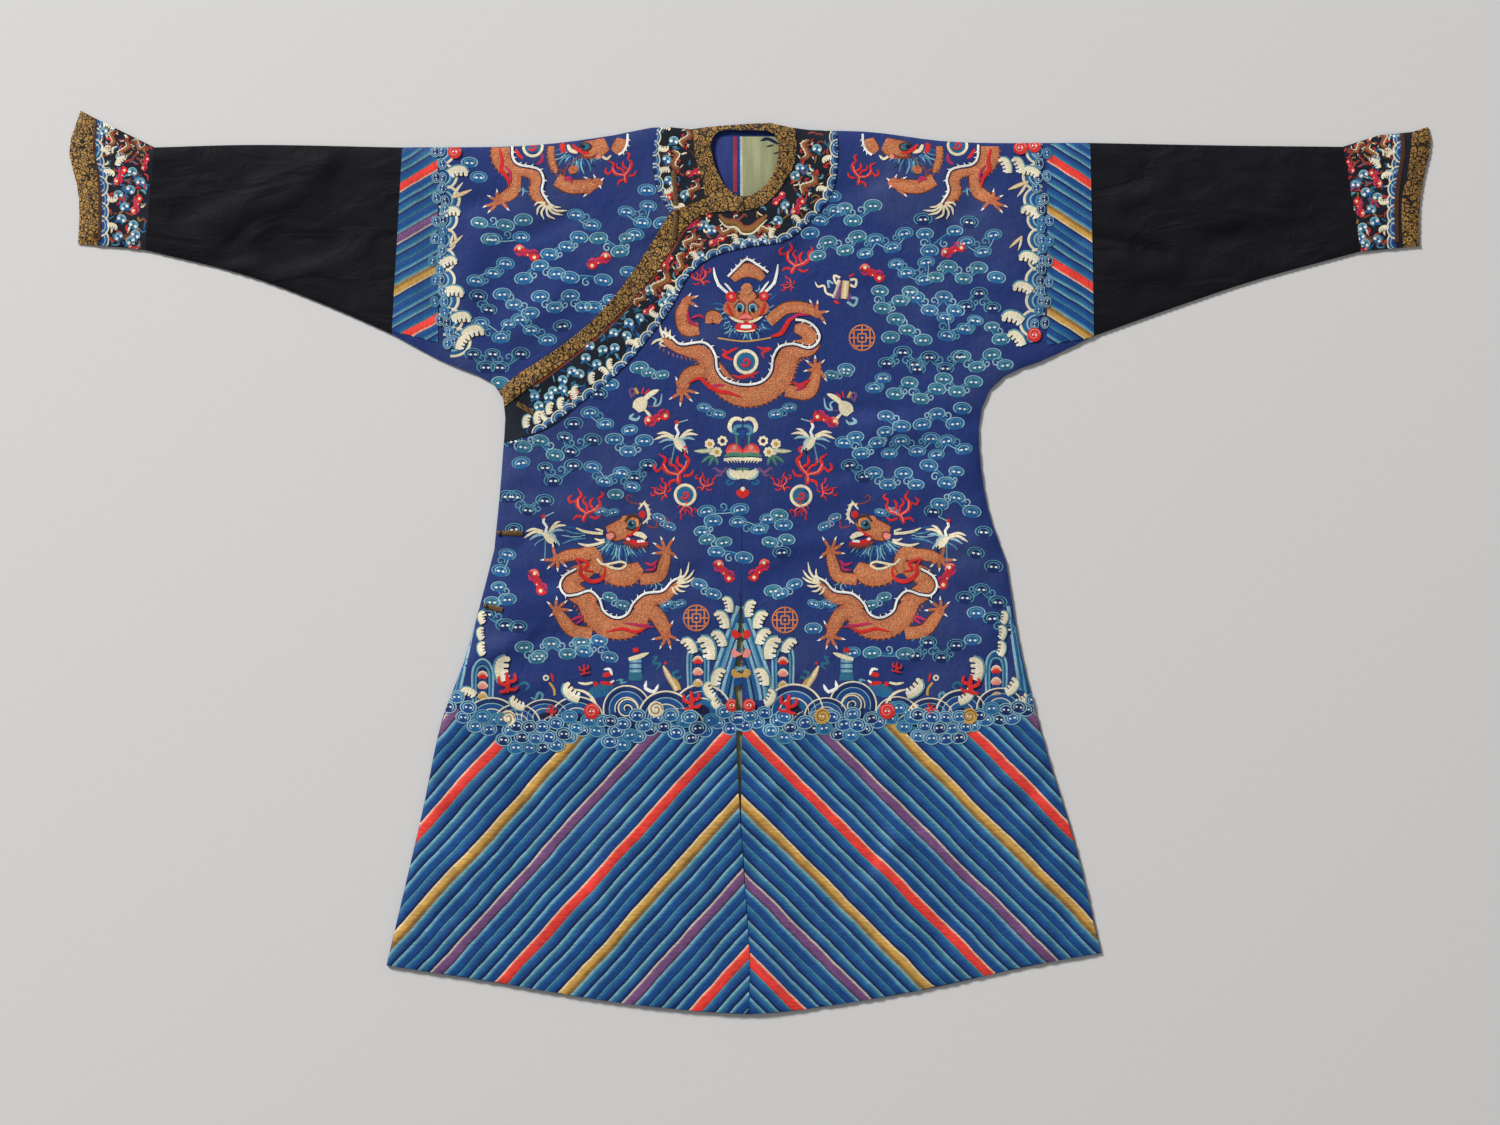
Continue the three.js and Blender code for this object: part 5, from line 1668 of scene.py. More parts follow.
def stripe(motif, starts, heading, inside, reach, tints):
    """A stripe ruled between lines that each run from edge to edge of the cloth."""
    stretches = [inside_stretch(start, heading, inside, reach) for start in starts]
    met = [lane for lane, stretch in enumerate(stretches) if stretch]
    if len(met) < 2:
        return
    count = max(1, round(max(last - first for first, last in filter(None, stretches)) / STRIPE_RUN))
    lanes = len(met) - 1
    outward = (starts[0] - starts[-1]).normalized() * STRIPE_OVERLAP
    made = bmesh.ops.create_grid(motif.bm, x_segments=count, y_segments=lanes, size=1)["verts"]
    for v in made:
        lane = met[round((1 - v.co.y) / 2 * lanes)]
        first, last = stretches[lane]
        run = first + (last - first) * (v.co.x + 1) / 2
        place = starts[lane] + heading * run
        sway = noise.noise((16 * place.x, 16 * place.y, 2.7))
        sway += 0.4 * noise.noise((60 * place.x, 60 * place.y, 8.1))
        place += Vector((-heading.y, heading.x)) * STRIPE_SWAY * sway
        tuck = 0.0
        if lane == 0:
            place += outward
            tuck = STRIPE_TUCK
        dome = 1 - (2 * lane / (len(starts) - 1) - 1) ** 2
        v[motif.tint] = thread(tints[lane])
        v[motif.stitch] = (run, lane * MM, 0)
        v.co = (place.x, place.y, STRIPE_BASE - tuck + RELIEF * (0.3 + 1.3 * dome))


def stripe_rows(motif, spans, place_at, heading, inside, reach):
    """Stripes over numbered spans: a coloured one at the start of each, then the blue ones that follow it."""
    for number, near, far in spans:
        coloured = near + (far - near) * COLOURED_SHARE
        step = (far - coloured) / BLUE_STRIPES
        edges = [(near, coloured, COLOURED[number % 3])]
        for k in range(BLUE_STRIPES):
            edges.append((coloured + k * step, coloured + (k + 1) * step, BLUES[(number + k) % 3]))
        for inner, outer, tints in edges:
            lanes = len(tints) - 1
            starts = [place_at(outer + (inner - outer) * k / lanes) for k in range(lanes + 1)]
            stripe(motif, starts, heading, inside, reach, tints)


def sew_skirt_stripes(skirt, name):
    """The standing water of one half of the skirt: slanting stripes from the curls to the hem."""
    ground = ground_of(skirt.piece)

    def inside(place):
        across = place.x / PIXEL + PHOTO_WIDE / 2
        top = PIXEL * (PHOTO_HIGH / 2 - foot_row(across) + STRIPES_HIDDEN)
        return place.y < top and height_on(ground, place.x, place.y) is not None

    motif = Motif()
    spans = [(k, skirt.first + k * skirt.pitch, skirt.first + (k + 1) * skirt.pitch) for k in range(-5, 6)]
    heading = Vector((skirt.slope, -1)).normalized()
    stripe_rows(motif, spans, lambda across: spot(across, STRIPE_ROW), heading, inside, STRIPE_REACH * PIXEL)
    return settled(motif, ground, name)


class SleeveEnd(NamedTuple):
    """Stripes beside a sleeve: column, first row, pitch, rise, limits, and the colours in turn."""

    name: str
    column: float
    first: float
    pitch: float
    rise: float
    from_column: float
    to_column: float
    low_row: float
    low_slope: float
    colours: tuple


SLEEVE_ENDS = (
    SleeveEnd("right_sleeve_end_stripes", 417, 173, 50.5, 0.57, 385, 438, 337, 0.23, (0, 1, 2, 0)),
    SleeveEnd("left_sleeve_end_stripes", 1070, 167, 51, -0.66, 1047, 1110, 341, -0.14, (0, 2, 0, 2)),
)
# How far a stripe of a sleeve end can run from its column, in columns.
SLEEVE_REACH = 90


def sew_sleeve_end(end, ground):
    """The slanting stripes where the silk meets a black sleeve."""

    def inside(place):
        across = place.x / PIXEL + PHOTO_WIDE / 2
        down = PHOTO_HIGH / 2 - place.y / PIXEL
        lowest = end.low_row + end.low_slope * (across - end.column)
        if down > lowest or not end.from_column < across < end.to_column:
            return False
        return height_on(ground, place.x, place.y) is not None

    motif = Motif()
    spans = [
        (end.colours[k] if 0 <= k < 4 else 2, end.first + k * end.pitch, end.first + (k + 1) * end.pitch)
        for k in range(-1, 5)
    ]
    heading = Vector((1, end.rise)).normalized()
    stripe_rows(motif, spans, lambda down: spot(end.column, down), heading, inside, SLEEVE_REACH * PIXEL)
    return settled(motif, ground, end.name)


CURL_THREADS = (("azure", "mist"), ("blue", "mist"), ("azure", "aqua"), ("deep", "mist"))


def curl_mesh(ground_tint, line_tint):
    """One curl of the waves: a flattened round with two pale rings and two white knots."""
    motif = Motif()
    middle = Vector((0, 0))
    motif.disc(middle, 8.8 * PIXEL, ground_tint, rise=0.1 * MM, sides=14)
    motif.ring(middle, 8.0 * PIXEL, 1.25 * PIXEL, line_tint, base=0.06 * MM, rise=0.12 * MM)
    arc = {"start": -40, "end": 220, "base": 0.1 * MM, "rise": 0.12 * MM}
    motif.ring(middle, 5.4 * PIXEL, 1.3 * PIXEL, line_tint, **arc)
    for side in (-1, 1):
        knot = Vector((side * 2.3 * PIXEL, 0))
        motif.disc(knot, 1.3 * PIXEL, "white", base=0.12 * MM, rise=0.12 * MM, sides=6)
    mesh = motif.mesh()
    mesh.transform(Matrix.Diagonal((1, 0.78, 1, 1)))
    return mesh


def sew_curls(work, seed=7):
    """Rows of curls that end in a wavy foot, the upper ones over the lower."""
    draw = random.Random(seed)
    kinds = [curl_mesh(*tints) for tints in CURL_THREADS]
    count = round((CURL_FOOT[-1].across - CURL_FOOT[0].across) / CURL_PITCH)
    for i in range(count + 1):
        across = CURL_FOOT[0].across + i * CURL_PITCH
        foot = foot_row(across) - 6
        rows = 3 if foot_row(across) > DEEP_FOOT else 2
        for row in range(rows):
            shift = (row % 2) * CURL_PITCH / 2 + draw.uniform(-1, 1)
            centre = spot(across + shift, foot - row * CURL_ROW + draw.uniform(-0.8, 0.8))
            base = CURL_BASE + CURL_STEP * (2 * row + i % 2)
            work.stamp(draw.choice(kinds), centre, draw.uniform(-12, 12), draw.uniform(0.92, 1.08), base=base)


class Hump(NamedTuple):
    """A wave of the border: its middle, its reach in columns, and its height as a share of that."""

    across: float
    down: float
    reach: float
    height: float


HUMPS = (
    Hump(492, 720, 27, 0.85), Hump(545, 717, 24, 0.75), Hump(517, 724, 24, 0.85), Hump(577, 719, 27, 0.85),
    Hump(666, 717, 28, 0.95), Hump(702, 712, 30, 0.95), Hump(560, 728, 20, 0.7), Hump(682, 724, 22, 0.75),
    Hump(794, 712, 30, 0.95), Hump(826, 716, 22, 0.85), Hump(897, 716, 22, 0.9), Hump(930, 718, 24, 0.85),
    Hump(961, 714, 26, 0.95), Hump(1000, 708, 24, 0.85), Hump(916, 726, 20, 0.75), Hump(812, 724, 20, 0.75),
)
HUMP_BANDS = (
    (0.97, 0.055, "cream"), (0.85, 0.20, "deep"), (0.73, 0.035, "mist"), (0.61, 0.20, "blue"),
    (0.49, 0.04, "cream"), (0.37, 0.22, "azure"), (0.14, 0.28, "navy"),
)
BAND_SPREAD = 1.15


def sew_bands(motif, bands, reach, **arc):
    """Rings inside each other, from rows of share, width and thread. Thin ones stand up."""
    for share, wide, tint in bands:
        lip = 0.25 * MM if wide < 0.1 else 0.0
        motif.ring(Vector((0, 0)), share * reach, wide * BAND_SPREAD * reach, tint, base=lip, **arc)


def hump_mesh(bands):
    """A wave as half rings of a unit reach, from its pale edge to its dark heart."""
    motif = Motif()
    sew_bands(motif, bands, 1, start=-8, end=188, rise=0.4 * MM, run=0.14)
    return motif.mesh()


def sew_humps(work):
    mesh = hump_mesh(HUMP_BANDS)
    for order, hump in enumerate(HUMPS):
        copy = mesh.copy()
        reach = hump.reach * PIXEL
        copy.transform(Matrix.Diagonal((reach, reach * hump.height, 1, 1)))
        work.stamp(copy, at=spot(hump.across, hump.down), base=(0.2 + 0.12 * (order % 5)) * MM)


# The reach of a large rolling wave, in columns.
GREAT_REACH = 24


def great_wave(work, centre, mirror):
    """The large rolling wave: bands that wind into a pale whorl."""
    motif = Motif()
    middle = Vector((0, 0))
    reach = GREAT_REACH * PIXEL
    sew_bands(motif, HUMP_BANDS[:5], reach, start=-35, end=195)
    motif.disc(middle, 0.52 * reach, "deep", rise=0.3 * MM, sides=20)
    motif.whorl(middle, 0.50 * reach, 1.5 * PIXEL, "cream", turns=1.75, start=-40, base=0.5 * MM)
    motif.whorl(middle, 0.40 * reach, 2.2 * PIXEL, "azure", turns=1.3, start=-60, base=0.4 * MM)
    work.stamp(motif.mesh(), at=centre, mirror=mirror)


# A claw of foam, 22 columns tall, that leans over to its right.
FOAM_CLAW = (
    Stroke("aqua", 9.4, ((-3, -11), (-4, -2), (-1, 6), (5, 9)), 0, (0.9, 0.5)),
    Stroke("cream cream white", 8, ((-2, -11), (-3, -2), (0, 5.5), (5, 8)), 0.5, (0.9, 0.5)),
    Stroke("cream", 4.6, ((5.5, 6.5),), 1),
    Stroke("cream", 4.2, ((3.5, 1.5),), 1),
    Stroke("cream", 4.0, ((2.2, -3.2),), 1),
    Stroke("white", 3.6, ((2.6, -7.4),), 1),
    Stroke("navy", 1.5, ((5.0, 3.6), (1.6, 4.4)), 1.7, (1, 0.4)),
    Stroke("navy", 1.5, ((4.0, -0.9), (0.4, -0.4)), 1.7, (1, 0.4)),
    Stroke("navy", 1.5, ((3.8, -5.4), (0.0, -5.2)), 1.7, (1, 0.4)),
)


class Place(NamedTuple):
    """Where a motif lies: column, row, turn in degrees, size, and whether it is mirrored."""

    across: float
    down: float
    turn: float = 0
    size: float = 1
    mirror: bool = False


BORDER_FOAM = (
    Place(722, 619, 12, 0.9, True), Place(728, 604, 0, 0.75, True), Place(719, 638, 20, 0.85, True),
    Place(707, 647, 5, 1.15, True), Place(689, 645, 25, 0.85, True), Place(718, 676, -10, 0.9),
    Place(709, 690, 40, 0.8), Place(717, 704, 60, 0.7), Place(750, 608, 0, 0.8), Place(760, 619, -12, 0.9),
    Place(763, 636, -20, 0.85), Place(772, 647, -5, 1.1), Place(789, 645, -25, 0.8),
    Place(762, 676, 10, 0.9, True), Place(503, 668, 12, 1.2), Place(482, 617, 20, 0.6),
    Place(481, 633, 20, 0.6), Place(482, 648, 20, 0.65), Place(468, 692, 60, 0.75, True),
    Place(517, 703, 70, 0.8), Place(571, 692, 60, 1.0), Place(915, 688, -60, 1.0, True),
    Place(912, 711, -60, 0.8, True), Place(966, 696, -60, 0.85, True), Place(1004, 617, -20, 0.6, True),
    Place(1002, 632, -20, 0.65, True), Place(1001, 648, -20, 0.7, True), Place(1012, 686, -50, 0.85, True),
    Place(976, 668, -12, 1.1, True), Place(1022, 700, -70, 0.7, True), Place(770, 697, -40, 0.8, True),
)
BORDER_CORAL = (
    Place(507, 682, 0, 1.25), Place(971, 684, 0, 1.2, True), Place(584, 669, 0, 0.65),
    Place(897, 667, 0, 0.65, True), Place(691, 700, 0, 1.15), Place(789, 704, 0, 1.2, True),
    Place(551, 710, 30, 0.6), Place(931, 708, -30, 0.6, True),
)


def sew_all(work, mesh, places, base=0.0):
    """Stamps copies of one motif at a table of places, each a hair above the one before."""
    for order, place in enumerate(places):
        height = base + 0.05 * MM * (order % 4)
        work.stamp(mesh, spot(place.across, place.down), place.turn, place.size, place.mirror, height)


class Round(NamedTuple):
    """A coiled round of the border: its middle, radius in columns, and its threads."""

    across: float
    down: float
    radius: float
    fill: str
    line: str


ROUNDS = (
    Round(592, 711, 8, "red", "pink"), Round(732, 705, 6.5, "red", "pink"),
    Round(749, 705, 6.5, "red", "pink"), Round(887, 711, 8, "red", "pink"),
    Round(508, 718, 8, "cream", "ochre"), Round(656, 709, 8, "cream", "ochre"),
    Round(822, 716, 8, "gold", "ochre"), Round(969, 716, 8, "gold", "ochre"),
    Round(1020, 148, 7, "red", "pink"), Round(1034, 146, 7, "red", "pink"),
    Round(1034, 335, 7, "red", "pink"), Round(455, 152, 7, "red", "pink"),
)


def sew_rounds(work, base):
    for item in ROUNDS:
        motif = Motif()
        middle = Vector((0, 0))
        radius = item.radius * PIXEL
        motif.disc(middle, radius, item.fill, base=base, sides=16)
        motif.whorl(middle, radius * 0.85, 1.0 * PIXEL, item.line, turns=1.6, base=base + 0.5 * MM)
        for side in (-1, 1):
            knot = Vector((side * 1.6 * PIXEL, 0))
            motif.disc(knot, 0.9 * PIXEL, "white", base=base + 0.7 * MM, sides=6)
        work.stamp(motif.mesh(), spot(item.across, item.down))


class Rock(NamedTuple):
    """A rock column of the border: its column, its peak and foot rows, and half its width."""

    across: float
    peak: float
    foot: float
    half: float


ROCKS = (
    Rock(698, 642, 690, 9.8), Rock(783, 642, 692, 9.8), Rock(483, 659, 702, 9.8), Rock(996, 651, 700, 9.8),
)
ROCK_BANDS = ("mist", "azure", "aqua", "deep", "blue")
ROCK_HEARTS = ((0.42, "red"), (0.66, "pink"), (0.90, "gold"))


def sew_rock(motif, rock):
    """A rock column of nested arches round three domes."""
    for k, tint in enumerate(ROCK_BANDS):
        wide = rock.half - 1.75 * k
        peak = rock.peak + 3.4 * k
        shoulder = peak + 1.1 * wide
        route = spots(
            (rock.across - wide, rock.foot), (rock.across - wide, shoulder), (rock.across, peak),
            (rock.across + wide, shoulder), (rock.across + wide, rock.foot),
        )
        motif.strip(route, 2.0 * PIXEL, tint, base=0.1 * MM * k, rise=0.35 * MM)
    for order, (share, tint) in enumerate(ROCK_HEARTS):
        down = rock.peak + share * (rock.foot - rock.peak)
        row = spots((rock.across - 4.6, down), (rock.across, down - 2.4), (rock.across + 4.6, down))
        dome = {"ends": (0.35, 0.35), "taper": 0.5, "base": 0.7 * MM - 0.1 * MM * order, "run": 2.5 * MM}
        motif.strip(row, 8.6 * PIXEL, "cream", tint, tint, **dome)


PEAK_AXIS = 741
PEAK_BANDS = ("mist", "azure", "aqua", "blue", "mist", "azure", "deep", "aqua", "blue")


def sew_peak(motif):
    """One side of the great rock at the slit: slanting bands that fall from the peak."""
    for k, tint in enumerate(PEAK_BANDS):
        foot = (713 + 2.7 * k, 678 + 2 * k)
        route = spots((738, 606 + 8.6 * k), (728 + 1.1 * k, 634 + 5.4 * k), foot, (710 + 2.9 * k, 700))
        edge = "mist" if tint == "aqua" else tint
        motif.strip(route, 4.2 * PIXEL, edge, tint, tint, base=0.1 * MM * (k % 3), rise=0.35 * MM)
    for down, tint in ((634, "red"), (653, "pink"), (673, "gold")):
        motif.strip(spots((733, down + 3), (738, down - 2)), 10 * PIXEL, tint, ends=(0.5, 0.8), base=0.7 * MM)


def sew_slopes(motif):
    """The banded slopes where the border meets the side seams."""
    for k, tint in enumerate(("mist", "azure", "aqua", "blue")):
        rows = (606 + 11 * k, 642 + 6 * k, 690 + 2 * k)
        left = (478 - 3.4 * k, 470 - 3.2 * k, 460 - 2.6 * k)
        right = (1008 + 3.4 * k, 1013 + 3.2 * k, 1020 + 3 * k)
        for columns in (left, right):
            route = spots(*zip(columns, rows))
            motif.strip(route, 3.6 * PIXEL, tint, base=0.1 * MM * (k % 2), rise=0.35 * MM)


class Head(NamedTuple):
    """A head of a cloud: its place in the cloud and its half width, in columns of the photograph."""

    x: float
    y: float
    radius: float


CLOUDS = (
    (Head(-19, 6, 9.6), Head(-5, -6, 9), Head(11, 5, 9.6), Head(23, -7, 8.6)),
    (Head(-16, -7, 9.8), Head(1, 5, 9), Head(17, -4, 9.6)),
    (Head(-13, 10, 9), Head(-9, -7, 9.6), Head(8, 2, 9), Head(17, 12, 8.4)),
    (Head(-20, -5, 9.6), Head(-7, 8, 9), Head(6, -7, 9), Head(21, 5, 9.6)),
    (Head(-13, -10, 9.6), Head(3, 0, 8.6), Head(14, 11, 9.6)),
    (Head(-10, 9, 9.6), Head(10, -6, 9.6), Head(18, 7, 8)),
)
CLOUD_THREADS = (
    ("mist", "aqua", "teal", "azure"), ("aqua", "mist", "azure", "deep"), ("mist", "aqua", "azure", "blue"),
    ("aqua", "aqua", "deep", "teal"),
)


def cloud_head(motif, place, radius, threads, flat=0.66):
    """A head of a cloud: open rings, flattened, round two pale knots."""
    pale, middle_tint, dark, _ = threads
    fresh = Motif()
    middle = Vector((0, 0))
    fresh.disc(middle, radius, dark, base=0.25 * MM, rise=0.15 * MM)
    for share, tint, start, end in ((0.93, pale, -50, 230), (0.6, middle_tint, -30, 210)):
        arc = {"start": start, "end": end, "base": 0.35 * MM, "rise": 0.3 * MM}
        fresh.ring(middle, radius * share, 1.25 * PIXEL, tint, **arc)
    for side in (-1, 1):
        knot = Vector((side * 2.4, -0.8)) * PIXEL
        fresh.disc(knot, 1.6 * PIXEL, "white", base=0.5 * MM, rise=0.3 * MM, sides=6)
    mesh = fresh.mesh()
    mesh.transform(Matrix.Translation((place.x, place.y, 0)) @ Matrix.Diagonal((1, flat, 1, 1)))
    motif.bm.from_mesh(mesh)


def cloud_motif(heads, threads):
    """A cloud: heads tied by slanting stems that end in a curled tail."""
    pale, middle_tint, dark, core = threads
    motif = Motif()
    places = [Vector((head.x, head.y)) * PIXEL for head in heads]
    for before, after in zip(places, places[1:]):
        way = (after - before).normalized()
        side = Vector((-way.y, way.x)) * 1.5 * PIXEL
        bend = before.lerp(after, 0.5) + side
        motif.strip([before, bend, after], 4.4 * PIXEL, dark, core, dark, rise=0.3 * MM, run=4 * MM)
        edge = [before + side * 1.4, bend + side, after + side * 1.4]
        thin = {"ends": (0.3, 0.3), "base": 0.2 * MM, "rise": 0.25 * MM, "run": 4 * MM}
        motif.strip(edge, 1.0 * PIXEL, middle_tint, **thin)
        curl = bend - side * 3.4
        start = math.degrees(math.atan2(side.y, side.x))
        motif.whorl(curl, 4.6 * PIXEL, 1.5 * PIXEL, pale, turns=1.1, start=start)
    for head, place in zip(heads, places):
        cloud_head(motif, place, head.radius * PIXEL, threads)
    return motif


class Clearing(NamedTuple):
    """A place of the photograph that clouds keep clear of: its middle, and half its width and height."""

    across: float
    down: float
    wide: float
    high: float


CLEARINGS = [
    Clearing(744, 332, 94, 92), Clearing(742, 455, 52, 50), Clearing(628, 570, 76, 76),
    Clearing(869, 570, 76, 76), Clearing(552, 614, 26, 24), Clearing(944, 614, 26, 24),
    Clearing(550, 562, 24, 20), Clearing(948, 562, 24, 20), Clearing(565, 150, 92, 66),
    Clearing(928, 150, 92, 66), Clearing(741, 662, 62, 76), Clearing(862, 338, 26, 25),
    Clearing(842, 288, 30, 28), Clearing(790, 268, 26, 30), Clearing(697, 617, 26, 25),
    Clearing(785, 617, 26, 25), Clearing(643, 400, 32, 26), Clearing(844, 404, 32, 26),
    Clearing(677, 440, 30, 28), Clearing(812, 438, 30, 28), Clearing(547, 535, 28, 28),
    Clearing(945, 540, 28, 28), Clearing(682, 484, 36, 32), Clearing(804, 484, 36, 32),
    Clearing(588, 508, 28, 26), Clearing(900, 508, 28, 26), Clearing(622, 174, 20, 22),
    Clearing(862, 176, 20, 22), Clearing(470, 690, 60, 56), Clearing(1015, 690, 60, 56),
    Clearing(428, 250, 48, 150), Clearing(1050, 240, 54, 150), Clearing(668, 648, 23, 14),
    Clearing(826, 648, 23, 14), Clearing(492, 202, 26, 20), Clearing(987, 203, 24, 18),
    Clearing(550, 214, 18, 14),
]
# Small clouds in the bends of the dragons and beside the great rock: the left half, mirrored.
SMALL_CLOUDS = (
    Place(616, 601, -12, 0.85), Place(673, 604, 20, 0.75), Place(706, 589, -15, 0.95),
    Place(715, 541, 10, 0.95), Place(607, 512, 15, 0.7), Place(664, 522, -20, 0.75),
    Place(655, 374, 10, 0.8), Place(711, 411, -6, 0.85),
)
SMALL_CLOUD = (Head(-8, 3, 9), Head(9, -3, 9))
CLOUD_AXIS = 747
CLOUD_PITCH = 47
CLOUD_ROW = 29
CLOUD_TOP = 128
CLOUD_BOTTOM = 652
CLOUD_LEFT = 420
CLOUD_RIGHT = 1060
CLOUD_EDGE = 7


def sew_clouds(work, ground, cover, clearings, seed=3):
    """Clouds in slack rows over the blue silk. Heads beside the silk or on another motif are left out."""
    draw = random.Random(seed)

    def clear(across, down):
        if any(((across - c.across) / c.wide) ** 2 + ((down - c.down) / c.high) ** 2 < 1 for c in clearings):
            return False
        sides = ((-CLOUD_EDGE, 0), (CLOUD_EDGE, 0), (0, -CLOUD_EDGE * 0.7), (0, CLOUD_EDGE * 0.7))
        if any(height_on(ground, *spot(across + right, down + below)) is None for right, below in sides):
            return False
        return height_on(cover, *spot(across, down)) is None

    for row in range(round((CLOUD_BOTTOM - CLOUD_TOP) / CLOUD_ROW) + 1):
        across = CLOUD_LEFT + (row % 2) * CLOUD_PITCH / 2
        while across < CLOUD_RIGHT:
            column = across + draw.uniform(-4, 4)
            down = CLOUD_TOP + row * CLOUD_ROW + draw.uniform(-3, 3)
            across += CLOUD_PITCH
            flip = draw.choice((-1, 1))
            heads = [Head(flip * head.x, head.y, head.radius) for head in draw.choice(CLOUDS)]
            threads = draw.choice(CLOUD_THREADS)
            kept = [head for head in heads if clear(column + head.x, down - head.y)]
            if kept:
                work.stamp(cloud_motif(kept, threads).mesh(), spot(column, down), draw.uniform(-10, 10))
    for order, place in enumerate(SMALL_CLOUDS):
        mesh = cloud_motif(SMALL_CLOUD, CLOUD_THREADS[order % 3]).mesh()
        for mirror in (False, True):
            across = 2 * CLOUD_AXIS - place.across if mirror else place.across
            turn = -place.turn if mirror else place.turn
            work.stamp(mesh, spot(across, place.down), turn, place.size, mirror)
    return work


BATS = (
    Place(872, 273, -20), Place(527, 253, -15), Place(599, 261, 20, 0.95, True), Place(657, 418, 30),
    Place(826, 419, -30, 1, True), Place(538, 582, -55, 1.05), Place(724, 571, -40),
    Place(759, 570, 40, 1, True), Place(946, 576, 55, 1.05, True), Place(953, 250, 30, 0.95),
)
CRANES = (Place(677, 441), Place(812, 440, 0, 1, True), Place(547, 535, 10), Place(945, 539, -10, 1, True))
GOURDS = (Place(642, 402), Place(844, 406, 0, 1, True))
FRETS = (Place(862, 338), Place(696.5, 618), Place(785, 620))
FLAMES = (
    Place(585, 509, -10, 1.05), Place(902, 511, 10, 1.05, True), Place(675, 471, 15, 1.15),
    Place(704, 484, -20, 0.6), Place(811, 471, -15, 1.15, True), Place(783, 484, 20, 0.6, True),
    Place(662, 492, 40, 0.6), Place(826, 492, -40, 0.6, True), Place(622, 173, 20, 0.9),
    Place(862, 175, -20, 0.9, True), Place(794, 262, -15, 1.0), Place(789, 286, 60, 0.45),
    Place(702, 278, 20, 0.65, True), Place(687, 508, 190, 0.55), Place(800, 509, 170, 0.55, True),
)


# Petals of each flower of the middle group.
PETALS = 7


def sew_small_motifs(work):
    """Bats, cranes, treasures, frets, flames and pearls, and the group in the middle."""
    for strokes, places in ((BAT, BATS), (CRANE, CRANES), (GOURD, GOURDS), (FLAME, FLAMES)):
        sew_all(work, stitched(strokes).mesh(), places, base=0.15 * MM)
    sew_all(work, stitched(BOOKS).mesh(), (Place(842, 290),), base=0.15 * MM)
    fret = stitched(FRET)
    fret.ring(Vector((0, 0)), 12.6 * PIXEL, 1.5 * PIXEL, "orange", base=0.2 * MM)
    sew_all(work, fret.mesh(), FRETS, base=0.15 * MM)
    for across, down, radius in PEARLS:
        work.stamp(pearl(across, down, radius))
    group = stitched(CENTRE_GROUP, enlarged(left=540, top=360, scale=7.127))
    for across, down, heart in FLOWERS:
        for k in range(PETALS):
            angle = 2 * math.pi * k / PETALS
            petal = spot(across, down) + 3.4 * PIXEL * Vector((math.cos(angle), math.sin(angle)))
            group.disc(petal, 1.9 * PIXEL, "cream", base=0.6 * MM, rise=0.2 * MM, sides=8)
        group.disc(spot(across, down), 2.3 * PIXEL, heart, base=0.9 * MM, rise=0.2 * MM, sides=8)
    work.stamp_pair(group.mesh(), CENTRE_AXIS, lift=0.04 * MM)


# The waves along each edge curve and along each cuff, from places in millimetres and on the photograph.
FACING_EDGE = (
    (134, 676), (136, 624), (126, 571), (96, 532), (54, 498), (0, 489), (-56, 474), (-93, 446), (-118, 402),
    (-147, 360), (-200, 298), (-264, 246), (-325, 202),
)
SHOULDER_EDGE = ((-148, 676), (-151, 624), (-141, 570), (-123, 541))
CUFF_EDGE = ((95.5, 124), (93.5, 150), (97.5, 175), (100, 200), (99.5, 240))
EDGE_BANDS = (
    (0.94, 0.14, "cream"), (0.74, 0.20, "azure"), (0.58, 0.10, "mist"), (0.38, 0.26, "blue"),
    (0.14, 0.28, "deep"),
)
EDGE_CLAW = FOAM_CLAW[1:]


def sew_edge_waves(work, edge, side, seed=5, size=8.5, height=0.8, claws=2, pitch=13):
    """Small waves along an edge, with foam on them. The side is 1 where the cloth lies on the edge's left."""
    draw = random.Random(seed)
    wave = hump_mesh(EDGE_BANDS)
    reach = size * PIXEL
    wave.transform(Matrix.Diagonal((reach, reach * height, 1, 1)))
    claw = stitched(EDGE_CLAW).mesh()
    line = flow(edge, pitch * PIXEL)
    for k, here in enumerate(line):
        ahead = (line[min(len(line) - 1, k + 1)] - line[max(0, k - 1)]).normalized()
        inward = Vector((-ahead.y, ahead.x)) * side
        turn = math.degrees(math.atan2(inward.y, inward.x)) - 90
        work.stamp(wave, here + inward * 0.8 * PIXEL, turn, draw.uniform(0.9, 1.1), base=0.1 * MM * (k % 3))
        if k % claws == 0:
            place = here + inward * (height * size + 4.5) * PIXEL
            work.stamp(claw, place, turn + draw.uniform(-15, 15), 0.5, bool(k % 4), base=0.5 * MM)


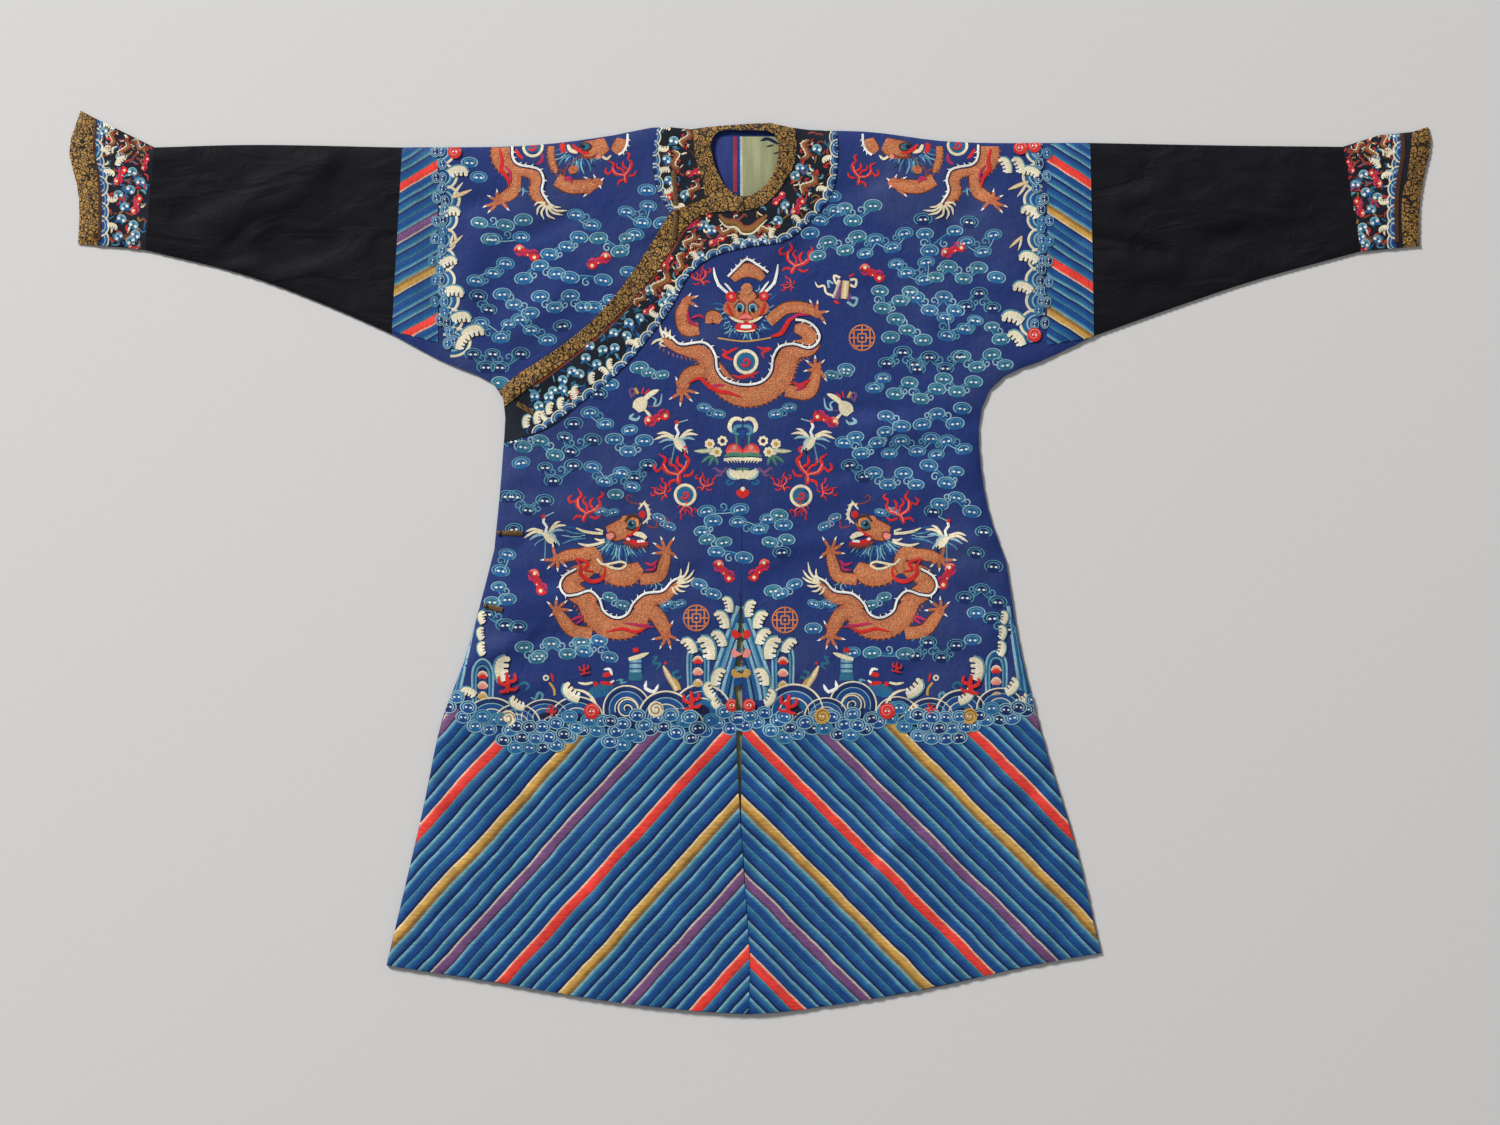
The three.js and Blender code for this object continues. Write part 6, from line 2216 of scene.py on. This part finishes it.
# A small dragon of the facings and cuffs, seen from above: a winding trunk, a pale spine, red flames.
SMALL_DRAGON = (
    Stroke("brown", 7, ((-12, -2), (-6, 4), (0, 0), (6, -4), (12, 1)), 0, (0.4, 0.7)),
    Stroke("rust ochre rust", 5, ((-12, -2), (-6, 4), (0, 0), (6, -4), (12, 1)), 0.4, (0.3, 0.7)),
    Stroke("cream", 1.4, ((-12, 1), (-6, 7), (0, 3), (6, -1), (10, 3)), 1, (0.4, 0.4), thorn=1.4, pitch=4),
    Stroke("rust", 6, ((13, 2),), 1),
    Stroke("red", 2.4, ((15, 0), (18, 2)), 1.6, (1, 0.4)),
    Stroke("cream", 1.4, ((11, 5), (8, 9)), 1.6, (1, 0.3)),
    Stroke("black", 1.6, ((13.5, 3),), 1.8),
    Stroke("rust", 2.2, ((-4, 2), (-7, -5)), 0.8, (1, 0.5)),
    Stroke("rust", 2.2, ((3, -3), (7, -9)), 0.8, (1, 0.5)),
    Stroke("cream", 1.4, ((-7, -5), (-10, -7)), 1.2, (1, 0.3)),
    Stroke("cream", 1.4, ((-7, -5), (-6, -8)), 1.2, (1, 0.3)),
    Stroke("cream", 1.4, ((7, -9), (10, -11)), 1.2, (1, 0.3)),
    Stroke("red", 1.8, ((-2, 4), (3, 6), (5, 3)), 1.2, (0.4, 0.3)),
    Stroke("red", 1.6, ((-9, -4), (-14, -6)), 1.2, (0.6, 0.3)),
)
FACING_DRAGONS = (
    Place(686, 139, 70, 0.75), Place(675, 160, -80, 0.8), Place(694, 190, 60, 0.7),
    Place(806, 150, 80, 0.85, True), Place(809, 185, 55, 0.95), Place(690, 241, 60, 0.75),
    Place(661, 284, 62, 1.1), Place(681, 262, 75, 0.8, True), Place(640, 300, 50, 0.6),
    Place(697, 246, 30, 0.6), Place(767, 231, 15, 0.8), Place(728, 232, -10, 0.8, True),
)
FACING_BATS = (
    Place(672, 193, 80, 0.6), Place(694, 173, 20, 0.6), Place(798, 207, 65, 0.75),
    Place(779, 199, 40, 0.6, True), Place(717, 241, 35, 0.65), Place(693, 225, 15, 0.65),
    Place(575, 395, 60, 0.45), Place(706, 214, -20, 0.5), Place(668, 262, 60, 0.55),
    Place(649, 310, 40, 0.5),
)
FACING_CLOUDS = (
    Place(674, 141), Place(667, 160), Place(669, 181), Place(685, 195), Place(704, 225), Place(712, 230),
    Place(817, 149), Place(785, 206), Place(778, 221), Place(795, 176), Place(800, 168), Place(663, 303),
    Place(671, 293), Place(640, 318), Place(629, 323), Place(627, 336), Place(614, 333), Place(615, 348),
    Place(603, 350), Place(597, 364), Place(586, 358), Place(580, 374), Place(572, 371), Place(563, 380),
    Place(553, 391), Place(563, 389), Place(549, 397), Place(539, 406), Place(535, 396), Place(590, 346),
    Place(650, 290), Place(700, 256), Place(752, 240), Place(741, 243), Place(763, 240),
)
FACING_FOAM = (
    Place(527, 421, 5, 0.62), Place(538, 417, 5, 0.62), Place(550, 408, 5, 0.58), Place(561, 403, 10, 0.55),
    Place(575, 391, 15, 0.5), Place(592, 378, 15, 0.55), Place(610, 364, 20, 0.5),
    Place(637, 343, 20, 0.45),
)
NECK_SPINE = ((719, 219.5), (726, 227), (736, 228), (742, 234), (752, 234), (760, 227), (767, 220))
CUFF_DRAGONS = (Place(125, 150, 70, 0.75), Place(113, 138, 80, 0.65, True), Place(138, 145, -35, 0.6))
CUFF_BATS = (
    Place(121, 176, 70, 0.75), Place(137, 205, 80, 0.75), Place(146, 164, 80, 0.55),
    Place(134, 248, 0, 0.4),
)
CUFF_CLOUDS = (
    Place(133, 172), Place(141, 182), Place(131, 190), Place(119, 195), Place(125, 207), Place(122, 219),
    Place(134, 225), Place(119, 237), Place(136, 235), Place(131, 241), Place(104, 132), Place(108, 172),
    Place(121, 157), Place(112, 126),
)
CUFF_CLAWS = (Place(121, 161, -30, 0.55), Place(108, 150, 20, 0.45))
CUFF_AXIS = 748
CUFF_DROP = 2.5


def small_clouds(work, places, seed):
    """Small single heads of cloud with a short stem."""
    draw = random.Random(seed)
    for order, place in enumerate(places):
        motif = Motif()
        threads = CLOUD_THREADS[order % 3]
        tail = [Vector((0, -2)) * PIXEL, Vector((draw.choice((-5, 5)), -6)) * PIXEL]
        motif.strip(tail, 3 * PIXEL, threads[2], ends=(1, 0.4), rise=0.2 * MM)
        cloud_head(motif, Vector((0, 0)), 4.7 * PIXEL, threads, flat=0.9)
        work.stamp(motif.mesh(), spot(place.across, place.down), draw.uniform(-50, 50))


FILLER_THREADS = ("rust", "rust", "red", "teal", "brown", "aqua", "ochre", "azure", "rust", "cream")
FILLER_BLUES = ("teal", "azure", "aqua", "deep", "blue")
FILLER_ROW = 292


def sew_filler(work, ground, cover, corners, tries, seed):
    """Short bent stitches strewn over the black silk between the larger motifs."""
    draw = random.Random(seed)
    (left, top), (right, bottom) = corners
    motif = Motif()
    for order in range(tries):
        place = spot(draw.uniform(left, right), draw.uniform(top, bottom))
        angle = draw.uniform(0, 2 * math.pi)
        along = Vector((math.cos(angle), math.sin(angle))) * draw.uniform(2, 4.5) * PIXEL
        aside = Vector((-along.y, along.x)) * draw.uniform(-0.7, 0.7)
        route = [place - along, place + aside, place + along]
        if any(height_on(ground, p.x, p.y) is None for p in route):
            continue
        if cover and any(height_on(cover, p.x, p.y) is not None for p in route):
            continue
        wide = draw.uniform(1.2, 2.4) * PIXEL
        tint = draw.choice(FILLER_BLUES if place.y < spot(0, FILLER_ROW).y else FILLER_THREADS)
        motif.strip(route, wide, tint, ends=(0.8, 0.3), base=0.05 * MM, rise=0.3 * MM, run=2.6 * MM)
    work.stamp(motif.mesh())


def sew_facings():
    """The embroidered border of the neck and the front edge."""
    work = Needlework()
    ground = ground_of(*FACINGS)
    bands = ground_of(*BANDS)
    sew_filler(work, ground, bands, ((528, 125), (838, 440)), 1500, seed=14)
    front = [Vector(pair) * MM for pair in FACING_EDGE]
    sew_edge_waves(work, front, -1, seed=5, claws=3)
    sew_all(work, stitched(FOAM_CLAW).mesh(), FACING_FOAM, base=0.5 * MM)
    sew_edge_waves(work, [Vector(pair) * MM for pair in SHOULDER_EDGE], 1, seed=6)
    small_clouds(work, FACING_CLOUDS, seed=8)
    sew_all(work, stitched(SMALL_DRAGON).mesh(), FACING_DRAGONS, base=0.2 * MM)
    sew_all(work, stitched(BAT).mesh(), FACING_BATS, base=0.2 * MM)
    neck = Motif()
    route = spots(*NECK_SPINE)
    above = [place + Vector((0, 4.5)) * PIXEL for place in route]
    neck.strip(above, 9 * PIXEL, "rust", "ochre", "brown", ends=(0.3, 0.3), base=0.3 * MM)
    neck.strip(route, 2 * PIXEL, "cream", ends=(0.4, 0.4), base=0.8 * MM)
    work.stamp(neck.mesh())
    return work.settle(ground, "facing_embroidery", "embroidered_black")


def sew_cuff(side):
    """The embroidered border of one cuff. The left cuff reflects the right one."""
    work = Needlework()
    edge = spots(*CUFF_EDGE)
    sew_filler(work, ground_of("right_cuff"), None, ((98, 118), (152, 252)), 260, seed=15)
    sew_edge_waves(work, edge, 1, seed=9, size=10.5, height=0.85, claws=2, pitch=16)
    small_clouds(work, CUFF_CLOUDS, seed=4)
    sew_all(work, stitched(SMALL_DRAGON).mesh(), CUFF_DRAGONS, base=0.2 * MM)
    sew_all(work, stitched(BAT).mesh(), CUFF_BATS, base=0.2 * MM)
    sew_all(work, stitched(EDGE_CLAW).mesh(), CUFF_CLAWS, base=0.4 * MM)
    strip = Motif()
    strip.strip(edge, 4.4 * PIXEL, "brown", "brown", base=0.9 * MM, rise=0.3 * MM)
    work.stamp(strip.mesh())
    if side == "left":
        work.reflect(CUFF_AXIS, CUFF_DROP)
    return work.settle(ground_of(f"{side}_cuff"), f"{side}_cuff_embroidery", "embroidered_black")


class Strap(NamedTuple):
    """A fastening's strap: its node, its two ends in millimetres, and its number of cords."""

    node: str
    start: tuple
    end: tuple
    cords: int = 1


STRAPS = (
    Strap("strap_collar_upper", (-114, 553), (-118, 606)),
    Strap("strap_collar_lower", (-114, 539), (-117, 501)),
    Strap("strap_underarm", (-361, 246), (-335, 231), 2), Strap("strap_side_upper", (-384, 46), (-352, 45)),
    Strap("strap_side_lower", (-405, -68), (-383, -74)),
)
KNOTS = ("knot_neck", "knot_collar", "knot_underarm", "knot_side_upper", "knot_side_lower")
PLAIT = 3.2 * MM
STRAP_HALF = 3 * MM
# The dressed cord is wider and thicker than its node by these factors.
STRAP_SPREAD = 1.4
STRAP_SWELL = 1.6
GROOVE = 0.5
GROOVE_TURN = 0.6 * MM


def robe_ground():
    """Every upper cloth of the robe on which a fastening can lie."""
    if "robe" not in GROUNDS:
        GROUNDS["robe"] = ground_of(*FRONTS, "right_sleeve", *FACINGS, *BANDS)
    return GROUNDS["robe"]


def rest_height(ground, x, y):
    """The height of the cloth at a place, or that of its nearest point beside it."""
    height = height_on(ground, x, y)
    return ground.find_nearest(Vector((x, y, 0.01)))[0].z if height is None else height


def lay_strap(strap):
    """A strap of plaited cord that follows the cloth under it."""
    ground = robe_ground()
    bm = merged_copy(strap.node)
    refine(bm, 1.6 * MM)
    start = Vector(strap.start) * MM
    onward = (Vector(strap.end) * MM - start).normalized()
    sideways = Vector((-onward.y, onward.x))
    above = {v for f in bm.faces if f.normal.z > 0.5 for v in f.verts}
    for v in bm.verts:
        from_start = v.co.xy - start
        along = from_start.dot(onward)
        aside = from_start.dot(sideways) / STRAP_HALF
        across = aside if strap.cords == 1 else 2 * (abs(aside) - 0.5)
        swell = math.sqrt(max(0.1, 1 - min(1, across * across)))
        twist = 0.75 + 0.25 * math.cos(2 * math.pi * (along / PLAIT + abs(across) * 0.5))
        spread = (STRAP_SPREAD - 1) * STRAP_HALF * aside
        v.co = (v.co.x + sideways.x * spread, v.co.y + sideways.y * spread, v.co.z)
        v.co.z = rest_height(ground, v.co.x, v.co.y) + 0.1 * MM
        if v in above:
            v.co.z += STRAP_SWELL * STRAP_WALL * swell * twist
    return piece_from(bm, f"{strap.node}_cord", "cord", None, [strap.node])


def wind_knot(node):
    """A ball knot of wound cord on the cloth under it."""
    bm = merged_copy(node)
    refine(bm, 1.5 * MM)
    bm.normal_update()
    centre = sum((v.co for v in bm.verts), Vector()) / len(bm.verts)
    rise = rest_height(robe_ground(), centre.x, centre.y) + 0.05 * MM - min(v.co.z for v in bm.verts)
    for v in bm.verts:
        out = v.co - centre
        turn = math.atan2(out.y, out.x)
        groove = 0.5 + 0.5 * math.cos(3 * turn + out.z / GROOVE_TURN)
        v.co -= v.normal * GROOVE * MM * (1 - groove)
        v.co.z += rise
    return piece_from(bm, f"{node}_cord", "cord", None, [node])


# Stripes and the worn place that show in the neck, in columns and rows.
NECK_STRIPE = ((735, 128), (735, 192))
NECK_PALE = ((741, 127), (741.5, 196))
TEAR = ((760, 141), (768, 139), (778, 144))
# The piping along the lower edge of the lapel band, in millimetres, and how far it lies beside that line.
LAPEL_PIPING = (
    (-78, 537), (-105, 514), (-127, 477), (-155, 438), (-194, 393), (-237, 351), (-291, 308), (-344, 269),
)
PIPING_SHIFT = 2.4
PIPING_RUN = 8 * MM


def sew_neck_details():
    """The red stripe and the pale edge inside the neck, and a dark tear in the lining."""
    motif = Motif()
    motif.strip(spots(*NECK_STRIPE), 3.6 * PIXEL, "magenta", "rust", "magenta", rise=0.2 * MM)
    motif.strip(spots(*NECK_PALE), 2.6 * PIXEL, "cream", "mist", base=0.3 * MM, rise=0.2 * MM)
    for drop in (6, 13):
        worn = [spot(across + drop, down + drop) for across, down in TEAR[:2]]
        motif.strip(worn, 1.8 * PIXEL, "brown", "navy", ends=(0.2, 0.4), base=0.1 * MM, rise=0.05 * MM)
    motif.strip(spots(*TEAR), 3.4 * PIXEL, "navy", "navy", ends=(0.1, 0.6), base=0.1 * MM, rise=0.05 * MM)
    return settled(motif, ground_of("blue_neck_lining", "green_neck_lining"), "neck_stripe", "lining_green")


def sew_piping():
    """The dark piping under the lower edge of the lapel band."""
    motif = Motif()
    route = [Vector(pair) * MM for pair in LAPEL_PIPING]
    line = flow(route, PIPING_RUN)
    shifted = []
    for before, after in zip(line, line[1:]):
        ahead = (after - before).normalized()
        shifted.append(before + Vector((-ahead.y, ahead.x)) * PIPING_SHIFT * MM)
    motif.strip(shifted, 3.4 * PIXEL, "brown", "rust", "brown", rise=0.4 * MM, run=PIPING_RUN)
    return settled(motif, ground_of("front_facing"), "lapel_piping", "embroidered_black")


class ROBE_OT_stripes(Operator):
    """Sews the slanting stripes of the skirt and of the sleeve ends"""

    bl_idname = "robe.stripes"
    bl_label = "Stripes"

    def execute(self, context):
        sew_skirt_stripes(SKIRTS[0], "skirt_stripes_right")
        sew_skirt_stripes(SKIRTS[1], "skirt_stripes_left")
        ground = body_ground()
        for end in SLEEVE_ENDS:
            sew_sleeve_end(end, ground)
        return {"FINISHED"}


# The large rolling waves, and the height of rounds and coral, which lie on the curls and the foam.
GREAT_WAVES = (Place(627, 709), Place(853, 705, mirror=True))
CORAL_BASE = 2.6 * MM


class ROBE_OT_waves(Operator):
    """Sews the border of waves, rocks, foam and curls above the stripes"""

    bl_idname = "robe.waves"
    bl_label = "Waves"

    def execute(self, context):
        work = Needlework()
        rocks = Motif()
        for rock in ROCKS:
            sew_rock(rocks, rock)
        sew_slopes(rocks)
        work.stamp(rocks.mesh())
        peak = Motif()
        sew_peak(peak)
        work.stamp_pair(peak.mesh(), PEAK_AXIS)
        sew_humps(work)
        for place in GREAT_WAVES:
            great_wave(work, spot(place.across, place.down), place.mirror)
        sew_curls(work)
        sew_rounds(work, CORAL_BASE)
        sew_all(work, stitched(FOAM_CLAW).mesh(), BORDER_FOAM, base=CURL_BASE)
        sew_all(work, stitched(CORAL).mesh(), BORDER_CORAL, base=CORAL_BASE)
        objects = stitched(BORDER_OBJECTS, LOWER_VIEW).mesh()
        work.stamp_pair(objects, PEAK_AXIS, base=0.2 * MM)
        work.settle(body_ground(), "wave_border")
        return {"FINISHED"}


class Column(NamedTuple):
    """Curls and foam beside the stripes of a sleeve end: which way they face, a line, and the foam."""

    facing: int
    line: tuple
    foam: tuple


SLEEVE_WAVES = (
    Column(
        1, ((438, 152), (441, 190), (440, 230), (438, 270), (442, 310), (452, 342)),
        (
            Place(459, 172, -70, 0.9), Place(452, 212, -70, 0.8), Place(449, 262, -60, 0.8),
            Place(455, 292, -80, 0.9), Place(462, 318, -70, 0.9), Place(474, 332, -60, 1.0),
            Place(463, 342, -20, 0.8),
        ),
    ),
    Column(
        -1, ((1042, 152), (1040, 190), (1044, 230), (1044, 270), (1042, 310), (1034, 336)),
        (
            Place(1005, 165, 10, 0.8, True), Place(1018, 165, 10, 0.8, True),
            Place(1030, 172, 60, 0.8, True), Place(1030, 212, 50, 0.9, True),
            Place(1028, 258, 60, 0.9, True), Place(1022, 288, 60, 0.9, True),
            Place(1012, 318, 60, 1.0, True), Place(1016, 338, 30, 0.9, True),
        ),
    ),
)
SLEEVE_LEAVES = (
    Place(462, 192, 180, 1), Place(1018, 188, 0, 1), Place(456, 240, 200, 0.8), Place(1016, 244, 20, 0.8),
)
LEAF = (
    Stroke("gold cream gold", 4.4, ((10, 6), (2, 3), (-10, -2)), 1, (0.5, 0.2), 0.6),
    Stroke("cream", 3, ((9, 5), (4, -3), (-1, -9)), 0.6, (0.6, 0.2), 0.6),
)


# Beside a sleeve: the reach and height of a wave, its distance to the next one and to the curls, in columns.
SLEEVE_WAVE = (14, 17)
SLEEVE_PITCH = 11
SLEEVE_SHIFT = 9
SLEEVE_CURL = 0.66
SLEEVE_FOAM = 1.3 * MM


def sew_column(work, column, wave, kinds, draw):
    """Waves on every second place of a column, and one or two curls beside each place."""
    wide, high = SLEEVE_WAVE
    shift = SLEEVE_SHIFT * column.facing * PIXEL
    for k, place in enumerate(flow(spots(*column.line), SLEEVE_PITCH * PIXEL)):
        if k % 2 == 0:
            copy = wave.copy()
            copy.transform(Matrix.Diagonal((wide * PIXEL, high * PIXEL, 1, 1)))
            inward = -90 * column.facing
            work.stamp(copy, place + Vector((shift * 0.1, 0)), inward, draw.uniform(0.9, 1.1))
        for row in range(2 - k % 2):
            aside = -shift * (row * 0.8 - draw.uniform(0.1, 0.5))
            centre = place + Vector((aside, draw.uniform(-2, 2) * PIXEL))
            base = CURL_BASE + CURL_STEP * (2 * row + k % 2)
            kind = draw.choice(kinds)
            turn = 90 + draw.uniform(-15, 15)
            work.stamp(kind, centre, turn, SLEEVE_CURL, base=base)


class ROBE_OT_sleeve_waves(Operator):
    """Sews the curls, waves and foam at the inner ends of the sleeve stripes"""

    bl_idname = "robe.sleeve_waves"
    bl_label = "Sleeve waves"

    def execute(self, context):
        draw = random.Random(12)
        kinds = [curl_mesh(*tints) for tints in CURL_THREADS]
        work = Needlework()
        wave = hump_mesh(EDGE_BANDS)
        for column in SLEEVE_WAVES:
            sew_column(work, column, wave, kinds, draw)
            sew_all(work, stitched(FOAM_CLAW).mesh(), column.foam, base=SLEEVE_FOAM)
        sew_all(work, stitched(LEAF).mesh(), SLEEVE_LEAVES, base=0.2 * MM)
        work.settle(body_ground(), "sleeve_end_waves")
        return {"FINISHED"}


class ROBE_OT_clouds(Operator):
    """Scatters blue clouds over the silk"""

    bl_idname = "robe.clouds"
    bl_label = "Clouds"

    def execute(self, context):
        cover = ground_of(*FACINGS, *BANDS)
        bats = [Clearing(bat.across, bat.down, 19, 15) for bat in BATS]
        ground = body_ground()
        sew_clouds(Needlework(), ground, cover, CLEARINGS + bats).settle(ground, "clouds")
        return {"FINISHED"}


class ROBE_OT_dragons(Operator):
    """Sews the dragon of the chest, the two below it and the two that the shoulder fold cuts"""

    bl_idname = "robe.dragons"
    bl_label = "Dragons"

    def execute(self, context):
        scales = Needlework()
        lines = Needlework()
        sew_dragon(CHEST_DRAGON, scales, lines)
        sew_dragon(LOWER_DRAGON, scales, lines, mirror=LOWER_AXIS)
        sew_dragon(SHOULDER_DRAGON, scales, lines, mirror=SHOULDER_AXIS)
        ground = body_ground()
        scales.settle(ground, "dragon_scales", finish="couched")
        lines.settle(ground, "dragon_lines")
        return {"FINISHED"}


class ROBE_OT_motifs(Operator):
    """Sews the bats, cranes, treasures, frets, flames, pearls and the middle group"""

    bl_idname = "robe.motifs"
    bl_label = "Small motifs"

    def execute(self, context):
        work = Needlework()
        sew_small_motifs(work)
        work.settle(body_ground(), "small_motifs")
        return {"FINISHED"}


class ROBE_OT_borders(Operator):
    """Embroiders the facings and the cuffs, with the lapel's piping and the stripe inside the neck"""

    bl_idname = "robe.borders"
    bl_label = "Facing and cuff embroidery"

    def execute(self, context):
        sew_facings()
        for side in ("left", "right"):
            sew_cuff(side)
        sew_piping()
        sew_neck_details()
        return {"FINISHED"}


class ROBE_OT_fastenings(Operator):
    """Plaits the straps and winds the ball knots of the fastenings"""

    bl_idname = "robe.fastenings"
    bl_label = "Fastenings"

    def execute(self, context):
        for strap in STRAPS:
            lay_strap(strap)
        for node in KNOTS:
            wind_knot(node)
        return {"FINISHED"}


OPERATORS = (
    ROBE_OT_stage, ROBE_OT_panels, ROBE_OT_sleeves, ROBE_OT_facings, ROBE_OT_bands, ROBE_OT_linings,
    ROBE_OT_stripes, ROBE_OT_waves, ROBE_OT_sleeve_waves, ROBE_OT_clouds, ROBE_OT_dragons, ROBE_OT_motifs,
    ROBE_OT_borders, ROBE_OT_fastenings,
)
SETTINGS = (RobeThreads, RobeCloth, RobeStage)


class ROBE_PT_steps(Panel):
    """Lists the steps of the robe, then its sizes and colours"""

    bl_idname = "ROBE_PT_steps"
    bl_label = "Dragon Robe"
    bl_space_type = "VIEW_3D"
    bl_region_type = "UI"
    bl_category = "Robe"

    def draw(self, context):
        for step in OPERATORS:
            self.layout.operator(step.bl_idname)
        scene = context.scene
        for group in (scene.robe_cloth, scene.robe_threads, scene.robe_stage):
            box = self.layout.box()
            for name in group.bl_rna.properties.keys():
                if name not in ("rna_type", "name"):
                    box.prop(group, name)


CLASSES = (*SETTINGS, *OPERATORS, ROBE_PT_steps)


def register():
    for kind in CLASSES:
        bpy.utils.register_class(kind)
    bpy.types.Scene.robe_threads = PointerProperty(type=RobeThreads)
    bpy.types.Scene.robe_cloth = PointerProperty(type=RobeCloth)
    bpy.types.Scene.robe_stage = PointerProperty(type=RobeStage)


def unregister():
    del bpy.types.Scene.robe_threads
    del bpy.types.Scene.robe_cloth
    del bpy.types.Scene.robe_stage
    for kind in reversed(CLASSES):
        bpy.utils.unregister_class(kind)


def main():
    register()
    bpy.ops.robe.stage()
    bpy.ops.robe.panels()
    bpy.ops.robe.sleeves()
    bpy.ops.robe.facings()
    bpy.ops.robe.bands()
    bpy.ops.robe.linings()
    bpy.ops.robe.stripes()
    bpy.ops.robe.waves()
    bpy.ops.robe.sleeve_waves()
    bpy.ops.robe.clouds()
    bpy.ops.robe.dragons()
    bpy.ops.robe.motifs()
    bpy.ops.robe.borders()
    bpy.ops.robe.fastenings()


if __name__ == "__main__":
    main()
